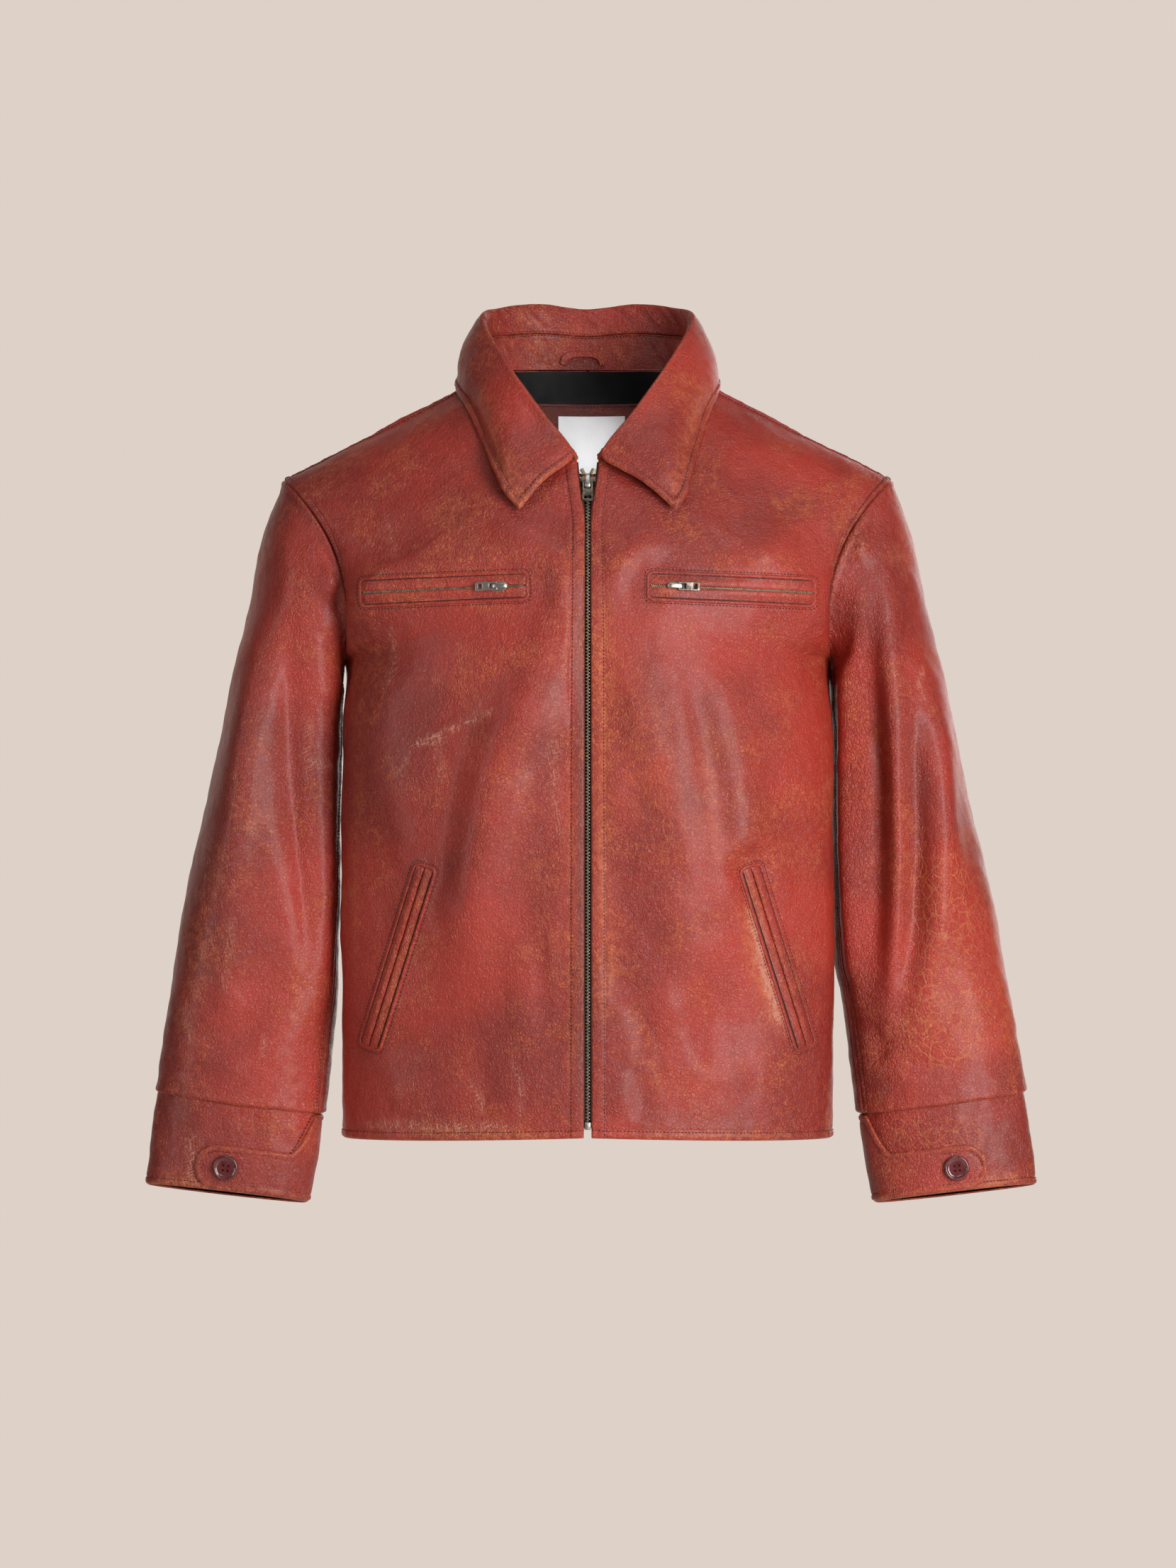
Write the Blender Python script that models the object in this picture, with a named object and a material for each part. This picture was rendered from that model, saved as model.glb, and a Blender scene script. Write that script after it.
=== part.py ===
"""Worn leather zip jacket, filled out as if worn and open at the neck, hem and cuffs.

Every sewn piece is its own hollow wall: a sheet read off one of the form functions below (body, sleeve,
cuff, collar) with a thickness given towards the inside.  The front faces -Y and the wearer's left is +X.
The origin lies at the neck, midway between the two neck ends of the shoulder seams.
Tables are in millimetres.  MM turns them into metres when a mesh is made.
A form is worked out on the +X side and mirrored for the wearer's right.
"""

import math

import bmesh
import bpy
import numpy as np
from mathutils import Matrix, Vector
from mathutils.bvhtree import BVHTree

MM = 0.001
SIDES = {"right": -1, "left": 1}

# ---- driving sizes, millimetres ----
LEATHER = 1.6           # wall of the panels, sleeves and collar
SEAM_GAP = 0.3          # clearance between two pieces
HALF_GAP = SEAM_GAP / 2
HEM_SIDE_Z = -654.0
NECK_ANGLE = 90.0       # from the shoulder seam to the centre front or centre back

# Neck seam: angle from the shoulder seam (- to the front, + to the back), place.
# columns: angle, x, y, z
NECK = (
    (-90, 9.5, -97, -68),
    (-60, 36, -83, -47),
    (-30, 65, -52, -17),
    (0, 82, 0, 11),
    (45, 60, 42, 17),
    (90, 0, 60, 19),
    (135, -60, 42, 17),
)

# Centre front and centre back: drop below the origin, half gap for the zip, depth.
# columns: drop, x, y
CENTRE_FRONT = (
    (-20, 9.5, -58),
    (20, 9.5, -78),
    (68, 9.5, -97),
    (90, 7.2, -110),
    (102, 5.0, -117),
    (118, 3.0, -124),
    (150, 2.5, -137),
    (218, 2.6, -148),
    (300, 2.8, -151),
    (455, 3.0, -147),
    (647, 3.2, -140),
)
CENTRE_BACK = (
    (-19, 0, 60),
    (18, 0, 83),
    (66, 0, 109),
    (124, 0, 128),
    (195, 0, 137),
    (378, 0, 137),
    (659, 0, 131),
)

# How far down the centre line a row starts, against its share down the outer edge.
# columns: share, drop
FRONT_STARTS = ((0.62, 68), (0.72, 102), (0.84, 150), (1.00, 218), (1.20, 300), (1.55, 455), (2.00, 647))
BACK_STARTS = ((0.36, -19), (0.46, 18), (0.62, 66), (0.80, 124), (1.00, 195), (1.40, 378), (2.00, 659))

# Side seam, hidden behind the front's fold: share down the panel, place.
# columns: share, x, y, z
SIDE_SEAM = (
    (1.00, 212, 0, -240),
    (1.20, 202, 2, -318),
    (1.60, 200, 3, -486),
    (2.00, 200, 4, HEM_SIDE_Z),
)

# How a cross-section bends: 0 is straight, 1 a quarter ellipse, more is squarer.  The swell pushes the
# stretch near the side out, which makes the long fold beside the sleeve.
# columns: share, roundness, swell
FRONT_BEND = (
    (0.00, 0.00, 0),
    (0.25, 0.45, 0),
    (0.50, 0.86, 4),
    (0.68, 0.98, 9),
    (0.85, 0.90, 6),
    (1.00, 0.84, 4),
    (1.12, 1.02, 15),
    (1.24, 1.12, 20),
    (1.40, 1.14, 21),
    (2.00, 1.14, 20),
)
BACK_BEND = (
    (0.00, 0.00, 0),
    (0.36, 0.60, 0),
    (0.70, 0.86, 0),
    (0.85, 0.82, -2),
    (1.00, 0.86, -8),
    (1.15, 1.04, -14),
    (1.40, 1.10, -14),
    (2.00, 1.10, -13),
)

# Drape folds of a panel: where each begins and ends (u to the side, v down), half its width, its height.
# columns: top u, top v, foot u, foot v, half width, height
FRONT_FOLDS = (
    (0.18, 0.80, 0.52, 1.95, 0.13, 5.0),
    (0.50, 0.95, 0.82, 1.80, 0.12, 4.0),
    (0.62, 1.30, 0.22, 2.10, 0.13, -3.5),
)
BACK_FOLDS = (
    (0.75, 0.85, 0.35, 1.90, 0.15, 5.0),
    (0.30, 1.20, 0.62, 2.10, 0.14, 4.0),
)

# Armhole: a leaning ring through the shoulder tip and the armpit, bowed in at its middle.
ARMHOLE_TIP = (265.0, -82.0)
ARMHOLE_PIT = (212.0, -240.0)
ARMHOLE_DEPTH = 62.0
ARMHOLE_BOW = 26.0

# Sleeve rings: share down the sleeve, outer and inner side in the front view, depth, bow.
# columns: share, outer x, outer z, inner x, inner z, mid y, half depth, bow
SLEEVE = (
    (0.00, *ARMHOLE_TIP, *ARMHOLE_PIT, 0, ARMHOLE_DEPTH, ARMHOLE_BOW),
    (0.05, 274, -103, 215, -248, 5, 67, 16),
    (0.10, 283, -126, 216.5, -258, 8, 70, 8),
    (0.22, 298, -200, 215, -288, 12, 76, 1),
    (0.36, 312, -272, 214, -332, 10, 76, 0),
    (0.52, 331, -355, 213, -392, 4, 71, 0),
    (0.68, 349, -437, 214, -462, -4, 62, 0),
    (0.87, 366, -545, 220, -557, -13, 50, 0),
    (1.00, 376, -615, 228, -634, -19, 43, 0),
)
# Long folds of a sleeve: ring angle and share at both ends, half its width in degrees, its height.
SLEEVE_FOLDS = (
    (75, 0.04, 40, 0.96, 24, 5.0),
    (110, 0.12, 85, 0.98, 22, -4.0),
    (-60, 0.10, -95, 0.90, 26, 5.0),
)
SLEEVE_SEAM_FRONT = 157.5   # ring angles where the under sleeve meets the top sleeve
SLEEVE_SEAM_BACK = 247.5
LEFT_SWING = 6.0            # the wearer's left sleeve hangs this much wider at its end

# Cuff rings: share down the cuff, outer and inner side, depth, how far its front edge rides up.
# columns: share, outer x, outer z, inner x, inner z, mid y, half depth, front lift
CUFF = (
    (0.0, 372.2, -608, 230.8, -626, -19, 39.2, 0),
    (0.5, 379, -652, 236, -670, -20, 38, 2),
    (1.0, 384, -696, 244, -712, -21, 36, 5),
)

# Collar, from the centre front round to the centre back: angle as on the neck seam, the top of the
# roll, the outer edge of the fall, and how much wider the wearer's left fall stands.
# columns: angle, roll x, roll y, roll z, edge x, edge y, edge z, left wider
COLLAR = (
    (-90, 8.8, -101, -66, 58, -128, -115, 17),
    (-78, 17, -98, -54, 70, -122, -102, 14),
    (-60, 31, -91, -36, 81, -106, -80, 9),
    (-30, 63, -58, 11, 99, -52, -35, 4),
    (0, 88, -4, 58, 116, 2, -1, 0),
    (35, 71, 42, 74, 97, 55, 6, 0),
    (62, 40, 63, 79, 60, 76, 11, 0),
    (90, 0, 70, 75, 0, 83, 13, 0),
    (118, -40, 63, 79, -60, 76, 11, 0),
)
STAND_TOP = 0.56            # height of the double-stitched seam on the stand, as a share up to the roll


# ---- curves and forms ----

def smooth(table, at):
    """Read a smooth curve through a table whose first column is the knot."""
    rows = np.asarray(table, dtype=float)
    knots = rows[:, 0]
    values = rows[:, 1:]
    slopes = np.gradient(values, knots, axis=0)
    row = int(np.clip(np.searchsorted(knots, at) - 1, 0, len(knots) - 2))
    span = knots[row + 1] - knots[row]
    t = (at - knots[row]) / span
    stay = 2 * t ** 3 - 3 * t ** 2 + 1
    leave = (t ** 3 - 2 * t ** 2 + t) * span
    arrive = (t ** 3 - t ** 2) * span
    return (stay * values[row] + leave * slopes[row]
            + (1 - stay) * values[row + 1] + arrive * slopes[row + 1])


def ring(outer, inner, mid_y, half_depth, bow, angle):
    """Point of a leaning ring: 0 at its outer side, 90 in front, 180 at its inner side."""
    turn = math.radians(angle)
    across = math.cos(turn)
    forward = math.sin(turn)
    x = (outer[0] + inner[0]) / 2 + (outer[0] - inner[0]) / 2 * across - bow * forward ** 2
    z = (outer[1] + inner[1]) / 2 + (outer[1] - inner[1]) / 2 * across
    return np.array((x, mid_y - half_depth * forward, z))


def armhole(angle):
    """Point on the armhole seam: 0 at the shoulder tip, 180 at the armpit, by way of the front."""
    return ring(ARMHOLE_TIP, ARMHOLE_PIT, 0, ARMHOLE_DEPTH, ARMHOLE_BOW, angle)


def centre_line(table, drop):
    """Point of the centre front or centre back at a drop below the origin."""
    x, y = smooth(table, drop)
    return np.array((x, y, -drop))


def section(start, end, bend, centre, follow, u):
    """Cross-section of a panel from its start to its outer edge, following the centre line's slope."""
    roundness, swell = bend
    turn = math.radians(90 * u)
    across = (1 - roundness) * u + roundness * math.sin(turn)
    back = (1 - roundness) * u ** 2 + roundness * (1 - math.cos(turn))
    push = swell * 6.75 * u ** 2 * (1 - u)
    x = start[0] + (end[0] - start[0]) * across + push
    z = start[2] + (end[2] - start[2]) * across

    def slope(height):
        return follow * (smooth(centre, -height)[1] - smooth(centre, -start[2])[1])

    y = start[1] + slope(z) + (end[1] - start[1] - slope(end[2])) * back
    return np.array((x, y, z))


def drape(folds, a, b):
    """Total height of the soft folds at a place of a form."""
    total = 0.0
    for top_a, top_b, foot_a, foot_b, half_width, height in folds:
        along = (b - top_b) / (foot_b - top_b)
        if 0 < along < 1:
            offset = (a - top_a - (foot_a - top_a) * along) / half_width
            total += height * math.sin(math.pi * along) * math.exp(-offset ** 2)
    return total


def outer_edge(v, face):
    """Outer edge of a panel: the armhole while v is under 1, then the side seam to the hem at 2."""
    if v <= 1:
        return armhole(face * 180 * v)
    return smooth(SIDE_SEAM, v)


def panel_form(face):
    """Outer face of the front (1) or the back (-1): u to the side, v from the shoulder to the hem."""
    centre = CENTRE_FRONT if face == 1 else CENTRE_BACK
    starts = FRONT_STARTS if face == 1 else BACK_STARTS
    bends = FRONT_BEND if face == 1 else BACK_BEND
    folds = FRONT_FOLDS if face == 1 else BACK_FOLDS
    neck_end = starts[0][0]

    def form(u, v):
        passed = min(v / neck_end, 1.0)
        if passed < 1:
            start = smooth(NECK, -face * NECK_ANGLE * passed)
        else:
            start = centre_line(centre, smooth(starts, v)[0])
        point = section(start, outer_edge(v, face), smooth(bends, v), centre, passed ** 2, u)
        point[1] -= face * drape(folds, u, v)
        return point

    return form


FRONT_FORM = panel_form(1)
BACK_FORM = panel_form(-1)


def sleeve_form(side):
    """Outer face of a sleeve: angle round the ring, share down the sleeve."""
    swing = LEFT_SWING if side == "left" else 0.0

    def form(angle, share):
        outer_x, outer_z, inner_x, inner_z, mid_y, half_depth, bow = smooth(SLEEVE, share)
        shift = swing * share ** 2
        outer = (outer_x + shift, outer_z)
        inner = (inner_x + shift, inner_z)
        near = (angle + 180) % 360 - 180
        height = drape(SLEEVE_FOLDS, near, share)
        away = np.array((math.cos(math.radians(angle)), -math.sin(math.radians(angle)), 0.0))
        return ring(outer, inner, mid_y, half_depth, bow, angle) + away * height

    return form


def cuff_form(side):
    """Outer face of a cuff: angle round the ring, share down the cuff."""
    swing = LEFT_SWING if side == "left" else 0.0

    def form(angle, share):
        outer_x, outer_z, inner_x, inner_z, mid_y, half_depth, lift = smooth(CUFF, share)
        outer = (outer_x + swing, outer_z)
        inner = (inner_x + swing, inner_z)
        point = ring(outer, inner, mid_y, half_depth, 0, angle)
        point[2] += lift * math.sin(math.radians(angle))
        return point

    return form


def normal(form, a, b, low, high):
    """Unit normal of a form at (a, b), from steps kept inside its limits."""
    step_a = (high[0] - low[0]) * 1e-3
    step_b = (high[1] - low[1]) * 1e-3
    along_a = (form(min(a + step_a, high[0]), b) - form(max(a - step_a, low[0]), b))
    along_b = (form(a, min(b + step_b, high[1])) - form(a, max(b - step_b, low[1])))
    cross = np.cross(along_a, along_b)
    return cross / np.linalg.norm(cross)


PANEL_LIMITS = ((0.0, 0.0), (1.0, 2.0))
RING_LIMITS = ((-360.0, 0.0), (720.0, 1.0))


def panel_normal(form, u, v):
    """Outward normal of the front or back form; the two run opposite ways round."""
    facing = -1 if form is FRONT_FORM else 1
    return facing * normal(form, u, v, *PANEL_LIMITS)


def ring_normal(form, angle, share):
    """Outward normal of a sleeve or cuff form."""
    return normal(form, angle, share, *RING_LIMITS)


def mitre(one, other):
    """Direction that gives both walls their thickness where two pieces meet at a seam."""
    total = one + other
    return total / max(1 + float(np.dot(one, other)), 1.0)


def body_normal_at_armhole(angle):
    """Outward normal of the body beside the armhole; the two panels share one at tip and armpit."""
    share = abs(angle) / 180
    front = panel_normal(FRONT_FORM, 0.995, share)
    back = panel_normal(BACK_FORM, 0.995, share)
    if share in (0, 1):
        both = front + back
        return both / np.linalg.norm(both)
    return front if angle > 0 else back


def armhole_rim(angle):
    """Wall direction shared by the body and the sleeve along the armhole seam."""
    return mitre(body_normal_at_armhole(angle), ring_normal(sleeve_form("right"), angle, 0.004))


def armhole_inset(angle, face_normal, towards):
    """Half the seam's clearance, square to the armhole and within the piece's own face."""
    along = armhole(angle + 1) - armhole(angle - 1)
    square = np.cross(face_normal, along)
    square = square / np.linalg.norm(square)
    return square * HALF_GAP * (1 if float(np.dot(square, towards)) > 0 else -1)


# ---- meshes ----

def clear_scene():
    """Remove whatever the file opened with."""
    for item in list(bpy.data.objects):
        bpy.data.objects.remove(item, do_unlink=True)


def material(name, colour, roughness, metallic=0.0):
    """Plain finish of one node."""
    finish = bpy.data.materials.new(name)
    finish.use_nodes = True
    shader = finish.node_tree.nodes["Principled BSDF"]
    shader.inputs["Base Color"].default_value = (*colour, 1.0)
    shader.inputs["Roughness"].default_value = roughness
    shader.inputs["Metallic"].default_value = metallic
    return finish


LEATHER_RED = ((0.33, 0.055, 0.035), 0.42, 0.0)
LEATHER_DARK = ((0.20, 0.035, 0.025), 0.5, 0.0)
BLACK_SATIN = ((0.006, 0.006, 0.008), 0.35, 0.0)
WHITE_LABEL = ((0.82, 0.82, 0.82), 0.7, 0.0)
ZIP_TAPE = ((0.12, 0.03, 0.02), 0.8, 0.0)
DARK_BRASS = ((0.20, 0.15, 0.10), 0.38, 1.0)
BUTTON_GLOSS = ((0.10, 0.012, 0.012), 0.15, 0.0)


def add_node(name, mesh_data, finish, origin=(0, 0, 0)):
    """Link one named node, its mesh already placed relative to the origin given in metres."""
    item = bpy.data.objects.new(name, mesh_data)
    item.location = origin
    mesh_data.materials.append(material(name, *finish))
    bpy.context.collection.objects.link(item)
    return item


def mirrored(points, side):
    """Turn +X side points into metres on the side asked for."""
    placed = np.asarray(points, dtype=float) * MM
    placed[..., 0] *= SIDES[side]
    return placed


def wall(name, outer, inner, finish, closed=False):
    """Closed wall between two grids of points; closed joins the last column to the first."""
    rows, columns = outer.shape[:2]
    shape = bmesh.new()
    faces = {}
    for layer, grid in (("outer", outer), ("inner", inner)):
        faces[layer] = [[shape.verts.new(grid[r][c]) for c in range(columns)] for r in range(rows)]
    spans = columns if closed else columns - 1
    for layer in faces.values():
        for r in range(rows - 1):
            for c in range(spans):
                d = (c + 1) % columns
                shape.faces.new((layer[r][c], layer[r + 1][c], layer[r + 1][d], layer[r][d]))
    out = faces["outer"]
    back = faces["inner"]
    for r in (0, rows - 1):
        for c in range(spans):
            d = (c + 1) % columns
            shape.faces.new((out[r][c], out[r][d], back[r][d], back[r][c]))
    if not closed:
        for c in (0, columns - 1):
            for r in range(rows - 1):
                shape.faces.new((out[r][c], out[r + 1][c], back[r + 1][c], back[r][c]))
    bmesh.ops.remove_doubles(shape, verts=shape.verts, dist=1e-5)
    bmesh.ops.recalc_face_normals(shape, faces=shape.faces)
    data = bpy.data.meshes.new(name)
    shape.to_mesh(data)
    shape.free()
    return add_node(name, data, finish)


def block(name, x_cuts, y_cuts, z_cuts, filled, place, finish):
    """One body made of the filled cells of a box that is cut into slabs along X, Y and Z."""
    shape = bmesh.new()
    corners = {}

    def corner(i, j, k):
        if (i, j, k) not in corners:
            corners[i, j, k] = shape.verts.new((x_cuts[i], y_cuts[j], z_cuts[k]))
        return corners[i, j, k]

    counts = (len(x_cuts) - 1, len(y_cuts) - 1, len(z_cuts) - 1)

    def solid(cell):
        inside = all(0 <= cell[axis] < counts[axis] for axis in range(3))
        if not inside:
            return False
        middle = [(cuts[n] + cuts[n + 1]) / 2 for cuts, n in zip((x_cuts, y_cuts, z_cuts), cell)]
        return filled(*middle)

    for cell in np.ndindex(*counts):
        if not solid(cell):
            continue
        for axis in range(3):
            for way in (0, 1):
                beyond = list(cell)
                beyond[axis] += 2 * way - 1
                if solid(beyond):
                    continue
                loop = []
                for first, second in ((0, 0), (1, 0), (1, 1), (0, 1)):
                    spot = list(cell)
                    spot[axis] += way
                    spot[(axis + 1) % 3] += first
                    spot[(axis + 2) % 3] += second
                    loop.append(corner(*spot))
                shape.faces.new(loop if way else loop[::-1])
    bmesh.ops.recalc_face_normals(shape, faces=shape.faces)
    origin = place.to_translation()
    turn = place.to_3x3().to_4x4()
    data = bpy.data.meshes.new(name)
    shape.to_mesh(data)
    shape.free()
    data.transform(turn @ Matrix.Scale(MM, 4))
    return add_node(name, data, finish, origin)


# ---- what lies on a panel ----

class FineFace:
    """Fine copy of the front's outer face on the +X side, in millimetres, that pieces are laid on."""

    COLUMNS = 36
    ROWS = 90

    def __init__(self, form):
        spots = []
        for row in range(self.ROWS + 1):
            for column in range(self.COLUMNS + 1):
                spots.append(Vector(form(column / self.COLUMNS, 2 * row / self.ROWS)))
        wide = self.COLUMNS + 1
        quads = []
        for row in range(self.ROWS):
            for column in range(self.COLUMNS):
                first = row * wide + column
                quads.append((first, first + wide, first + wide + 1, first + 1))
        self.tree = BVHTree.FromPolygons(spots, quads)

    def ahead(self, x, z):
        """Place and outward normal of the face straight behind a point of the front view."""
        spot, out, _, _ = self.tree.ray_cast(Vector((x, -500, z)), Vector((0, 1, 0)))
        out = np.array(out if out.y < 0 else -out)
        return np.array(spot), out

    def lift(self, point, clearance):
        """Move a point out along the nearest normal until it is clear of the face."""
        spot, out, _, _ = self.tree.find_nearest(Vector(point))
        out = np.array(out)
        if out[1] > 0 or (abs(out[1]) < 0.2 and out[2] < 0):
            out = -out
        short = clearance - float(np.dot(point - np.array(spot), out))
        return point + out * max(short, 0.0)


FRONT_FACE = FineFace(FRONT_FORM)


# ---- body ----

ARMHOLE_STEPS = 8
SIDE_STEPS = 8
PANEL_COLUMNS = 8


def panel_shares():
    """Rows of a panel: even steps round the armhole, then even steps down the side."""
    upper = [step / ARMHOLE_STEPS for step in range(ARMHOLE_STEPS + 1)]
    lower = [1 + (step + 1) / SIDE_STEPS for step in range(SIDE_STEPS)]
    return upper + lower


SHOULDER_RIM = np.array((0.463, 0.0, 0.886))    # square to the shoulder seam, in the seam's own plane
SIDE_RIM = np.array((1.0, 0.0, 0.0))


def panel_grids(form, face):
    """Outer and inner grid of a half panel on the +X side; face is 1 in front and -1 behind."""
    outer = []
    inner = []
    shares = panel_shares()
    for row, v in enumerate(shares):
        outer_row = []
        inner_row = []
        for column in range(PANEL_COLUMNS + 1):
            u = column / PANEL_COLUMNS
            point = form(u, v)
            lean = panel_normal(form, u, v)
            if point[0] == 0:
                lean = np.array((0.0, lean[1], lean[2])) / math.hypot(lean[1], lean[2])
            at_armhole = column == PANEL_COLUMNS and v <= 1
            at_side = column == PANEL_COLUMNS and v > 1
            if row == 0:
                lean = SHOULDER_RIM
                point = point - (0, face * HALF_GAP, 0)
            if at_armhole:
                angle = face * 180 * v
                lean = armhole_rim(angle)
                towards = form(0.9, v + 0.08) - point
                point = point + armhole_inset(angle, body_normal_at_armhole(angle), towards)
            if at_side or (at_armhole and v == 1):
                point = point - (0, face * HALF_GAP, 0)
            if at_side:
                lean = SIDE_RIM
            outer_row.append(point)
            inner_row.append(point - lean * LEATHER)
        outer.append(outer_row)
        inner.append(inner_row)
    return np.array(outer), np.array(inner)


FRONT_GRIDS = panel_grids(FRONT_FORM, 1)
FIRST_ZIP_ROW = 5           # the first row of the front that starts at the zip


def make_fronts():
    """Right and left front, one panel each."""
    outer, inner = FRONT_GRIDS
    for side in SIDES:
        wall(f"front_{side}", mirrored(outer, side), mirrored(inner, side), LEATHER_RED)


def make_back():
    """Back panel: two mirrored halves that share the centre line."""
    outer, inner = panel_grids(BACK_FORM, -1)
    halves = []
    for side in SIDES:
        half = wall(f"back_{side}", mirrored(outer, side), mirrored(inner, side), LEATHER_RED)
        halves.append(half)
    shape = bmesh.new()
    for half in halves:
        shape.from_mesh(half.data)
        bpy.data.objects.remove(half, do_unlink=True)
    first_centre = [face for face in shape.faces if all(abs(v.co.x) < 1e-6 for v in face.verts)]
    bmesh.ops.delete(shape, geom=first_centre, context="FACES_ONLY")
    bmesh.ops.remove_doubles(shape, verts=shape.verts, dist=1e-5)
    bmesh.ops.recalc_face_normals(shape, faces=shape.faces)
    data = bpy.data.meshes.new("back")
    shape.to_mesh(data)
    shape.free()
    add_node("back", data, LEATHER_RED)


# ---- sleeves and cuffs ----

SLEEVE_STEP = 180 / ARMHOLE_STEPS
SLEEVE_CLEARANCE = 1.8      # the sleeve keeps this much more than half a gap, because its rim twists
SLEEVE_ROWS = (0.0, 0.05, 0.12, 0.22, 0.34, 0.46, 0.60, 0.74, 0.88, 1.0)
CUFF_ROWS = (0.0, 0.35, 0.7, 1.0)
CUFF_STEP = 22.5


def sleeve_grids(side, angles):
    """Outer and inner grid of a sleeve piece over the ring angles given."""
    form = sleeve_form(side)
    outer = []
    inner = []
    for row, share in enumerate(SLEEVE_ROWS):
        outer_row = []
        inner_row = []
        for column, angle in enumerate(angles):
            point = form(angle, share)
            lean = ring_normal(form, angle, share)
            if row == 0:
                folded = angle if angle <= 180 else angle - 360
                towards = form(angle, 0.02) - point
                point = point + armhole_inset(folded, lean, towards) * SLEEVE_CLEARANCE
                lean = armhole_rim(folded)
            if column in (0, len(angles) - 1):
                inwards = form(angle + (1 if column == 0 else -1), share) - form(angle, share)
                point = point + inwards / np.linalg.norm(inwards) * HALF_GAP
            outer_row.append(point)
            inner_row.append(point - lean * LEATHER)
        outer.append(outer_row)
        inner.append(inner_row)
    return np.array(outer), np.array(inner)


def make_sleeves():
    """Two-piece sleeves: a top piece all round the outside and a narrow under piece."""
    pieces = {
        "sleeve_top": np.arange(SLEEVE_SEAM_BACK - 360, SLEEVE_SEAM_FRONT + 1, SLEEVE_STEP),
        "sleeve_under": np.arange(SLEEVE_SEAM_FRONT, SLEEVE_SEAM_BACK + 1, SLEEVE_STEP),
    }
    for side in SIDES:
        for name, angles in pieces.items():
            outer, inner = sleeve_grids(side, angles)
            wall(f"{name}_{side}", mirrored(outer, side), mirrored(inner, side), LEATHER_RED)


def make_cuffs():
    """Cuffs: closed bands whose tops are tucked inside the sleeve ends."""
    angles = np.arange(0, 360, CUFF_STEP)
    for side in SIDES:
        form = cuff_form(side)
        outer = np.array([[form(angle, share) for angle in angles] for share in CUFF_ROWS])
        leans = np.array([[ring_normal(form, angle, share) for angle in angles] for share in CUFF_ROWS])
        inner = outer - leans * LEATHER
        wall(f"cuff_{side}", mirrored(outer, side), mirrored(inner, side), LEATHER_RED, closed=True)


TAB_START = 176.0           # cuff angle at the inner side, where the tab begins
TAB_ROUND = 83.0            # cuff angle at the centre of the round end
TAB_TIP = 66.5              # cuff angle of the tip
TAB_MIDDLE = 0.745          # share down the cuff of the strap's centre line
TAB_HALF = 0.235            # half of the strap's height, as a share of the cuff
TAB_SHOULDER = (163.0, 134.0)   # the upper edge drops in a curve between these angles
TAB_TOP = 0.10
TAB_WALL = 1.8


def tab_edges(angle):
    """Upper and lower edge of the tab at a cuff angle, as shares down the cuff."""
    upper = TAB_MIDDLE - TAB_HALF
    lower = TAB_MIDDLE + TAB_HALF
    begin, end = TAB_SHOULDER
    drop = min(max((begin - angle) / (begin - end), 0.0), 1.0)
    ease = drop * drop * (3 - 2 * drop)
    upper = TAB_TOP + (upper - TAB_TOP) * ease
    if angle < TAB_ROUND:
        reach = (TAB_ROUND - angle) / (TAB_ROUND - TAB_TIP)
        half = TAB_HALF * math.sqrt(max(1 - reach ** 2, 0.0))
        upper = TAB_MIDDLE - half
        lower = TAB_MIDDLE + half
    return upper, lower


def tab_angles():
    """Columns of the tab, closer together round its end."""
    strap = list(np.linspace(TAB_START, TAB_ROUND, 12))
    end = [TAB_ROUND - (TAB_ROUND - TAB_TIP) * math.sin(math.radians(t)) for t in (22, 42, 60, 76)]
    return strap + end


TAB_ROWS = 5


def make_cuff_tabs():
    """Tabs: the cuff's own points moved out, cut to the tab's outline."""
    for side in SIDES:
        form = cuff_form(side)
        outer = []
        inner = []
        for step in range(TAB_ROWS):
            outer_row = []
            inner_row = []
            for angle in tab_angles():
                upper, lower = tab_edges(angle)
                share = upper + (lower - upper) * step / (TAB_ROWS - 1)
                lean = ring_normal(form, angle, share)
                base = form(angle, share) + lean * SEAM_GAP
                inner_row.append(base)
                outer_row.append(base + lean * TAB_WALL)
            outer.append(outer_row)
            inner.append(inner_row)
        outer = mirrored(np.array(outer), side)
        inner = mirrored(np.array(inner), side)
        wall(f"cuff_tab_{side}", outer, inner, LEATHER_RED)


BUTTON_ANGLE = 89.0
BUTTON_RADIUS = 11.0
BUTTON_RIM = 8.2
BUTTON_HEIGHT = 3.4
BUTTON_DISH = 2.2
BUTTON_HOLE = 1.1
BUTTON_HOLE_OFFSET = 2.1
BUTTON_SIDES = 24


def button_profile():
    """Half outline of a button with a raised rim: radius and height."""
    return (
        (0.0, 0.0),
        (BUTTON_RADIUS - 1.2, 0.0),
        (BUTTON_RADIUS, 1.1),
        (BUTTON_RADIUS - 0.4, BUTTON_HEIGHT - 0.5),
        (BUTTON_RADIUS - 1.4, BUTTON_HEIGHT),
        (BUTTON_RIM, BUTTON_DISH + 0.3),
        (BUTTON_RIM - 1.4, BUTTON_DISH),
        (0.0, BUTTON_DISH),
    )


def facing_matrix(point, out, down, side):
    """Placement with +Y out of the cloth and -Z along down, for a point on the +X side."""
    y_axis = Vector(mirrored(out, side) / MM).normalized()
    z_axis = -Vector(mirrored(down, side) / MM)
    z_axis = (z_axis - z_axis.project(y_axis)).normalized()
    x_axis = y_axis.cross(z_axis)
    turn = Matrix((x_axis, y_axis, z_axis)).transposed().to_4x4()
    return Matrix.Translation(Vector(mirrored(point, side))) @ turn


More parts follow.
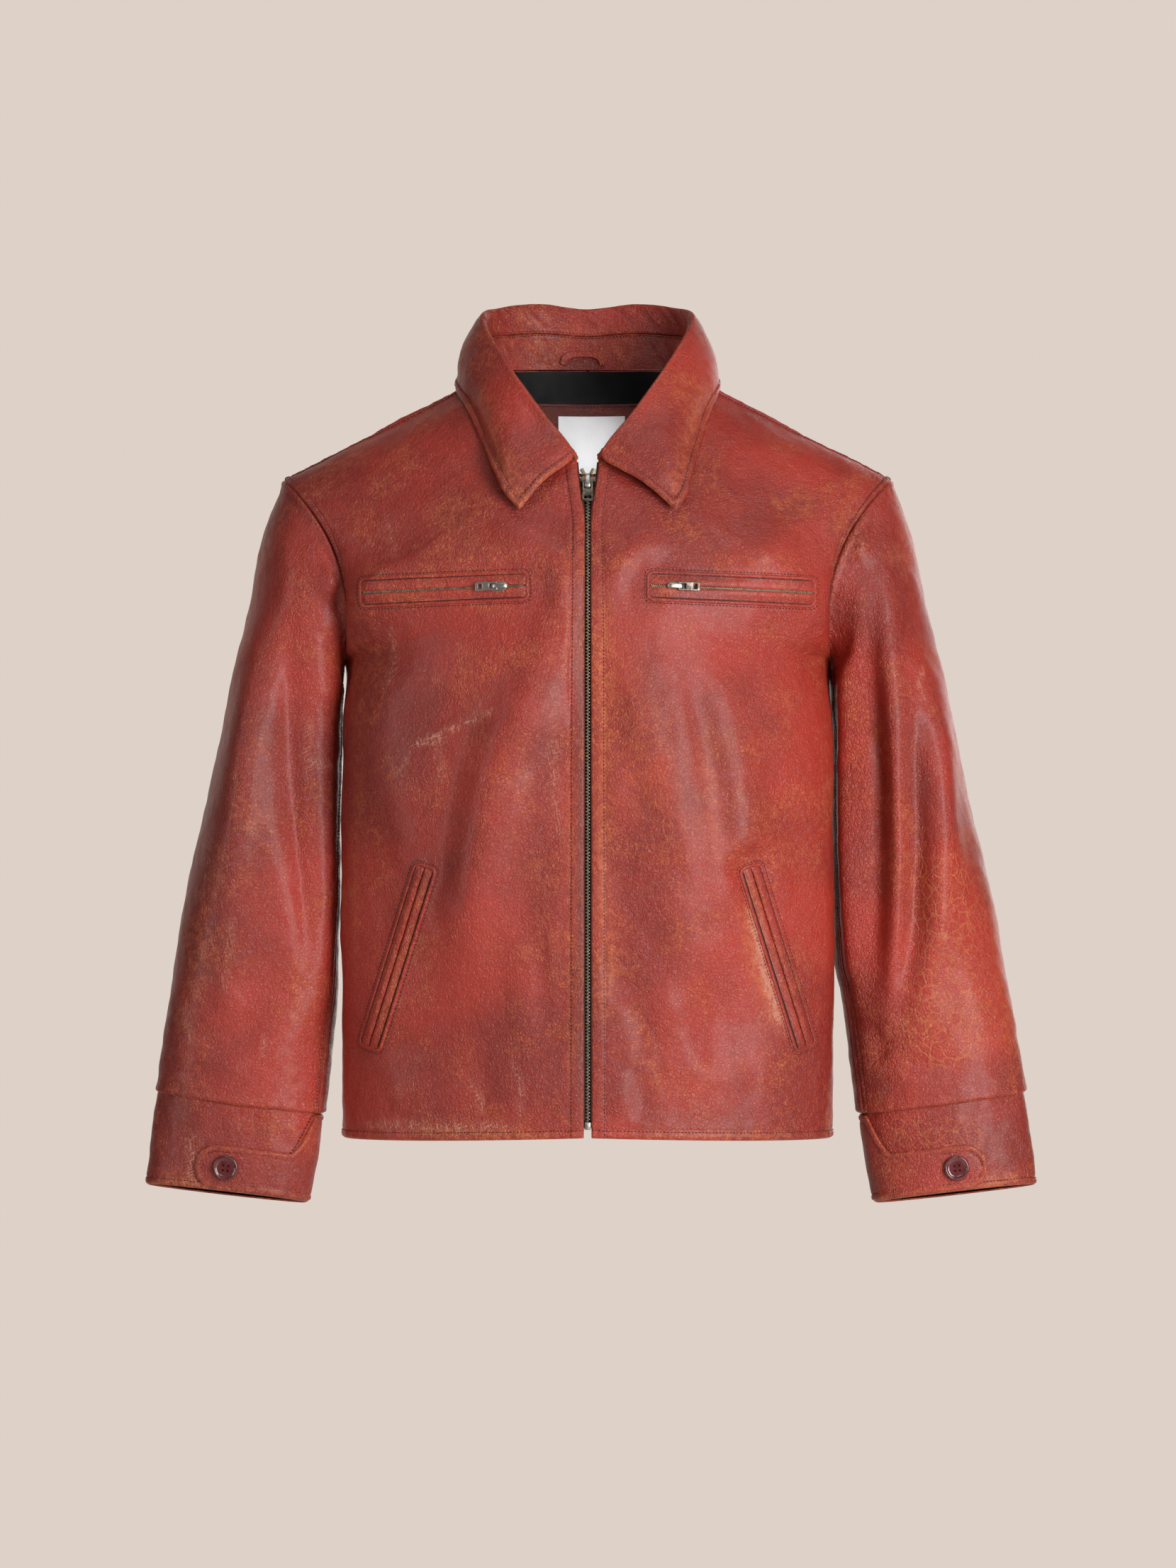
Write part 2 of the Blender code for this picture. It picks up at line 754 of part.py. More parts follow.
def turned(profile, sides):
    """Closed turned body about +Y from a profile of radius and height that ends on the axis."""
    shape = bmesh.new()
    ends = [shape.verts.new((0, height, 0)) for radius, height in profile if radius == 0]
    rings = []
    for radius, height in profile:
        if radius == 0:
            continue
        spots = []
        for step in range(sides):
            turn = 2 * math.pi * step / sides
            spots.append(shape.verts.new((radius * math.cos(turn), height, radius * math.sin(turn))))
        rings.append(spots)
    for lower, upper in zip(rings, rings[1:]):
        for n in range(sides):
            m = (n + 1) % sides
            shape.faces.new((lower[n], lower[m], upper[m], upper[n]))
    for end, spots in ((ends[0], rings[0]), (ends[1], rings[-1])):
        for n in range(sides):
            shape.faces.new((end, spots[n], spots[(n + 1) % sides]))
    bmesh.ops.recalc_face_normals(shape, faces=shape.faces)
    return shape


def make_buttons():
    """Four-hole cuff buttons, sitting on the tabs."""
    for side in SIDES:
        form = cuff_form(side)
        out = ring_normal(form, BUTTON_ANGLE, TAB_MIDDLE)
        point = form(BUTTON_ANGLE, TAB_MIDDLE) + out * (SEAM_GAP + TAB_WALL + SEAM_GAP)
        down = form(BUTTON_ANGLE, 1.0) - form(BUTTON_ANGLE, 0.0)
        place = facing_matrix(point, out, down, side)
        shape = turned(button_profile(), BUTTON_SIDES)
        data = bpy.data.meshes.new(f"cuff_button_{side}")
        shape.to_mesh(data)
        shape.free()
        data.transform(place.to_3x3().to_4x4() @ Matrix.Scale(MM, 4))
        button = add_node(f"cuff_button_{side}", data, BUTTON_GLOSS, place.to_translation())
        cut_button_holes(button, place)


def cut_button_holes(button, place):
    """Cut the four thread holes with one hidden cutter."""
    cutter_shape = bmesh.new()
    for dx in (-BUTTON_HOLE_OFFSET, BUTTON_HOLE_OFFSET):
        for dz in (-BUTTON_HOLE_OFFSET, BUTTON_HOLE_OFFSET):
            spin = Matrix.Translation((dx, BUTTON_DISH / 2, dz)) @ Matrix.Rotation(math.pi / 2, 4, "X")
            bmesh.ops.create_cone(cutter_shape, cap_ends=True, segments=10, radius1=BUTTON_HOLE,
                                  radius2=BUTTON_HOLE, depth=3 * BUTTON_DISH, matrix=spin)
    data = bpy.data.meshes.new(f"{button.name}_cutter")
    cutter_shape.to_mesh(data)
    cutter_shape.free()
    data.transform(place.to_3x3().to_4x4() @ Matrix.Scale(MM, 4))
    cutter = bpy.data.objects.new(f"{button.name}_cutter", data)
    cutter.location = button.location
    cutter.hide_render = True
    cutter.display_type = "WIRE"
    bpy.context.collection.objects.link(cutter)
    cut = button.modifiers.new("holes", "BOOLEAN")
    cut.operation = "DIFFERENCE"
    cut.solver = "EXACT"
    cut.object = cutter


# ---- collar and neck ----

ROLL_RISE = 4.5             # the roll's faces stand this far below its top
ROLL_WIDTH = 8.0            # from the neck side of the roll to its outer side
FALL_BOW = 5.0
FALL_CLEARANCE = 3.6        # from the front's outer face to the fall's outer face
COLLAR_STEPS_FRONT = (-90, -84, -78, -69, -60, -48, -36, -24, -12, 0)
COLLAR_STEPS_BACK = (12, 24, 36, 48, 60, 70, 80, 90)
FALL_ROWS = (0.0, 0.14, 0.26, 0.33, 0.40, 0.50, 0.66, 0.83, 1.0)


def outwards(angle):
    """Level direction away from the neck at an angle of the neck seam."""
    step = 1.0
    along = smooth(NECK, min(angle + step, 100)) - smooth(NECK, max(angle - step, -90))
    away = np.array((-along[1], along[0], 0.0))
    away = -away if away[0] * 1.0 + away[1] * (1 if angle > 0 else -1) < 0 else away
    return away / np.linalg.norm(away)


def collar_lines(angle, side):
    """Neck seam, roll top and outer edge of the fall at an angle."""
    values = smooth(COLLAR, angle)
    base = smooth(NECK, angle)
    roll = values[:3]
    edge = values[3:6]
    if side == "left":
        edge = edge + (values[6], 0, 0)
    return base, roll, edge


def fall_form(side):
    """Visible face of the fall: up the neck side, over the roll and down to the outer edge."""

    def form(angle, t):
        base, roll, edge = collar_lines(angle, side)
        away = outwards(angle)
        neck_face = base + (roll - base) * STAND_TOP
        table = (
            (0.00, *neck_face),
            (0.22, *(roll - (0, 0, ROLL_RISE))),
            (0.33, *(roll + away * ROLL_WIDTH / 2)),
            (0.44, *(roll + away * ROLL_WIDTH - (0, 0, ROLL_RISE))),
            (0.72, *((roll + away * ROLL_WIDTH + edge) / 2 + away * FALL_BOW)),
            (1.00, *edge),
        )
        return smooth(table, t)

    return form


def both_sides(build, steps_right, steps_left):
    """Grid columns from the right front end round the back to the left front end."""
    columns = []
    for angle in steps_right:
        columns.append(mirrored(build("right", angle), "right"))
    for angle in steps_left:
        columns.append(mirrored(build("left", angle), "left"))
    return np.stack(columns, axis=1)


def make_collar_fall():
    """Fall: the folded leaf of the collar, point to point."""
    limits = ((-90.0, 0.0), (100.0, 1.0))

    def column(side, angle, depth):
        form = fall_form(side)
        spots = []
        for t in FALL_ROWS:
            out = normal(form, angle, t, *limits)
            point = form(angle, t)
            if angle < 0 and t > 0.5:
                point = FRONT_FACE.lift(point, FALL_CLEARANCE)
            spots.append(point - out * depth)
        return np.array(spots)

    right = COLLAR_STEPS_FRONT + COLLAR_STEPS_BACK
    left = right[-2::-1]
    outer = both_sides(lambda side, angle: column(side, angle, 0.0), right, left)
    inner = both_sides(lambda side, angle: column(side, angle, LEATHER), right, left)
    wall("collar_fall", outer, inner, LEATHER_RED)


STAND_END = -72.0           # the stand runs out before the fall's front ends


def make_collar_stand():
    """Stand: the band from the neck seam up to the double-stitched seam under the fall."""
    steps = (STAND_END,) + tuple(a for a in COLLAR_STEPS_FRONT + COLLAR_STEPS_BACK if a > STAND_END)

    def column(side, angle, depth):
        base, roll, _ = collar_lines(angle, side)
        top = base + (roll - base) * STAND_TOP
        away = outwards(angle)
        lift = np.array((0, 0, SEAM_GAP + LEATHER * 0.6))
        rise = (top - base) / np.linalg.norm(top - base)
        spots = (base + lift, (base + top) / 2, top - rise * SEAM_GAP)
        return np.array(spots) + away * depth

    left = steps[-2::-1]
    outer = both_sides(lambda side, angle: column(side, angle, 0.0), steps, left)
    inner = both_sides(lambda side, angle: column(side, angle, LEATHER), steps, left)
    wall("collar_stand", outer, inner, LEATHER_RED)


# ---- inside the back neck ----

NECK_STEPS = (30, 42, 54, 66, 71, 80, 90)
LINING_TOP = -1.2           # heights below are measured from the neck seam or from the origin
LINING_FOOT = -11.0
LINING_WALL = 0.8
FACING_FOOT = -78.0
FACING_WALL = 1.2
FACING_SLOPE = 0.16         # the facing leans back this much for each millimetre down
LABEL_STEPS_RIGHT = (71, 80, 90)
LABEL_STEPS_LEFT = (80, 71, 66)
LABEL_HEIGHTS = (-22.0, -47.0, -72.0)
LABEL_WALL = 0.5
NECK_INSET = 3.4            # from the neck seam in to the lining's outer face


def inside_neck(angle, z):
    """Face that hangs inside the back neck at an angle of the neck seam and a height."""
    base = smooth(NECK, angle)
    point = base - outwards(angle) * NECK_INSET
    point[1] += max(LINING_FOOT - z, 0.0) * FACING_SLOPE
    point[2] = z
    return point


def hanging_band(name, finish, right, left, heights, depths):
    """Band inside the neck: heights at an angle, and how far its two faces lie in from the lining."""
    def column(side, angle, depth):
        spots = [inside_neck(angle, z) for z in heights(angle)]
        return np.array(spots) - outwards(angle) * depth

    near, far = depths
    outer = both_sides(lambda side, angle: column(side, angle, near), right, left)
    inner = both_sides(lambda side, angle: column(side, angle, far), right, left)
    wall(name, outer, inner, finish)


def make_neck_inside():
    """Satin band, leather facing below it and the bare white label on the facing."""
    left = NECK_STEPS[-2::-1]

    def band(angle):
        return smooth(NECK, angle)[2] + LINING_TOP, LINING_FOOT

    hanging_band("neck_lining", BLACK_SATIN, NECK_STEPS, left, band, (0.0, LINING_WALL))

    def facing(_):
        top = LINING_FOOT - SEAM_GAP
        return top, (top + FACING_FOOT) / 2, FACING_FOOT

    hanging_band("back_facing", LEATHER_DARK, NECK_STEPS, left, facing, (0.0, FACING_WALL))
    depth = FACING_WALL + SEAM_GAP
    hanging_band("neck_label", WHITE_LABEL, LABEL_STEPS_RIGHT, LABEL_STEPS_LEFT,
                 lambda _: LABEL_HEIGHTS, (depth, depth + LABEL_WALL))


LOOP_CENTRE = -4.0          # across the neck
LOOP_FOOT = 21.0            # height of its two sewn ends
LOOP_OUTER = (20.0, 15.0)
LOOP_INNER = (15.0, 10.0)
LOOP_WALL = 1.4
LOOP_CLEARANCE = 0.7
LOOP_TURNS = range(6, 175, 12)


def stand_depth(x, z):
    """Depth of the stand's neck-side face near the centre back."""
    angle = NECK_ANGLE - abs(x) * 0.75
    base, roll, _ = collar_lines(angle, "right")
    return base[1] + (roll[1] - base[1]) * (z - base[2]) / (roll[2] - base[2])


def make_hanger_loop():
    """Flat leather loop lying on the stand, its ends at the neck seam."""
    faces = []
    for depth in (LOOP_CLEARANCE + LOOP_WALL, LOOP_CLEARANCE):
        rows = []
        for turn in LOOP_TURNS:
            turn = math.radians(turn)
            row = []
            for wide, high in (LOOP_OUTER, LOOP_INNER):
                x = LOOP_CENTRE + wide * math.cos(turn)
                z = LOOP_FOOT + high * math.sin(turn)
                row.append((x, stand_depth(x, z) - depth, z))
            rows.append(row)
        faces.append(mirrored(np.array(rows), "left"))
    wall("hanger_loop", faces[0], faces[1], LEATHER_RED)


# ---- pockets ----

LIP_WALL = 1.0
CHEST_INNER = (53.0, -180.5)    # front view place of the zip's end beside the centre front
CHEST_OUTER = (192.0, -184.5)
CHEST_SLIT = 1.9                # half height of the slit
CHEST_HALF = 10.3               # half height of the whole pocket
CHEST_CHAIN = 1.5
CHAIN_WALL = 0.7
HAND_TOP = (138.0, -419.5)
HAND_FOOT = (186.5, -572.0)
HAND_SLIT = 0.5
HAND_HALF = 8.0
STRIP_STEPS = 9


def laid_strip(name, side, ends, offsets, wall_size, finish):
    """Strip laid on the front between two places of the front view, at offsets square to its line."""
    start = np.array(ends[0])
    line = np.array(ends[1]) - start
    square = np.array((-line[1], line[0])) / np.linalg.norm(line)
    faces = {}
    for face, lift in (("inner", SEAM_GAP), ("outer", SEAM_GAP + wall_size)):
        rows = []
        for step in range(STRIP_STEPS):
            middle = start + line * step / (STRIP_STEPS - 1)
            row = []
            for share in (0.0, 0.5, 1.0):
                offset = offsets[0] + (offsets[1] - offsets[0]) * share
                spot, out = FRONT_FACE.ahead(*(middle + square * offset))
                row.append(spot + out * lift)
            rows.append(row)
        faces[face] = mirrored(np.array(rows), side)
    wall(name, faces["outer"], faces["inner"], finish)


def make_pockets():
    """Two lips a pocket, and the closed zip chain that shows in each chest pocket."""
    chest = (CHEST_INNER, CHEST_OUTER)
    hand = (HAND_TOP, HAND_FOOT)
    for side in SIDES:
        laid_strip(f"chest_lip_upper_{side}", side, chest, (CHEST_SLIT, CHEST_HALF), LIP_WALL, LEATHER_RED)
        laid_strip(f"chest_lip_lower_{side}", side, chest, (-CHEST_SLIT, -CHEST_HALF), LIP_WALL, LEATHER_RED)
        laid_strip(f"chest_chain_{side}", side, chest, (-CHEST_CHAIN, CHEST_CHAIN), CHAIN_WALL, DARK_BRASS)
        laid_strip(f"hand_lip_front_{side}", side, hand, (-HAND_SLIT, -HAND_HALF), LIP_WALL, LEATHER_RED)
        laid_strip(f"hand_lip_back_{side}", side, hand, (HAND_SLIT, HAND_HALF), LIP_WALL, LEATHER_RED)


# ---- zips ----

CHAIN_HALF = 1.9
CHAIN_THICK = 1.8
CHAIN_DEPTH = 2.8           # from the leather's outer face in to the middle of the chain
TAPE_THICK = 0.8
TAPE_EDGE = 2.2
TAPE_WIDTH = 12.0
TAPE_SHOWS = 1.2            # how far the splayed tape reaches past the leather
TAPE_DROPS = (72, 80, 88, 96, 104, 118, 150, 200, 260, 330, 400, 470, 540, 590, 632)
CHAIN_DROPS = (102, 118, 150, 200, 260, 330, 400, 470, 540, 600, 633)
BOX_DROPS = (633.5, 640.0)
BOX_HALF = 2.6
SLIDER_DROP = 95.6          # the main pull's axis, below the origin
AXIS_OUT = 4.2              # from the middle of the chain out to the pull's axis
STOP_PLACE = (4.1, 82.4)
STOP_HALF = (1.7, 1.3, 2.8)
STOP_LEAN = math.radians(25)


def front_gap(drop):
    """Half gap between the two fronts."""
    return smooth(CENTRE_FRONT, drop)[0]


def behind_front(x, drop, depth):
    """Point a depth in from the front panel's outer face, near the zip."""
    outer, inner = FRONT_GRIDS
    drops = -outer[:, 0, 2]
    row = int(np.clip(np.searchsorted(drops, drop) - 1, FIRST_ZIP_ROW, len(drops) - 2))
    share = (drop - drops[row]) / (drops[row + 1] - drops[row])
    edge, beside = (outer[row, c] + (outer[row + 1, c] - outer[row, c]) * share for c in (0, 1))
    lean = (outer[row, 0] - inner[row, 0]) * (1 - share) + (outer[row + 1, 0] - inner[row + 1, 0]) * share
    across = (beside - edge) * (x - edge[0]) / (beside[0] - edge[0])
    return edge + across - lean * depth / LEATHER


def make_main_zip():
    """Tapes behind the fronts, the closed chain between them, its box and its two top stops."""
    for side in SIDES:
        faces = []
        for depth in (CHAIN_DEPTH - TAPE_THICK / 2, CHAIN_DEPTH + TAPE_THICK / 2):
            rows = []
            for drop in TAPE_DROPS:
                near = max(TAPE_EDGE, front_gap(drop) - TAPE_SHOWS)
                far = near + TAPE_WIDTH
                rows.append([behind_front(x, drop, depth) for x in (near, (near + far) / 2, far)])
            faces.append(mirrored(np.array(rows), side))
        wall(f"zip_tape_{side}", faces[0], faces[1], ZIP_TAPE)
    for name, drops, half, thick in (
        ("zip_chain", CHAIN_DROPS, CHAIN_HALF, CHAIN_THICK),
        ("zip_box", BOX_DROPS, BOX_HALF, CHAIN_THICK + 0.4),
    ):
        faces = []
        for depth in (CHAIN_DEPTH - thick / 2, CHAIN_DEPTH + thick / 2):
            rows = []
            for drop in drops:
                middle = behind_front(0.0, drop, depth)
                rows.append([middle + (x, 0, 0) for x in (-half, half)])
            faces.append(np.array(rows) * MM)
        wall(name, faces[0], faces[1], DARK_BRASS)
    for side in SIDES:
        x, drop = STOP_PLACE
        spot = mirrored(behind_front(x, drop, CHAIN_DEPTH), side)
        turn = Matrix.Rotation(STOP_LEAN * SIDES[side], 4, "Y")
        cuts = [(-half, half) for half in STOP_HALF]
        place = Matrix.Translation(Vector(spot)) @ turn
        block(f"zip_stop_{side}", *cuts, lambda x, y, z: True, place, DARK_BRASS)


# A slider and its pull are drawn about the pull's axis: X along the axis, +Y out of the cloth, and the
# pull hangs towards -Z.
SLIDER_X = (-1.0, -0.62, -0.355, -0.226, 0.226, 0.355, 0.62, 1.0)     # shares of the slider's half width
SLIDER_Z = (-5.5, -4.0, -1.9, 3.0, 6.6, 7.6, 9.9)
SLIDER_NECK = 0.62          # share of its width that the slider keeps below its shoulders
POST_SHARE = 0.226
SLIDER_PLATE = (-3.0, -1.8)
SLIDER_BACK = (-6.6, -5.4)
BRIDGE_TOP = (1.0, 2.0)
PULL_Z = (-18.3, -16.0, -12.6, -6.1, -0.7, 0.7)
PULL_HOLE = 0.59            # share of the pull's half width
PULL_HALF_THICK = 0.6
MAIN_HALF = 6.2
CHEST_SLIDER_HALF = 4.0
MAIN_PULL_HALF = 4.8
CHEST_PULL_HALF = 3.8


def slider_filled(half, bridge_half, with_back):
    """Which parts of the slider's box are metal: plate, bridge for the pull, and post and back plate."""
    window_low, window_high = SLIDER_Z[2], SLIDER_Z[4]

    def filled(x, y, z):
        narrow = with_back and z < SLIDER_Z[3]
        on_plate = z < SLIDER_Z[5] and abs(x) < half * (SLIDER_NECK if narrow else 1.0)
        if SLIDER_PLATE[0] < y < SLIDER_PLATE[1]:
            return on_plate or abs(x) < bridge_half
        if y > SLIDER_PLATE[1]:
            inside_window = y < BRIDGE_TOP[0] and window_low < z < window_high
            return abs(x) < bridge_half and z > SLIDER_Z[1] and not inside_window
        if not with_back:
            return False
        if y < SLIDER_BACK[1]:
            return on_plate
        return abs(x) < half * POST_SHARE and SLIDER_Z[4] < z < SLIDER_Z[5]

    return filled


def make_slider(name, place, half, with_back):
    """Slider with a bridge over the pull's bar."""
    bridge_half = half * 0.355 if with_back else half * 0.5
    x_cuts = [share * half for share in SLIDER_X]
    if not with_back:
        x_cuts = [-half, -bridge_half, bridge_half, half]
    y_cuts = list(SLIDER_PLATE + BRIDGE_TOP)
    if with_back:
        y_cuts = list(SLIDER_BACK) + y_cuts
    block(name, x_cuts, y_cuts, SLIDER_Z, slider_filled(half, bridge_half, with_back), place, DARK_BRASS)


def make_pull(name, place, half):
    """Pull tab: a bar under the bridge, two arms, a plate and a square eye."""
    hole = half * PULL_HOLE

    def filled(x, y, z):
        beside_bridge = PULL_Z[3] < z < PULL_Z[4]
        in_eye = PULL_Z[1] < z < PULL_Z[2]
        return abs(x) > hole or not (beside_bridge or in_eye)

    x_cuts = (-half, -hole, hole, half)
    y_cuts = (-PULL_HALF_THICK, PULL_HALF_THICK)
    block(name, x_cuts, y_cuts, PULL_Z, filled, place, DARK_BRASS)


CHEST_AXIS = 76.0           # across the front view, where the chest pulls turn
CHEST_AXIS_LIFT = SEAM_GAP + LIP_WALL + SEAM_GAP - SLIDER_PLATE[0]


def make_sliders():
    """Main slider and pull, then the two chest sliders, whose pulls point away from the zip."""
    axis = behind_front(0.0, SLIDER_DROP, CHAIN_DEPTH - AXIS_OUT)
    low = behind_front(0.0, SLIDER_DROP + 5, CHAIN_DEPTH)
    high = behind_front(0.0, SLIDER_DROP - 5, CHAIN_DEPTH)
    out = np.cross((1.0, 0.0, 0.0), low - high)
    out = out / np.linalg.norm(out) * (-1 if out[1] > 0 else 1)
    place = facing_matrix(axis, out, low - high, "left")
    make_slider("zip_slider", place, MAIN_HALF, True)
    make_pull("zip_pull", place, MAIN_PULL_HALF)
    line = np.array(CHEST_OUTER) - np.array(CHEST_INNER)
    share = (CHEST_AXIS - CHEST_INNER[0]) / line[0]
    middle = np.array(CHEST_INNER) + line * share
    spot, out = FRONT_FACE.ahead(*middle)
    along = FRONT_FACE.ahead(*(middle + line * 0.1))[0] - spot
    for side in SIDES:
        place = facing_matrix(spot + out * CHEST_AXIS_LIFT, out, along, side)
        make_slider(f"chest_slider_{side}", place, CHEST_SLIDER_HALF, False)
        make_pull(f"chest_pull_{side}", place, CHEST_PULL_HALF)


def main():
    """Make every node."""
    clear_scene()
    make_fronts()
    make_back()
    make_sleeves()
    make_cuffs()
    make_cuff_tabs()
    make_buttons()
    make_collar_fall()
    make_collar_stand()
    make_neck_inside()
    make_hanger_loop()
    make_pockets()
    make_main_zip()
    make_sliders()


main()
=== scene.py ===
"""Looks of the worn leather zip jacket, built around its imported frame.

The jacket stands filled out with nobody in it.  Its front faces -Y and the wearer's left is +X.  Every
panel is a fine sheet laid on the same form as its solid, with the folds, seams and stitch rows of a worn
hide worked into it, and a wall given to it towards the inside.  Sizes are in millimetres; MM turns them
into metres when a mesh is made.
"""

import sys

import logging
import math
from dataclasses import dataclass, field
from enum import Enum
from typing import Callable, ClassVar, Iterable, Optional, Sequence

import bmesh
import bpy
import numpy as np
from mathutils import Matrix, Vector
from mathutils.bvhtree import BVHTree

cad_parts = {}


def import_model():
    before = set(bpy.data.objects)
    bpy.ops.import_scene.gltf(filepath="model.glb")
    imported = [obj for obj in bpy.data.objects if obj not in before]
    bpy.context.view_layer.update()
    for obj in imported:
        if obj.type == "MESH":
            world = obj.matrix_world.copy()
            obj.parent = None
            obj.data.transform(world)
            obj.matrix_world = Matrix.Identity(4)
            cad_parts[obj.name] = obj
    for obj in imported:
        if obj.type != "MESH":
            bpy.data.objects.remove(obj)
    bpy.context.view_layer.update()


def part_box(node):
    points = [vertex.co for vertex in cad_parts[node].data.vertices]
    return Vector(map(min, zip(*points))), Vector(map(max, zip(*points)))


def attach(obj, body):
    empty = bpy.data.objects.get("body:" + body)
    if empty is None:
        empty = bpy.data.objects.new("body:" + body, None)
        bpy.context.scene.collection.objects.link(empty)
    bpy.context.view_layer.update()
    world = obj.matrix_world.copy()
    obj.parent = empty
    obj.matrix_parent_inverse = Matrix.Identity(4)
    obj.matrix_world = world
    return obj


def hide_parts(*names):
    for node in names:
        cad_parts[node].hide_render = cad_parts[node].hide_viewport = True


LOG = logging.getLogger("jacket")
MM = 0.001
BODY = "jacket"
MID_BODY = np.array((60, 0, -350))      # a point in the hollow of either half of the body

Array = np.ndarray
Material = bpy.types.Material
Piece = bpy.types.Object
Shape = bmesh.types.BMesh


class Side(Enum):
    """Half of the jacket, as the wearer has it; the value is the sign of X."""

    RIGHT = -1
    LEFT = 1

    @property
    def word(self) -> str:
        """Name of the side as the nodes spell it."""
        return self.name.lower()


# ---- curves ----

def unit(vectors: Array) -> Array:
    """Vectors brought to a length of 1."""
    return vectors / np.linalg.norm(vectors, axis=-1, keepdims=True)


def passed_along(points: Array) -> Array:
    """Distance passed at each point of a line."""
    return np.concatenate(((0,), np.cumsum(np.linalg.norm(np.diff(points, axis=0), axis=1))))


def bend(ends: tuple, slopes: tuple, t: Array, span: Array) -> Array:
    """Cubic between two values with given slopes, at shares t of a span."""
    stay = 2 * t ** 3 - 3 * t ** 2 + 1
    leave = (t ** 3 - 2 * t ** 2 + t) * span
    arrive = (t ** 3 - t ** 2) * span
    return stay * ends[0] + leave * slopes[0] + (1 - stay) * ends[1] + arrive * slopes[1]


@dataclass(frozen=True)
class Curve:
    """Smooth curve through a table whose first column is the knot."""

    rows: tuple

    def at(self, where: Array) -> Array:
        """Read the curve.

        Args:
            where: knots to read at, of any shape.

        Returns:
            The other columns, along a new last axis.
        """
        table = np.asarray(self.rows, dtype=float)
        knots = table[:, 0]
        values = table[:, 1:]
        slopes = np.gradient(values, knots, axis=0)
        where = np.asarray(where, dtype=float)
        row = np.clip(np.searchsorted(knots, where) - 1, 0, len(knots) - 2)
        span = (knots[row + 1] - knots[row])[..., None]
        t = (where - knots[row])[..., None] / span
        return bend((values[row], values[row + 1]), (slopes[row], slopes[row + 1]), t, span)


def ease(low: float, high: float, where: Array) -> Array:
    """Smooth step from 0 at low to 1 at high."""
    t = np.clip((where - low) / (high - low), 0, 1)
    return t * t * (3 - 2 * t)


def bell(offset: Array, half_width: float) -> Array:
    """Soft bump of height 1 about an offset of 0."""
    return np.exp(-(offset / half_width) ** 2)


def ripple(where: Array, pitch: float, seed: float) -> Array:
    """Uneven wave along a seam, from about -1 to 1, the same on every run."""
    turn = 2 * math.pi * where / pitch
    return (np.sin(turn + seed) + 0.7 * np.sin(turn * 0.61 + 2.3 * seed)
            + 0.5 * np.sin(turn * 1.73 + 4.1 * seed)) / 2.2


# ---- the form of the garment: the same tables as its solids ----

# Neck seam: angle from the shoulder seam (- to the front, + to the back), x, y, z.
NECK = Curve((
    (-90, 9.5, -97, -68), (-60, 36, -83, -47), (-30, 65, -52, -17), (0, 82, 0, 11),
    (45, 60, 42, 17), (90, 0, 60, 19), (135, -60, 42, 17)))

# Centre front and centre back: drop below the origin, half gap for the zip, y.
CENTRE_FRONT = Curve((
    (-20, 9.5, -58), (20, 9.5, -78), (68, 9.5, -97), (90, 7.2, -110), (102, 5.0, -117), (118, 3.0, -124),
    (150, 2.5, -137), (218, 2.6, -148), (300, 2.8, -151), (455, 3.0, -147), (647, 3.2, -140)))
CENTRE_BACK = Curve((
    (-19, 0, 60), (18, 0, 83), (66, 0, 109), (124, 0, 128), (195, 0, 137), (378, 0, 137), (659, 0, 131)))

# How far down the centre line a row starts, against its share down the outer edge.
FRONT_STARTS = Curve(((0.62, 68), (0.72, 102), (0.84, 150), (1.0, 218), (1.2, 300), (1.55, 455), (2.0, 647)))
BACK_STARTS = Curve(((0.36, -19), (0.46, 18), (0.62, 66), (0.8, 124), (1.0, 195), (1.4, 378), (2.0, 659)))

# Side seam behind the front's fold: share down the panel, x, y, z.
SIDE_SEAM = Curve(((1.0, 212, 0, -240), (1.2, 202, 2, -318), (1.6, 200, 3, -486), (2.0, 200, 4, -654)))

# How a cross-section bends: share, roundness, swell beside the side seam.
FRONT_BEND = Curve((
    (0.0, 0.0, 0), (0.25, 0.45, 0), (0.5, 0.86, 4), (0.68, 0.98, 9), (0.85, 0.9, 6), (1.0, 0.84, 4),
    (1.12, 1.02, 15), (1.24, 1.12, 20), (1.4, 1.14, 21), (2.0, 1.14, 20)))
BACK_BEND = Curve((
    (0.0, 0.0, 0), (0.36, 0.6, 0), (0.7, 0.86, 0), (0.85, 0.82, -2), (1.0, 0.86, -8), (1.15, 1.04, -14),
    (1.4, 1.1, -14), (2.0, 1.1, -13)))

# Drape of a form: where each soft fold begins and ends (across, down), half its width, its height.
FRONT_DRAPE = ((0.18, 0.80, 0.52, 1.95, 0.13, 5.0), (0.50, 0.95, 0.82, 1.80, 0.12, 4.0),
               (0.62, 1.30, 0.22, 2.10, 0.13, -3.5))
BACK_DRAPE = ((0.75, 0.85, 0.35, 1.90, 0.15, 5.0), (0.30, 1.20, 0.62, 2.10, 0.14, 4.0))
SLEEVE_DRAPE = ((75, 0.04, 40, 0.96, 24, 5.0), (110, 0.12, 85, 0.98, 22, -4.0),
                (-60, 0.10, -95, 0.90, 26, 5.0))

# Sleeve rings: share down, outer x and z, inner x and z, middle y, half depth, bow.
SLEEVE = Curve((
    (0.00, 265, -82, 212, -240, 0, 62, 26), (0.05, 274, -103, 215, -248, 5, 67, 16),
    (0.10, 283, -126, 216.5, -258, 8, 70, 8), (0.22, 298, -200, 215, -288, 12, 76, 1),
    (0.36, 312, -272, 214, -332, 10, 76, 0), (0.52, 331, -355, 213, -392, 4, 71, 0),
    (0.68, 349, -437, 214, -462, -4, 62, 0), (0.87, 366, -545, 220, -557, -13, 50, 0),
    (1.00, 376, -615, 228, -634, -19, 43, 0)))
LEFT_SWING = 6.0            # the wearer's left sleeve hangs this much wider at its end

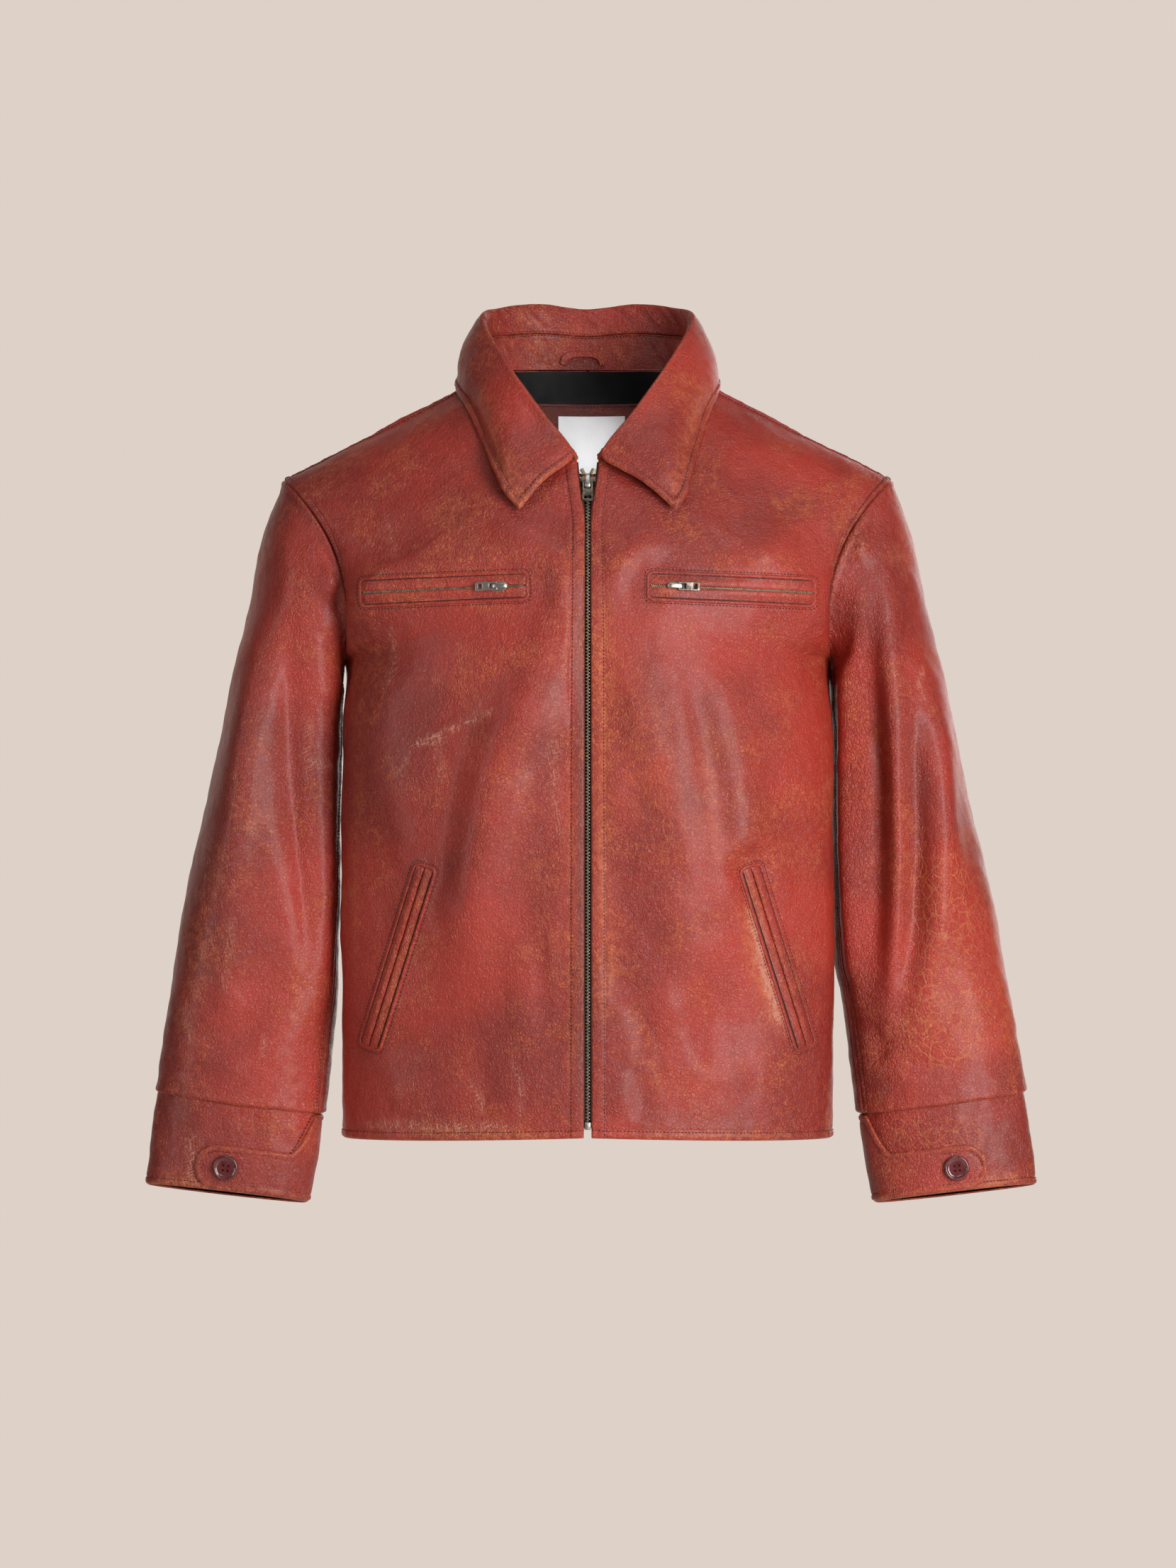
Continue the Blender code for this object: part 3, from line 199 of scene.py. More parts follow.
# Cuff rings: share down, outer x and z, inner x and z, middle y, half depth, rise of the front edge.
CUFF = Curve((
    (0.0, 372.2, -608, 230.8, -626, -19, 39.2, 0), (0.5, 379, -652, 236, -670, -20, 38, 2),
    (1.0, 384, -696, 244, -712, -21, 36, 5)))

# Collar from the front round to the back: angle, top of the roll, outer edge of the fall, how much
# wider the wearer's left fall stands.
COLLAR = Curve((
    (-90, 8.8, -101, -66, 58, -128, -115, 17), (-78, 17, -98, -54, 70, -122, -102, 14),
    (-60, 31, -91, -36, 81, -106, -80, 9), (-30, 63, -58, 11, 99, -52, -35, 4),
    (0, 88, -4, 58, 116, 2, -1, 0),
    (35, 71, 42, 74, 97, 55, 6, 0), (62, 40, 63, 79, 60, 76, 11, 0), (90, 0, 70, 75, 0, 83, 13, 0),
    (118, -40, 63, 79, -60, 76, 11, 0)))
STAND_TOP = 0.56            # height of the seam on the stand, as a share up to the roll


def ring(rows: Array, bow: Array, angle: Array) -> Array:
    """Points of leaning rings.

    Args:
        rows: outer x and z, inner x and z, middle y and half depth, along the last axis.
        bow: how far the front and back of the ring are drawn in towards the body.
        angle: 0 at the outer side, 90 in front, 180 at the inner side.

    Returns:
        Points along a new last axis.
    """
    outer_x, outer_z, inner_x, inner_z, mid_y, half_depth = np.moveaxis(rows, -1, 0)
    across = np.cos(np.radians(angle))
    forward = np.sin(np.radians(angle))
    x = (outer_x + inner_x) / 2 + (outer_x - inner_x) / 2 * across - bow * forward ** 2
    z = (outer_z + inner_z) / 2 + (outer_z - inner_z) / 2 * across
    return np.stack((x, mid_y - half_depth * forward, z), axis=-1)


def armhole(angle: Array) -> Array:
    """Armhole seam: 0 at the shoulder tip, 180 at the armpit, by way of the front."""
    rows = np.broadcast_to(SLEEVE.at(0.0), (*np.shape(angle), 7))
    return ring(rows[..., :6], rows[..., 6], angle)


def drape(folds: tuple, a: Array, b: Array) -> Array:
    """Height of a form's soft folds at its places (a, b)."""
    total = np.zeros(np.shape(a))
    for top_a, top_b, foot_a, foot_b, half_width, height in folds:
        along = (b - top_b) / (foot_b - top_b)
        offset = a - top_a - (foot_a - top_a) * along
        inside = (along > 0) & (along < 1)
        total += np.where(inside, height * np.sin(np.pi * np.clip(along, 0, 1)) * bell(offset, half_width), 0)
    return total


@dataclass(frozen=True)
class PanelForm:
    """Outer face of a half front (face 1) or half back (face -1) on the +X side."""

    face: int

    def points(self, u: Array, v: Array) -> Array:
        """Points at u from the middle to the side and v from the shoulder to the hem."""
        front = self.face == 1
        centre, starts = (CENTRE_FRONT, FRONT_STARTS) if front else (CENTRE_BACK, BACK_STARTS)
        neck_end = starts.rows[0][0]
        passed = np.minimum(v / neck_end, 1)
        drop = starts.at(np.maximum(v, neck_end))[..., 0]
        middle = centre.at(drop)
        on_centre = np.stack((middle[..., 0], middle[..., 1], -drop), axis=-1)
        on_neck = NECK.at(-self.face * 90 * passed)
        start = np.where((passed < 1)[..., None], on_neck, on_centre)
        end = np.where((v <= 1)[..., None], armhole(self.face * 180 * np.minimum(v, 1)),
                       SIDE_SEAM.at(np.maximum(v, 1)))
        roundness, swell = np.moveaxis((FRONT_BEND if front else BACK_BEND).at(v), -1, 0)
        turn = np.radians(90 * u)
        across = (1 - roundness) * u + roundness * np.sin(turn)
        back = (1 - roundness) * u ** 2 + roundness * (1 - np.cos(turn))
        x = start[..., 0] + (end[..., 0] - start[..., 0]) * across + swell * 6.75 * u ** 2 * (1 - u)
        z = start[..., 2] + (end[..., 2] - start[..., 2]) * across
        level = centre.at(-start[..., 2])[..., 1]
        follow = passed ** 2
        here = follow * (centre.at(-z)[..., 1] - level)
        there = follow * (centre.at(-end[..., 2])[..., 1] - level)
        y = start[..., 1] + here + (end[..., 1] - start[..., 1] - there) * back
        y = y - self.face * drape(FRONT_DRAPE if front else BACK_DRAPE, u, v)
        return np.stack((x, y, z), axis=-1)


@dataclass(frozen=True)
class RingForm:
    """Tube of leaning rings on the +X side."""

    side: Side
    table: ClassVar[Curve]

    def axis(self, share: Array) -> Array:
        """Middle of the tube's hollow."""
        outer_x, outer_z, inner_x, inner_z, mid_y = np.moveaxis(self.table.at(share), -1, 0)[:5]
        return np.stack(((outer_x + inner_x) / 2, mid_y, (outer_z + inner_z) / 2), -1)


class SleeveForm(RingForm):
    """Outer face of a sleeve."""

    table = SLEEVE

    def points(self, angle: Array, share: Array) -> Array:
        """Points at an angle round the ring and a share down the sleeve."""
        rows = SLEEVE.at(share)
        if self.side is Side.LEFT:
            rows = rows + np.stack([LEFT_SWING * share ** 2 * (n in (0, 2)) for n in range(7)], axis=-1)
        near = (angle + 180) % 360 - 180
        away = np.stack((np.cos(np.radians(angle)), -np.sin(np.radians(angle)), 0 * angle), axis=-1)
        return ring(rows[..., :6], rows[..., 6], angle) + away * drape(SLEEVE_DRAPE, near, share)[..., None]


class CuffForm(RingForm):
    """Outer face of a cuff."""

    table = CUFF

    def points(self, angle: Array, share: Array) -> Array:
        """Points at an angle round the ring and a share down the cuff."""
        rows = CUFF.at(share)
        swing = LEFT_SWING if self.side is Side.LEFT else 0.0
        rows = rows + np.array((swing, 0, swing, 0, 0, 0, 0))
        lift = rows[..., 6] * np.sin(np.radians(angle))
        return ring(rows[..., :6], 0 * lift, angle) + lift[..., None] * np.array((0, 0, 1))


def outwards(angle: Array) -> Array:
    """Level directions away from the neck at angles of the neck seam."""
    along = NECK.at(np.minimum(angle + 1, 100)) - NECK.at(np.maximum(angle - 1, -90))
    away = np.stack((-along[..., 1], along[..., 0], 0 * along[..., 0]), axis=-1)
    wrong = away[..., 0] + away[..., 1] * np.where(angle > 0, 1, -1) < 0
    return unit(np.where(wrong[..., None], -away, away))


@dataclass(frozen=True)
class FallForm:
    """Visible face of the collar's fall on the +X side: up the neck side, over the roll and down."""

    side: Side
    rise: float = 4.5       # the roll's faces stand this far below its top
    width: float = 8.0      # from the neck side of the roll to its outer side
    bow: float = 5.0

    def lines(self, angle: Array) -> tuple[Array, Array, Array]:
        """Neck seam, top of the roll and outer edge at angles of the neck seam."""
        values = COLLAR.at(angle)
        wider = values[..., 6:7] * (self.side is Side.LEFT)
        return NECK.at(angle), values[..., :3], values[..., 3:6] + wider * np.array((1, 0, 0))

    def points(self, angle: Array, t: Array) -> Array:
        """Points at an angle of the neck seam and a share from the stand's seam to the outer edge."""
        base, roll, edge = self.lines(angle)
        away = outwards(angle)
        drop = np.array((0, 0, self.rise))
        knots = np.array((0.0, 0.22, 0.33, 0.44, 0.72, 1.0))
        values = np.stack((
            base + (roll - base) * STAND_TOP,
            roll - drop,
            roll + away * self.width / 2,
            roll + away * self.width - drop,
            (roll + away * self.width + edge) / 2 + away * self.bow,
            edge), axis=0)
        slopes = np.gradient(values, knots, axis=0)
        row = np.clip(np.searchsorted(knots, t) - 1, 0, len(knots) - 2)
        span = (knots[row + 1] - knots[row])[..., None]
        s = (t - knots[row])[..., None] / span

        def pair(source: Array) -> tuple:
            return tuple(np.take_along_axis(source, at[None, ..., None], axis=0)[0] for at in (row, row + 1))

        return bend(pair(values), pair(slopes), s, span)


# ---- folds and marks, placed in the front or back view ----

VIEW = 4000.0               # the places of folds and marks are read from this far in front or behind
EYE_HEIGHT = -348.0


def seen_from(points: Array, front: bool) -> Array:
    """Places of points in the front view, or in the back view with X as it is."""
    depth = points[..., 1] if front else -points[..., 1]
    nearer = VIEW / (VIEW + depth)
    return np.stack((points[..., 0] * nearer, EYE_HEIGHT + (points[..., 2] - EYE_HEIGHT) * nearer), axis=-1)


def along_path(places: Array, path: Sequence[tuple[float, float]]) -> tuple[Array, Array]:
    """Signed offset from a path, positive on the right of its direction, and the share passed along it."""
    knots = np.asarray(path, dtype=float)
    lengths = np.linalg.norm(np.diff(knots, axis=0), axis=1)
    passed = passed_along(knots)
    best = np.full(places.shape[:-1], np.inf)
    signed = np.zeros(places.shape[:-1])
    share = np.zeros(places.shape[:-1])
    for n, length in enumerate(lengths):
        line = (knots[n + 1] - knots[n]) / length
        to = places - knots[n]
        t = np.clip(to @ line, 0, length)
        off = to - t[..., None] * line
        distance = np.linalg.norm(off, axis=-1)
        near = distance < best
        cross = line[1] * to[..., 0] - line[0] * to[..., 1]
        signed = np.where(near, np.where(cross < 0, -distance, distance), signed)
        share = np.where(near, (passed[n] + t) / passed[-1], share)
        best = np.where(near, distance, best)
    return signed, share


FOLD_DEPTH = 1.60           # how much deeper the folds stand than their tables say
FOLD_WIDTH = 1.45           # and how much wider


@dataclass(frozen=True)
class Fold:
    """Ridge or trough along a path, steeper on one side than on the other."""

    path: tuple
    left: float             # half width on the left of the path's direction
    right: float
    height: float

    def raised(self, places: Array) -> Array:
        """Height of the fold at places of the view."""
        offset, share = along_path(places, self.path)
        width = FOLD_WIDTH * np.where(offset < 0, self.left, self.right)
        taper = ease(0.0, 0.35, share) * ease(1.0, 0.65, share)
        return FOLD_DEPTH * self.height * taper * bell(offset, width)


class Wear(Enum):
    """What a mark does to the hide, and for the dark kind also the painted shade it lays; the value is the
    name of its attribute.
    """

    # darker hide: dark patches of the hide, and painted shade beside the zip, down the right sleeve, on the
    # collar stand and at the pocket lips
    DARK = "dark"
    RUB = "rub"             # finish rubbed through to the tan below
    CRACK = "crack"         # open cells and cracks
    SCUFF = "scuff"         # pale dry scratches


@dataclass(frozen=True)
class Mark:
    """Stroke of wear along a path of the front or back view; some dark strokes are painted shade."""

    kind: Wear
    path: tuple
    half_width: float
    strength: float

    def drawn(self, places: Array) -> Array:
        """Strength of the mark at places of the view."""
        offset, share = along_path(places, self.path)
        taper = np.clip(np.minimum(share, 1 - share) * 8 + 0.25, 0, 1)
        return self.strength * taper * bell(offset, self.half_width)


def path_of(numbers: Sequence[float]) -> tuple:
    """Points of a path from its x and z in turn."""
    return tuple(zip(numbers[::2], numbers[1::2]))


def fold_rows(*rows: tuple) -> tuple:
    """Folds from rows of half width left and right, height, then the x and z of each point of the path."""
    return tuple(Fold(path_of(row[3:]), *row[:3]) for row in rows)


def mark_rows(**kinds: tuple) -> tuple:
    """Marks of each kind from rows of half width, strength, then the x and z of each point of the path."""
    return tuple(Mark(Wear(kind), path_of(row[2:]), *row[:2]) for kind, rows in kinds.items() for row in rows)


# ---- sheets ----

def unrest(points: Array, size: float, seed: int) -> Array:
    """Soft uneven field over points, about -1 to 1, with swells of about a size in millimetres."""
    draw = np.random.default_rng(seed)
    total = np.zeros(points.shape[:-1])
    waves = 14
    for _ in range(waves):
        way = draw.normal(size=3)
        way = way / np.linalg.norm(way) * 2 * math.pi / (size * draw.uniform(0.7, 1.9))
        total += np.sin(points @ way + draw.uniform(0, 2 * math.pi))
    return total / math.sqrt(waves) / 1.4


def softened(height: Array, rounds: int) -> Array:
    """A field of heights with its sharp changes eased, each round between nearest neighbours."""
    for _ in range(rounds):
        for axis in (0, 1):
            beside = [(1, 1) if n == axis else (0, 0) for n in range(height.ndim)]
            padded = np.pad(height, beside, mode="edge")
            before = np.take(padded, range(height.shape[axis]), axis=axis)
            after = np.take(padded, range(2, height.shape[axis] + 2), axis=axis)
            height = (before + 2 * height + after) / 4
    return height


def close_ends(count: int, ends: float) -> Array:
    """Shares from 0 to 1 that lie closer together at both ends; ends is 0 for even steps, up to 0.9."""
    t = np.linspace(0, 1, count + 1)
    return t - ends * np.sin(2 * np.pi * t) / (2 * np.pi)


@dataclass
class Lattice:
    """Rows and columns of places on a form, with their normals and the distances to their four edges."""

    a: Array
    b: Array
    points: Array
    normals: Array
    worn: dict = field(default_factory=dict)

    @classmethod
    def on(cls, place: Callable, a: Array, b: Array, inside: Callable, mirror: int = 1) -> "Lattice":
        """Lay a lattice on a form.

        Args:
            place: gives points in millimetres for (a, b).
            a: values of the columns.
            b: values of the rows.
            inside: gives points of the hollow behind the form for (a, b).
            mirror: sign that X is multiplied by.

        Returns:
            The lattice, with its normals pointing out of the hollow.
        """
        grid_a, grid_b = np.meshgrid(a, b)
        flip = np.array((mirror, 1, 1))
        points = place(grid_a, grid_b) * flip
        hollow = inside(grid_a, grid_b) * flip
        return cls(grid_a, grid_b, points, cls.facing(points, points - hollow))

    @staticmethod
    def facing(points: Array, outward: Array) -> Array:
        """Unit normals of a grid of points, all turned to the outward side."""
        cross = np.cross(np.gradient(points, axis=1), np.gradient(points, axis=0))
        length = np.linalg.norm(cross, axis=-1, keepdims=True)
        normals = cross / np.maximum(length, 1e-9)
        flip = np.sign(np.median(np.sum(normals * outward, axis=-1)))
        return normals * flip

    def lengths(self, axis: int) -> Array:
        """Distance passed along rows (axis 1) or columns (axis 0)."""
        steps = np.linalg.norm(np.diff(self.points, axis=axis), axis=-1)
        start = np.zeros_like(np.take(steps, [0], axis=axis))
        return np.cumsum(np.concatenate((start, steps), axis=axis), axis=axis)

    def from_edge(self, edge: str) -> Array:
        """Distance of every place from the first or last column, or the first or last row."""
        passed = self.lengths(1 if edge in ("first_column", "last_column") else 0)
        if edge == "last_column":
            return passed[:, -1:] - passed
        if edge == "last_row":
            return passed[-1:, :] - passed
        return passed

    def raise_by(self, height: Array) -> None:
        """Move every place out along its normal."""
        self.points = self.points + self.normals * height[..., None]

    def turn_normals(self) -> None:
        """Bring the normals up to date with the places."""
        self.normals = self.facing(self.points, self.normals)

    def view_places(self, front: bool) -> tuple[Array, Array]:
        """Places in the front or back view, and how squarely each one faces that view."""
        facing = self.normals[..., 1] * (-1 if front else 1)
        return seen_from(self.points, front), ease(-0.10, 0.25, facing)

    def fold(self, ridges: Iterable["Fold"], front: bool, rounds: int = 9) -> Array:
        """Total height of folds where the lattice faces the view, eased over some rounds."""
        places, facing = self.view_places(front)
        total = sum((ridge.raised(places) for ridge in ridges), np.zeros(self.a.shape))
        return softened(total, rounds) * facing

    def wear(self, strokes: Iterable["Mark"], front: bool) -> None:
        """Paint marks where the lattice faces the view."""
        places, facing = self.view_places(front)
        for mark in strokes:
            self.paint(mark.kind, mark.drawn(places) * facing)

    def paint(self, kind: "Wear", strength: Array) -> None:
        """Lay one kind of mark over what is there: wear, and for the dark kind also painted shade."""
        old = self.worn.get(kind.value, np.zeros(self.a.shape))
        self.worn[kind.value] = 1 - (1 - old) * (1 - np.clip(strength, 0, 1))

    def wear_edge(self, edge: str, width: float, strength: float, kind: "Wear") -> None:
        """Paint wear along an edge, fading over a width."""
        uneven = 0.65 + 0.35 * unrest(self.points, 22.0, 7)
        self.paint(kind, strength * uneven * np.exp(-self.from_edge(edge) / width))

    def line(self, edge: str, distance: float, keep: Optional[Callable] = None) -> tuple[Array, Array]:
        """Points and normals of a row of stitches at a distance from an edge.

        Args:
            edge: as for from_edge.
            distance: how far in the row runs.
            keep: tells for (a, b) whether the row is wanted there.

        Returns:
            Points and unit normals along the row.
        """
        away = self.from_edge(edge)
        swap = edge in ("first_row", "last_row")
        grids = [away, self.points, self.normals, self.a, self.b]
        if swap:
            grids = [np.swapaxes(grid, 0, 1) for grid in grids]
        away, points, normals, grid_a, grid_b = grids
        if edge in ("last_column", "last_row"):
            away, points, normals, grid_a, grid_b = (
                g[:, ::-1] for g in (away, points, normals, grid_a, grid_b))
        spots, ups = [], []
        for row in range(len(away)):
            n = int(np.searchsorted(away[row], distance))
            if n == 0 or n >= away.shape[1]:
                continue
            if keep is not None and not keep(grid_a[row, n], grid_b[row, n]):
                continue
            t = (distance - away[row, n - 1]) / (away[row, n] - away[row, n - 1])
            spots.append(points[row, n - 1] * (1 - t) + points[row, n] * t)
            ups.append(normals[row, n - 1] * (1 - t) + normals[row, n] * t)
        return np.array(spots), np.array(ups)


@dataclass(frozen=True)
class SeamShape:
    """How the hide stands beside a seam or a turned edge."""

    stitch: float = 6.0     # distance of the stitch row from the edge
    roll: float = 1.6       # the edge turns down over this width
    puff: float = 0.7       # height between the edge and the stitches
    groove: float = 0.5     # depth under the stitches
    pucker: float = 0.35    # unevenness along the seam

    def height(self, away: Array, along: Array, seed: float = 1.0) -> Array:
        """Height at a distance from the edge and along it."""
        turned = np.clip(1 - away / self.roll, 0, 1)
        down = self.roll * (np.sqrt(np.clip(1 - turned ** 2, 0, 1)) - 1)
        rise = self.puff * bell(away - 0.5 * self.stitch, 0.36 * self.stitch)
        ditch = -self.groove * bell(away - self.stitch, 0.8)
        beside = bell(away - 0.8 * self.stitch, 0.9 * self.stitch)
        return down + rise + ditch + self.pucker * beside * ripple(along, 11.0, seed)


@dataclass
class Shell:
    """Thin walled piece made from one or more lattices that are welded where they meet."""

    name: str
    lattices: Sequence[Lattice]
    finish: Material
    lining: Optional[Material] = None
    wall: float = 1.6
    weld: bool = False

    def sheet(self, shape: Shape, lattice: Lattice) -> None:
        """Add a grid of quads to a shape, each vertex moved to its place of the lattice."""
        rows, columns = lattice.a.shape
        known = len(shape.verts)
        faces_known = len(shape.faces)
        bmesh.ops.create_grid(shape, x_segments=columns - 1, y_segments=rows - 1, size=0.5)
        shape.verts.ensure_lookup_table()
        shape.faces.ensure_lookup_table()
        layers = {kind.value: shape.verts.layers.float.get(kind.value) for kind in Wear}
        chart = shape.loops.layers.uv["weave"]
        across, down = lattice.lengths(1), lattice.lengths(0)
        for vertex in shape.verts[known:]:
            c = round((vertex.co.x + 0.5) * (columns - 1))
            r = round((vertex.co.y + 0.5) * (rows - 1))
            vertex.co = lattice.points[r, c] * MM
            for kind, painted in lattice.worn.items():
                vertex[layers[kind]] = painted[r, c]
            for loop in vertex.link_loops:
                loop[chart].uv = (across[r, c] * MM, down[r, c] * MM)
        turns = np.cross(np.diff(lattice.points, axis=1)[:-1], np.diff(lattice.points, axis=0)[:, :-1])
        if np.sum(turns * lattice.normals[:-1, :-1]) < 0:
            bmesh.ops.reverse_faces(shape, faces=shape.faces[faces_known:])

    def build(self) -> Piece:
        """Make the finished piece: worn attributes, wall, sharp rims."""
        shape = bmesh.new()
        for kind in Wear:
            shape.verts.layers.float.new(kind.value)
        shape.loops.layers.uv.new("weave")
        for lattice in self.lattices:
            self.sheet(shape, lattice)
        if self.weld:
            bmesh.ops.remove_doubles(shape, verts=shape.verts, dist=1e-5)
        data = bpy.data.meshes.new(self.name)
        shape.to_mesh(data)
        shape.free()
        piece = linked(data, self.finish, self.lining or self.finish)
        thick = piece.modifiers.new("wall", "SOLIDIFY")
        thick.thickness = self.wall * MM
        thick.offset = -1.0
        thick.material_offset = 1
        thick.material_offset_rim = 0
        return settle(piece, 48)


def linked(data: bpy.types.Mesh, *finishes: Material) -> Piece:
    """Piece of a mesh, under the mesh's own name, with its finishes."""
    for finish in finishes:
        data.materials.append(finish)
    piece = bpy.data.objects.new(data.name, data)
    bpy.context.collection.objects.link(piece)
    return piece


def settle(piece: Piece, sharp: float = 35.0) -> Piece:
    """Apply a piece's modifiers and shade it smooth up to an angle in degrees."""
    if piece.modifiers:
        grown = bpy.data.meshes.new_from_object(piece.evaluated_get(bpy.context.evaluated_depsgraph_get()))
        piece.modifiers.clear()
        old = piece.data
        piece.data = grown
        grown.name = old.name
        bpy.data.meshes.remove(old)
    piece.data.shade_smooth()
    piece.data.set_sharp_from_angle(angle=math.radians(sharp))
    return piece


# ---- finishes ----

class Term:
    """Output of a shader node that takes part in Python arithmetic."""

    def __init__(self, recipe: "Recipe", socket: bpy.types.NodeSocket) -> None:
        self.recipe = recipe
        self.socket = socket

    def math(self, operation: str, *values: object) -> "Term":
        """Outcome of a maths node on values and Terms."""
        inputs = dict(enumerate(values))
        return self.recipe.node("ShaderNodeMath", {"operation": operation}, inputs)

    def clamped(self) -> "Term":
        """The value kept between 0 and 1."""
        return self.math("MINIMUM", self.math("MAXIMUM", self, 0.0), 1.0)

    def over(self, other: object) -> "Term":
        """The larger of this value and another."""
        return self.math("MAXIMUM", self, other)

    def between(self, low: float, high: float) -> "Term":
        """Smooth step from 0 at low to 1 at high; low may be the larger."""
        inputs = {"Value": self, "From Min": low, "From Max": high}
        return self.recipe.node("ShaderNodeMapRange", {"interpolation_type": "SMOOTHSTEP"}, inputs)


for sign, operation in (("add", "ADD"), ("sub", "SUBTRACT"), ("mul", "MULTIPLY")):
    setattr(Term, f"__{sign}__", lambda self, other, kind=operation: self.math(kind, self, other))
    setattr(Term, f"__r{sign}__", lambda self, other, kind=operation: self.math(kind, other, self))


class Recipe:
    """Node tree of one finish, made round a Principled shader."""

    def __init__(self, name: str) -> None:
        self.material = bpy.data.materials.new(name)
        self.material.use_nodes = True
        self.tree = self.material.node_tree
        self.shader = self.tree.nodes["Principled BSDF"]
        place = self.node("ShaderNodeTexCoord", {}, {}, "Object")
        self.here = self.vectors("SCALE", {0: place, "Scale": 1 / MM})

    def feed(self, socket: bpy.types.NodeSocket, value: object) -> None:
        """Link a Term to a socket, or set the socket's own value."""
        if isinstance(value, Term):
            self.tree.links.new(value.socket, socket)
        elif isinstance(value, tuple) and len(value) == 3 and socket.type == "RGBA":
            socket.default_value = (*value, 1.0)
        else:
            socket.default_value = value

    def node(self, kind: str, settings: dict, inputs: dict, output: object = 0) -> Term:
        """Add a node.

        Args:
            kind: type of the node.
            settings: its properties, set before its sockets.
            inputs: socket names or numbers with a value or a Term each.
            output: name or number of the socket handed back.

        Returns:
            The chosen output.
        """
        made = self.tree.nodes.new(kind)
        for key, value in settings.items():
            setattr(made, key, value)
        for key, value in inputs.items():
            self.feed(made.inputs[key], value)
        return Term(self, made.outputs[output])

    def vectors(self, operation: str, inputs: dict) -> Term:
        """Outcome of a vector maths node."""
        return self.node("ShaderNodeVectorMath", {"operation": operation}, inputs)

    def moved(self, offset: tuple[float, float, float]) -> Term:
        """The place on the piece in millimetres, shifted."""
        return self.node("ShaderNodeMapping", {}, {"Vector": self.here, "Location": offset})

    def noise(self, where: Term, scale: float, detail: float = 2.0, rough: float = 0.5) -> Term:
        """Cloudy value about 0.5; scale is in patches for each millimetre."""
        inputs = {"Vector": where, "Scale": scale, "Detail": detail, "Roughness": rough}
        return self.node("ShaderNodeTexNoise", {}, inputs)

    def warped(self, where: Term, scale: float, reach: float) -> Term:
        """The place pushed about by a cloudy field, by up to half a reach in millimetres."""
        inputs = {"Vector": where, "Scale": scale, "Detail": 3.0}
        field_colour = self.node("ShaderNodeTexNoise", {}, inputs, "Color")
        centred = self.vectors("SUBTRACT", {0: field_colour, 1: (0.5,) * 3})
        push = self.vectors("SCALE", {0: centred, "Scale": reach})
        return self.vectors("ADD", {0: where, 1: push})

    def cell_edges(self, where: Term, scale: float) -> Term:
        """Distance to the edges of random cells, as a share of a cell."""
        settings = {"feature": "DISTANCE_TO_EDGE"}
        return self.node("ShaderNodeTexVoronoi", settings, {"Vector": where, "Scale": scale}, "Distance")

    def hairlines(self, turn: float, stretch: tuple[float, float, float]) -> Term:
        """Broken thin lines, 1 on a line, that run at an angle in the front view."""
        turned = self.node("ShaderNodeMapping", {}, {"Vector": self.here, "Rotation": (0.0, turn, 0.0)})
        drawn = self.node("ShaderNodeMapping", {}, {"Vector": turned, "Scale": stretch})
        return self.noise(drawn, 0.42, 3.0, 0.6).between(0.56, 0.63)

    def attribute(self, name: str) -> Term:
        """Value painted on the piece's points."""
        return self.node("ShaderNodeAttribute", {"attribute_name": name}, {}, "Fac")

    def mix(self, factor: object, first: object, second: object) -> Term:
        """Colour from first at factor 0 to second at factor 1."""
        return self.node("ShaderNodeMix", {"data_type": "RGBA"}, {0: factor, 6: first, 7: second}, 2)

    def bump(self, height: Term, depth: float, under: Optional[Term] = None) -> Term:
        """Normal of a relief whose height of 1 is so many millimetres deep."""
        inputs = {"Height": height, "Distance": depth * MM, "Strength": 1.0}
        if under is not None:
            inputs["Normal"] = under
        return self.node("ShaderNodeBump", {}, inputs)

    def finish(self, **sockets: object) -> Material:
        """Feed the shader's sockets, their names written with underscores."""
        for key, value in sockets.items():
            self.feed(self.shader.inputs[key.replace("_", " ")], value)
        return self.material


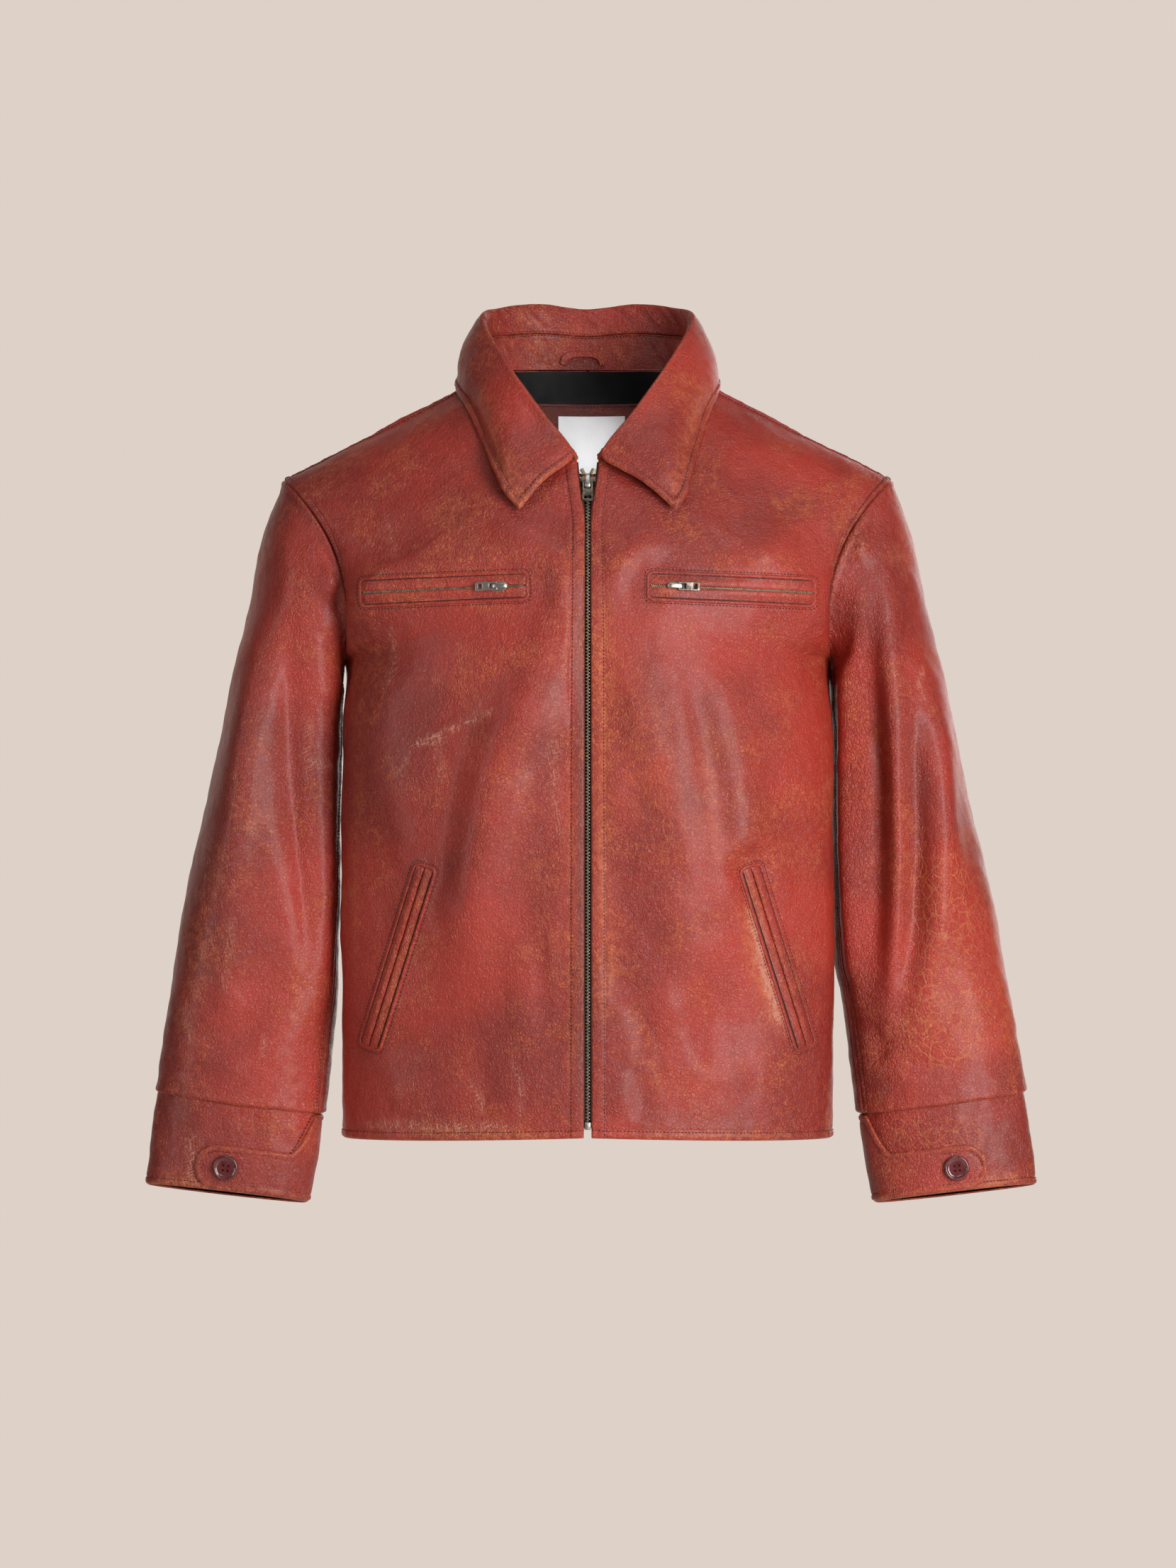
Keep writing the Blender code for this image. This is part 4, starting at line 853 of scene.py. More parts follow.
@dataclass(frozen=True)
class Hide:
    """Waxed red hide, crackled, rubbed through to orange tan and scratched."""

    name: str
    red: tuple = (0.410, 0.032, 0.018)
    deep: tuple = (0.215, 0.018, 0.012)
    umber: tuple = (0.165, 0.021, 0.014)
    ember: tuple = (0.56, 0.140, 0.048)
    tan: tuple = (0.56, 0.25, 0.17)
    crackle: float = 1.0        # how much of the finish is crackled
    pebble: float = 0.80        # grain cells for each millimetre
    roughness: float = 0.32
    worn: bool = True           # whether the pieces carry wear attributes

    def material(self) -> Material:
        """Make the finish."""
        mix = Recipe(self.name)
        here = mix.here
        dark, rub, crack, scuff = (
            mix.attribute(kind.value) if self.worn else 0.0
            for kind in (Wear.DARK, Wear.RUB, Wear.CRACK, Wear.SCUFF))
        broad = mix.noise(here, 0.0065, 3.0, 0.55)
        cloud = mix.noise(mix.moved((310, 40, 90)), 0.021, 4.0, 0.6)
        mottle = mix.noise(mix.moved((70, 20, 10)), 0.16, 4.0, 0.65)
        fleck = mix.noise(here, 1.1, 3.0, 0.6)

        tone = (broad.between(0.36, 0.62) * 0.75 + mottle.between(0.30, 0.70) * 0.25)
        colour = mix.mix(tone, self.deep, self.red)
        # the dark attribute darkens towards umber: the hide's dark patches, and painted shade where marks
        # stand in for shade
        colour = mix.mix(dark * 1.3 if self.worn else 0.0, colour, self.umber)

        # fine crackle: thin tan-orange lines where the finish has opened
        fine_edge = mix.cell_edges(mix.warped(here, 0.16, 5.0), 0.27)
        finer_edge = mix.cell_edges(mix.warped(here, 0.5, 2.0), 0.66)
        lines = (fine_edge.between(0.050, 0.0) * 0.9 + finer_edge.between(0.06, 0.0) * 0.6).clamped()
        broken = mottle.between(0.42, 0.60)
        patches = cloud.between(0.47, 0.66)
        worn = (patches * 0.90 * self.crackle + rub * 1.0 + 0.14).clamped()
        colour = mix.mix((lines * worn * (broken * 0.7 + 0.3)).clamped(), colour, self.ember)
        glow = patches * broken * 0.20 + rub * (broken * 0.60 + 0.18)
        colour = mix.mix(glow.clamped(), colour, self.ember)

        # dry pale scratches: hairlines of two directions inside the painted strokes
        hairs = mix.hairlines(0.45, (0.20, 1.0, 2.2)).over(mix.hairlines(-1.35, (0.16, 1.0, 2.0)))
        abraded = scuff.between(0.62, 0.92) * mottle.between(0.38, 0.52) if self.worn else 0.0
        scratched = (scuff * (hairs * 1.7 + 0.12) + abraded * 0.6).clamped()
        colour = mix.mix(scratched * 0.85, colour, self.tan)
        colour = mix.mix(fleck.between(0.60, 0.80) * 0.12, colour, self.umber)

        # relief: fine pebbled grain, creases between small cells, open cracks, soft crumple
        grain = mix.cell_edges(mix.warped(here, 0.6, 1.0), self.pebble).between(0.0, 0.30)
        pores = mix.noise(here, 2.3, 2.0)
        creases = mix.cell_edges(mix.warped(here, 0.13, 6.0), 0.30).between(0.0, 0.20)
        open_cells = mix.cell_edges(mix.warped(here, 0.07, 9.0), 0.105).between(0.0, 0.10)
        creased = (mottle.between(0.30, 0.62) * 0.5 + cloud.between(0.40, 0.62) * 0.5)
        crumple = mix.noise(mix.warped(mix.moved((5, 9, 2)), 0.05, 12.0), 0.20, 3.0, 0.60)
        relief = (grain * 0.16 + pores * 0.10 + creases * (creased * 0.36 + 0.14) + open_cells * crack * 0.50
                  + crumple * 1.20 - lines * worn * 0.05 - scratched * 0.05)
        # darker in the hollows of creases, grain and cracks: painted shade in these hollows, and also the
        # darker colour of the open cracks
        sunk = (1 - creases) * (creased * 0.16 + 0.03) + (1 - open_cells) * crack * 0.45 + (1 - grain) * 0.05
        colour = mix.mix(sunk.clamped(), colour, self.deep)
        opened = (1 - open_cells) * (crack.between(0.25, 0.8) * 0.6) if self.worn else 0.0
        colour = mix.mix(opened, colour, self.ember)
        rough = (mottle * 0.14 + (self.roughness - 0.10) + lines * worn * 0.18 + scratched * 0.25
                 + (1 - grain) * 0.10 - crack * 0.06)
        swell = mix.noise(mix.moved((15, 0, 50)), 0.055, 3.0, 0.5)
        base = mix.bump(swell, 1.2)
        return mix.finish(Base_Color=colour, Roughness=rough.clamped(), Normal=mix.bump(relief, 1.0, base),
                          Coat_Weight=0.12, Coat_Roughness=0.26, Specular_IOR_Level=0.50)


@dataclass(frozen=True)
class Weave:
    """Woven cloth: satin lining, label or zip tape."""

    name: str
    colour: tuple
    other: tuple
    roughness: float
    pitch: float            # millimetres from thread to thread
    depth: float = 0.08
    shine: float = 0.5

    def material(self) -> Material:
        """Make the finish on the piece's own weave chart."""
        mix = Recipe(self.name)
        chart = mix.node("ShaderNodeUVMap", {"uv_map": "weave"}, {})
        turns = 2 * math.pi / (self.pitch * MM)
        split = mix.node("ShaderNodeSeparateXYZ", {}, {0: chart})
        across = mix.node("ShaderNodeMath", {"operation": "SINE"}, {0: split * turns})
        down = Term(mix, split.socket.node.outputs["Y"]) * turns
        along = mix.node("ShaderNodeMath", {"operation": "SINE"}, {0: down})
        threads = across * along * 0.5 + 0.5
        cloud = mix.noise(mix.here, 0.06, 3.0)
        colour = mix.mix((threads * 0.5 + cloud.between(0.3, 0.7) * 0.5).clamped(), self.colour, self.other)
        rough = cloud * 0.2 + (self.roughness - 0.1)
        return mix.finish(Base_Color=colour, Roughness=rough, Normal=mix.bump(threads, self.depth),
                          Specular_IOR_Level=self.shine)


@dataclass(frozen=True)
class Metal:
    """Zip metal, tarnished dark and bright where it is rubbed."""

    name: str
    dark: tuple
    bright: tuple
    rubbed: float           # 0 is tarnished all over, 1 is bright all over
    roughness: float = 0.32

    def material(self) -> Material:
        """Make the finish."""
        mix = Recipe(self.name)
        cloud = mix.noise(mix.here, 0.35, 4.0, 0.6)
        speck = mix.noise(mix.here, 2.6, 2.0, 0.5)
        shine = (cloud.between(0.35, 0.65) * 0.45 + (self.rubbed - 0.2)).clamped()
        colour = mix.mix(shine, self.dark, self.bright)
        rough = (1 - shine) * 0.18 + speck * 0.14 + (self.roughness - 0.1)
        return mix.finish(Base_Color=colour, Roughness=rough, Metallic=1.0, Normal=mix.bump(speck, 0.02))


@dataclass(frozen=True)
class Gloss:
    """Polished button or plain thread."""

    name: str
    colour: tuple
    other: tuple
    roughness: float
    coat: float = 0.0
    scale: float = 0.12
    depth: float = 0.01

    def material(self) -> Material:
        """Make the finish."""
        mix = Recipe(self.name)
        cloud = mix.noise(mix.warped(mix.here, 0.1, 6.0), self.scale, 4.0, 0.6)
        speck = mix.noise(mix.here, 1.8, 2.0)
        colour = mix.mix(cloud.between(0.35, 0.68), self.colour, self.other)
        rough = speck * 0.1 + self.roughness
        return mix.finish(Base_Color=colour, Roughness=rough, Coat_Weight=self.coat,
                          Normal=mix.bump(speck, self.depth))


def made(look: "Hide | Weave | Metal | Gloss") -> Material:
    """Field that makes its finish when the finishes are made."""
    return field(default_factory=look.material)


@dataclass
class Finishes:
    """Every finish of the jacket, made once."""

    leather: Material = made(Hide("worn_red_hide"))
    inner_leather: Material = made(Hide(
        "facing_hide", red=(0.20, 0.035, 0.022), deep=(0.12, 0.022, 0.016), crackle=0.25, roughness=0.5,
        worn=False))
    # dark finish of the thin strips of painted shade in the pocket gaps
    umber: Material = made(Gloss(
        "shaded_hide_edge", (0.045, 0.009, 0.006), (0.075, 0.015, 0.010), 0.7))
    satin: Material = made(Weave(
        "black_satin", (0.0035, 0.0035, 0.004), (0.007, 0.007, 0.008), 0.55, 0.5, 0.02, 0.12))
    label: Material = made(Weave(
        "white_label_weave", (0.90, 0.90, 0.92), (0.96, 0.96, 0.97), 0.72, 0.6, 0.05))
    tape: Material = made(Weave(
        "zip_tape_weave", (0.030, 0.010, 0.008), (0.075, 0.020, 0.014), 0.8, 0.8, 0.12))
    thread: Material = made(Gloss(
        "dark_thread", (0.020, 0.005, 0.004), (0.045, 0.011, 0.008), 0.75))
    tape_plain: Material = made(Gloss(
        "pocket_zip_ground", (0.018, 0.007, 0.006), (0.032, 0.011, 0.008), 0.75))
    brass: Material = made(Metal(
        "top_stop_brass", (0.10, 0.070, 0.040), (0.50, 0.39, 0.25), 0.55, 0.34))
    dark_brass: Material = made(Metal(
        "dark_brass", (0.045, 0.036, 0.030), (0.26, 0.22, 0.18), 0.40, 0.34))
    teeth: Material = made(Metal(
        "rubbed_brass", (0.040, 0.030, 0.022), (0.50, 0.41, 0.30), 0.55, 0.28))
    pewter: Material = made(Metal(
        "bright_pewter", (0.16, 0.15, 0.135), (0.62, 0.58, 0.52), 0.60, 0.36))
    button: Material = made(Gloss(
        "polished_button", (0.085, 0.016, 0.018), (0.135, 0.028, 0.030), 0.12, 0.4, 0.15, 0.005))


# ---- small parts that repeat ----

def new_piece(name: str, shape: Shape, finish: Material, sharp: float = 35.0,
              place: Optional[Matrix] = None) -> Piece:
    """Turn a shape into a linked piece, moved to its place and shaded smooth up to an angle."""
    if place is not None:
        bmesh.ops.transform(shape, matrix=place, verts=shape.verts)
    bmesh.ops.recalc_face_normals(shape, faces=shape.faces)
    data = bpy.data.meshes.new(name)
    shape.to_mesh(data)
    shape.free()
    return settle(linked(data, finish), sharp)


def rounded(piece: Piece, width: float) -> None:
    """Round every sharp edge of a piece by a width in millimetres."""
    bevel = piece.modifiers.new("rounded", "BEVEL")
    bevel.width = width * MM
    bevel.segments = 3
    bevel.limit_method = "ANGLE"
    bevel.angle_limit = math.radians(40)
    settle(piece)


def drilled(piece: Piece, cutter: Piece) -> None:
    """Cut another piece's shape out of a piece, and clear the other away."""
    cut = piece.modifiers.new("holes", "BOOLEAN")
    cut.operation = "DIFFERENCE"
    cut.object = cutter
    settle(piece, 40)
    bpy.data.objects.remove(cutter, do_unlink=True)


@dataclass
class Repeat:
    """One small shape set down many times as a single piece."""

    name: str
    shape: Shape        # in millimetres: X along the row, Z out of the surface
    finish: Material

    def build(self, spots: Array, along: Array, out: Array) -> Piece:
        """Set the shape down.

        Args:
            spots: places in millimetres.
            along: direction of the row at each place.
            out: direction away from the surface at each place.
        """
        self.shape.verts.index_update()
        corners = np.array([vertex.co[:] for vertex in self.shape.verts])
        faces = np.array([[vertex.index for vertex in face.verts] for face in self.shape.faces], dtype=object)
        self.shape.free()
        x_axis = unit(along)
        y_axis = unit(np.cross(out, x_axis))
        z_axis = np.cross(x_axis, y_axis)
        turned = (corners[None, :, 0:1] * x_axis[:, None] + corners[None, :, 1:2] * y_axis[:, None]
                  + corners[None, :, 2:3] * z_axis[:, None])
        placed = (spots[:, None] + turned).reshape(-1, 3) * MM
        every = [[index + n * len(corners) for index in face] for n in range(len(spots)) for face in faces]
        data = bpy.data.meshes.new(self.name)
        data.from_pydata(placed.tolist(), [], every)
        return settle(linked(data, self.finish), 60)


def read_rows(points: Array, rows: Array) -> Array:
    """Rows of a table at row numbers with fractions."""
    index = np.arange(len(points))
    return np.stack([np.interp(rows, index, points[:, n]) for n in range(3)], axis=1)


def even_walk(points: Array, pitch: float) -> tuple[Array, Array, Array]:
    """Even steps along a line of points.

    Args:
        points: the line.
        pitch: length of a step.

    Returns:
        The places, their directions, and the row numbers (with fractions) they were read at.
    """
    passed = passed_along(points)
    count = max(int(passed[-1] / pitch), 2)
    wanted = (np.arange(count) + 0.5) * passed[-1] / count
    rows = np.interp(wanted, passed, np.arange(len(points)))
    return read_rows(points, rows), read_rows(points, rows + 0.5) - read_rows(points, rows - 0.5), rows


@dataclass
class Stitching:
    """Rows of stitches gathered into one piece."""

    name: str
    finish: Material
    pitch: float = 3.1
    length: float = 2.2
    thick: float = 0.92
    sink: float = 0.05
    rows: list = field(default_factory=list)

    def add(self, points: Array, normals: Array) -> None:
        """Take in one row, given as a line and the surface's normals along it."""
        if len(points) < 3:
            return
        spots, along, rows = even_walk(points, self.pitch)
        out = unit(read_rows(normals, rows))
        self.rows.append((spots - out * self.sink, along, out))

    def build(self) -> Piece:
        """Make the piece."""
        shape = bmesh.new()
        bmesh.ops.create_uvsphere(shape, u_segments=6, v_segments=4, radius=0.5)
        turn = Matrix.Rotation(math.pi / 2, 4, "Y")
        bmesh.ops.transform(shape, matrix=turn, verts=shape.verts)
        bmesh.ops.scale(shape, vec=(self.length, self.thick, self.thick), verts=shape.verts)
        spots, along, out = (np.concatenate([row[n] for row in self.rows]) for n in range(3))
        return Repeat(self.name, shape, self.finish).build(spots, along, out)


def boxed(shape: Shape, low: Sequence[float], high: Sequence[float], bevel: float = 0.0,
          segments: int = 2) -> list:
    """Add a box between two corners to a shape, its edges rounded by a bevel; gives back its vertices."""
    low, high = Vector(low), Vector(high)
    place = Matrix.Translation((low + high) / 2) @ Matrix.Diagonal((*(high - low), 1))
    before = set(shape.verts)
    made = bmesh.ops.create_cube(shape, size=1.0, matrix=place)
    if bevel:
        edges = list({edge for vertex in made["verts"] for edge in vertex.link_edges})
        bmesh.ops.bevel(shape, geom=edges, offset=bevel, offset_type="OFFSET", segments=segments, profile=0.5,
                        affect="EDGES", material=-1, clamp_overlap=True)
    return [vertex for vertex in shape.verts if vertex not in before]


def swept(shape: Shape, path: Array, out: Array, half_width: float, half_thick: float,
          sides: int = 10, closed: bool = False) -> None:
    """Add a rounded bar of oval section along a path.

    Args:
        shape: what it is added to.
        path: points in the shape's own units.
        out: direction that the section's thin side faces at each point.
        half_width: half of the section along the surface.
        half_thick: half of the section along out.
        sides: corners of the section.
        closed: whether the path meets itself.
    """
    along = np.gradient(path, axis=0)
    if closed:
        along[0] = along[-1] = path[1] - path[-2]
    across = unit(np.cross(along, out))
    turns = 2 * np.pi * np.arange(sides) / sides
    loops = []
    stations = len(path) - 1 if closed else len(path)
    for n in range(stations):
        circle = bmesh.ops.create_circle(shape, segments=sides, radius=1.0)["verts"]
        for vertex, turn in zip(circle, turns):
            vertex.co = (path[n] + across[n] * half_width * math.cos(turn)
                         + out[n] * half_thick * math.sin(turn))
        loops.append(circle)
    pairs = list(zip(loops, loops[1:] + loops[:1])) if closed else list(zip(loops, loops[1:]))
    for one, other in pairs:
        for n in range(sides):
            shape.faces.new((one[n], one[(n + 1) % sides], other[(n + 1) % sides], other[n]))
    if not closed:
        shape.faces.new(loops[0][::-1])
        shape.faces.new(loops[-1])


@dataclass(frozen=True)
class PocketPlace:
    """Where a zipped pocket lies on a front, as (x, z) of its ends on the +X side."""

    start: tuple
    end: tuple
    half: float             # half width of its frame
    clear: tuple            # folds run out between these distances from its middle line


CHEST_POCKET = PocketPlace((53, -180.5), (192, -184.5), 10.3, (13, 34))
HAND_POCKET = PocketPlace((138, -419.5), (186.5, -572), 8.0, (8, 26))


@dataclass(frozen=True)
class Cut:
    """Flat size of a cloth piece before it was sewn, in metres, and how it is held."""

    width: float
    length: float
    area: float
    held: str = "hung"
    rests_on: tuple = ()


def declare(piece: Piece, nodes: Sequence[str],
            body: str = BODY) -> Piece:
    """Attach a piece to the body it rides on, hide the parts of the frame that it stands for, and log its
    triangle count.
    """
    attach(piece, body)
    if nodes:
        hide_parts(*nodes)
    triangles = sum(len(face.vertices) - 2 for face in piece.data.polygons)
    LOG.info("%s: %d triangles", piece.name, triangles)
    return piece


def sew(shell: Shell, node: str) -> Piece:
    return declare(shell.build(), (node,))


class Ground:
    """Surface of finished lattices that smaller pieces are laid on."""

    def __init__(self, lattices: Sequence[Lattice]) -> None:
        """Take in the lattices as they stand now."""
        spots, quads = [], []
        for lattice in lattices:
            rows, columns = lattice.a.shape
            first = len(spots)
            spots.extend(Vector(spot) for spot in lattice.points.reshape(-1, 3))
            index = np.arange(rows * columns).reshape(rows, columns) + first
            quads.extend(zip(index[:-1, :-1].ravel(), index[1:, :-1].ravel(), index[1:, 1:].ravel(),
                             index[:-1, 1:].ravel()))
        self.tree = BVHTree.FromPolygons(spots, [tuple(int(n) for n in quad) for quad in quads])

    def ahead(self, x: float, z: float) -> tuple[Array, Array]:
        """Place and outward normal of the surface straight behind a point of the front."""
        spot, out, _, _ = self.tree.ray_cast(Vector((x, -500, z)), Vector((0, 1, 0)))
        out = np.array(out if out.y < 0 else -out)
        return np.array(spot), out

    def lift(self, point: Array, clearance: float) -> Array:
        """A point moved out until it is clear of the surface."""
        spot, out, _, _ = self.tree.find_nearest(Vector(point))
        out = np.array(out)
        if out[1] > 0 or (abs(out[1]) < 0.2 and out[2] < 0):
            out = -out
        short = clearance - float(np.dot(point - np.array(spot), out))
        return point + out * max(short, 0.0)

    def lay(self, places: Array) -> tuple[Array, Array]:
        """Places and normals of the surface behind many (x, z) points."""
        found = [self.ahead(x, z) for x, z in places.reshape(-1, 2)]
        spots = np.array([spot for spot, _ in found]).reshape(*places.shape[:-1], 3)
        outs = np.array([out for _, out in found]).reshape(*places.shape[:-1], 3)
        return spots, outs


# ---- fronts and back ----

# Folds in the front or back view, their rows as fold_rows reads them.
RIGHT_FRONT_FOLDS = fold_rows(
    (20, 16, 9.6, -6, -150, -23, -206, -41, -247, -63, -296, -81, -340, -90, -385, -99, -430, -106, -480,
     -116, -560), (10, 7, 2.4, -10, -330, -20, -400, -30, -480, -34, -570),
    (13, 16, -2.6, -84, -235, -106, -290, -122, -350, -130, -420, -138, -500),
    (7, 8, -1.8, -10, -300, -18, -400, -24, -500, -26, -600),
    (6, 7, 2.2, -59, -468, -56, -512, -54, -555, -52, -590), (5, 6, -1.8, -44, -462, -40, -515, -38, -575),
    (14, 18, -2.6, -195, -150, -165, -140, -120, -132, -80, -128),
    (14, 9, 4.4, -96, -128, -60, -142, -30, -168, -12, -200), (6, 7, -2.4, -60, -112, -36, -124, -16, -146),
    (15, 18, 2.6, -190, -215, -175, -290, -168, -370, -170, -420),
    (13, 14, 1.9, -140, -250, -142, -330, -150, -400, -158, -460),
    (12, 12, -1.6, -205, -560, -150, -585, -90, -600), (6, 8, 1.6, -130, -560, -122, -600, -118, -640),
    (5, 7, -1.4, -95, -570, -90, -610, -92, -645), (5, 5, 1.2, -70, -600, -66, -625, -70, -650),
)
LEFT_FRONT_FOLDS = fold_rows(
    (24, 13, 8.0, 26, -180, 36, -240, 50, -300, 64, -360, 78, -420, 90, -480, 98, -550),
    (9, 6, 2.8, 66, -240, 80, -290, 90, -340, 98, -390, 104, -440),
    (20, 12, 7.4, 100, -205, 110, -260, 122, -320, 132, -380, 140, -440, 144, -500),
    (8, 7, -2.6, 84, -205, 96, -260, 108, -320, 118, -380, 126, -440),
    (14, 12, 3.0, 143, -245, 160, -300, 178, -360, 190, -410),
    (12, 12, 1.8, 172, -200, 182, -250, 196, -310),
    (9, 10, -2.6, 30, -300, 44, -335, 62, -394, 88, -456, 112, -500),
    (14, 14, 3.2, 14, -260, 28, -340, 48, -400, 70, -470, 90, -560),
    (13, 9, -3.6, 205, -90, 174, -96, 143, -121, 112, -152, 96, -165),
    (11, 14, 2.6, 112, -96, 150, -120, 190, -160), (9, 12, 4.2, 84, -122, 54, -134, 30, -158, 16, -190),
    (7, 6, -2.2, 58, -112, 38, -122, 20, -142), (8, 10, -2.4, 22, -480, 32, -520, 52, -560, 60, -600),
    (9, 11, 2.0, 60, -500, 76, -550, 88, -610), (8, 10, -2.0, 110, -500, 118, -560, 114, -620),
    (10, 10, 1.4, 70, -580, 100, -600, 160, -606), (5, 6, 1.6, 24, -590, 32, -615, 26, -645),
    (5, 6, -1.4, 44, -600, 50, -625, 46, -648),
)
BACK_FOLDS = fold_rows(
    (20, 26, -3.6, -150, -110, -90, -150, 0, -162, 90, -150, 150, -110),
    (13, 18, 5.0, -190, -160, -150, -230, -110, -330, -90, -430),
    (18, 13, 4.8, 190, -170, 158, -240, 120, -320, 104, -440),
    (12, 16, 3.9, -40, -240, -34, -330, -48, -430, -44, -540),
    (14, 12, 3.6, 36, -270, 44, -360, 34, -470, 50, -590), (9, 9, -3.4, -70, -260, -66, -350, -78, -460),
    (9, 9, -3.1, 80, -300, 78, -390, 90, -480), (12, 12, -2.8, 0, -380, -6, -470, 4, -580),
    (14, 12, 3.1, -170, -420, -150, -500, -160, -600), (12, 14, 2.8, 165, -400, 150, -500, 158, -610),
    (12, 14, -2.2, -120, -560, -60, -590, 0, -580),
)

# Wear of the body, in the same views, with one line of painted shade beside the zip.
RIGHT_FRONT_WEAR = mark_rows(
    dark=(
        (34, 0.30, -190, -120, -150, -150, -90, -130), (30, 0.20, -150, -260, -140, -380, -160, -480),
        (26, 0.26, -200, -560, -150, -600, -120, -640), (14, 0.30, -28, -240, -40, -340, -52, -440),
        # painted shade: a dark line beside the zip, where the right front's edge lies in shade
        (4.5, 0.75, -6, -160, -6, -400, -6, -650)),
    rub=(
        (4, 0.55, -128, -184, -90, -193, -66, -196), (5, 0.30, -14, -300, -15, -440, -14, -620),
        (5, 0.55, -150, -652, -90, -655, -30, -654), (5, 0.25, -200, -300, -204, -420, -203, -520)),
    scuff=(
        (5.0, 0.55, -196, -645, -130, -648, -60, -648), (6.0, 0.30, -28, -262, -30, -330, -26, -400),
        (2.2, 0.85, -142, -309, -118, -299, -82, -284), (2.0, 0.6, -153, -313, -132, -311, -116, -306),
        (2.6, 0.7, -132, -318, -127, -332, -126, -345), (2.2, 0.6, -166, -342, -160, -330, -158, -318),
        (3.0, 0.55, -172, -210, -168, -240, -176, -262), (2.2, 0.4, -176, -110, -172, -130, -168, -150),
        (5.0, 0.25, -76, -345, -60, -352, -48, -330), (3.0, 0.5, -66, -590, -58, -610, -60, -640),
        (3.5, 0.5, -106, -606, -96, -614, -92, -636)),
    crack=((18, 0.25, -30, -280, -40, -380, -44, -480), (26, 0.35, -150, -580, -100, -600, -50, -610),),
)
LEFT_FRONT_WEAR = mark_rows(
    crack=((48, 0.50, 50, -260, 80, -360, 70, -480), (34, 0.35, 120, -240, 150, -330, 150, -420),),
    rub=(
        (22, 0.30, 18, -220, 34, -300, 60, -380), (8, 0.75, 13, -175, 13, -300, 14, -420, 15, -560),
        (9, 0.80, 138, -450, 150, -505, 167, -560), (9, 0.30, 100, -300, 108, -360, 112, -420),
        (4, 0.45, 40, -655, 100, -656, 180, -655)),
    scuff=(
        (5.5, 1.0, 143, -455, 153, -508, 169, -562), (2.4, 0.45, 128, -350, 134, -362, 142, -366),
        (2.4, 0.35, 60, -570, 58, -600, 66, -620)),
    dark=(
        (14, 0.35, 100, -262, 118, -330, 136, -400), (12, 0.30, 46, -225, 76, -305, 96, -380),
        (16, 0.32, 22, -600, 60, -640, 150, -645), (16, 0.25, 200, -100, 150, -118, 110, -150)),
)
BACK_WEAR = mark_rows(
    crack=((50, 0.45, -60, -220, -40, -340, -70, -460), (46, 0.40, 70, -260, 90, -400, 60, -520),),
    dark=((26, 0.28, -120, -130, 0, -160, 120, -130), (30, 0.40, -180, -560, -60, -620, 120, -610),),
    rub=((16, 0.30, -150, -90, -60, -70, 60, -72, 150, -92), (5, 0.55, -180, -654, 0, -658, 180, -654),),
    scuff=(
        (2.6, 0.6, -96, -250, -70, -262, -44, -258), (2.4, 0.5, 60, -370, 84, -352, 110, -356),
        (3.0, 0.5, -130, -480, -124, -510, -112, -540)),
)


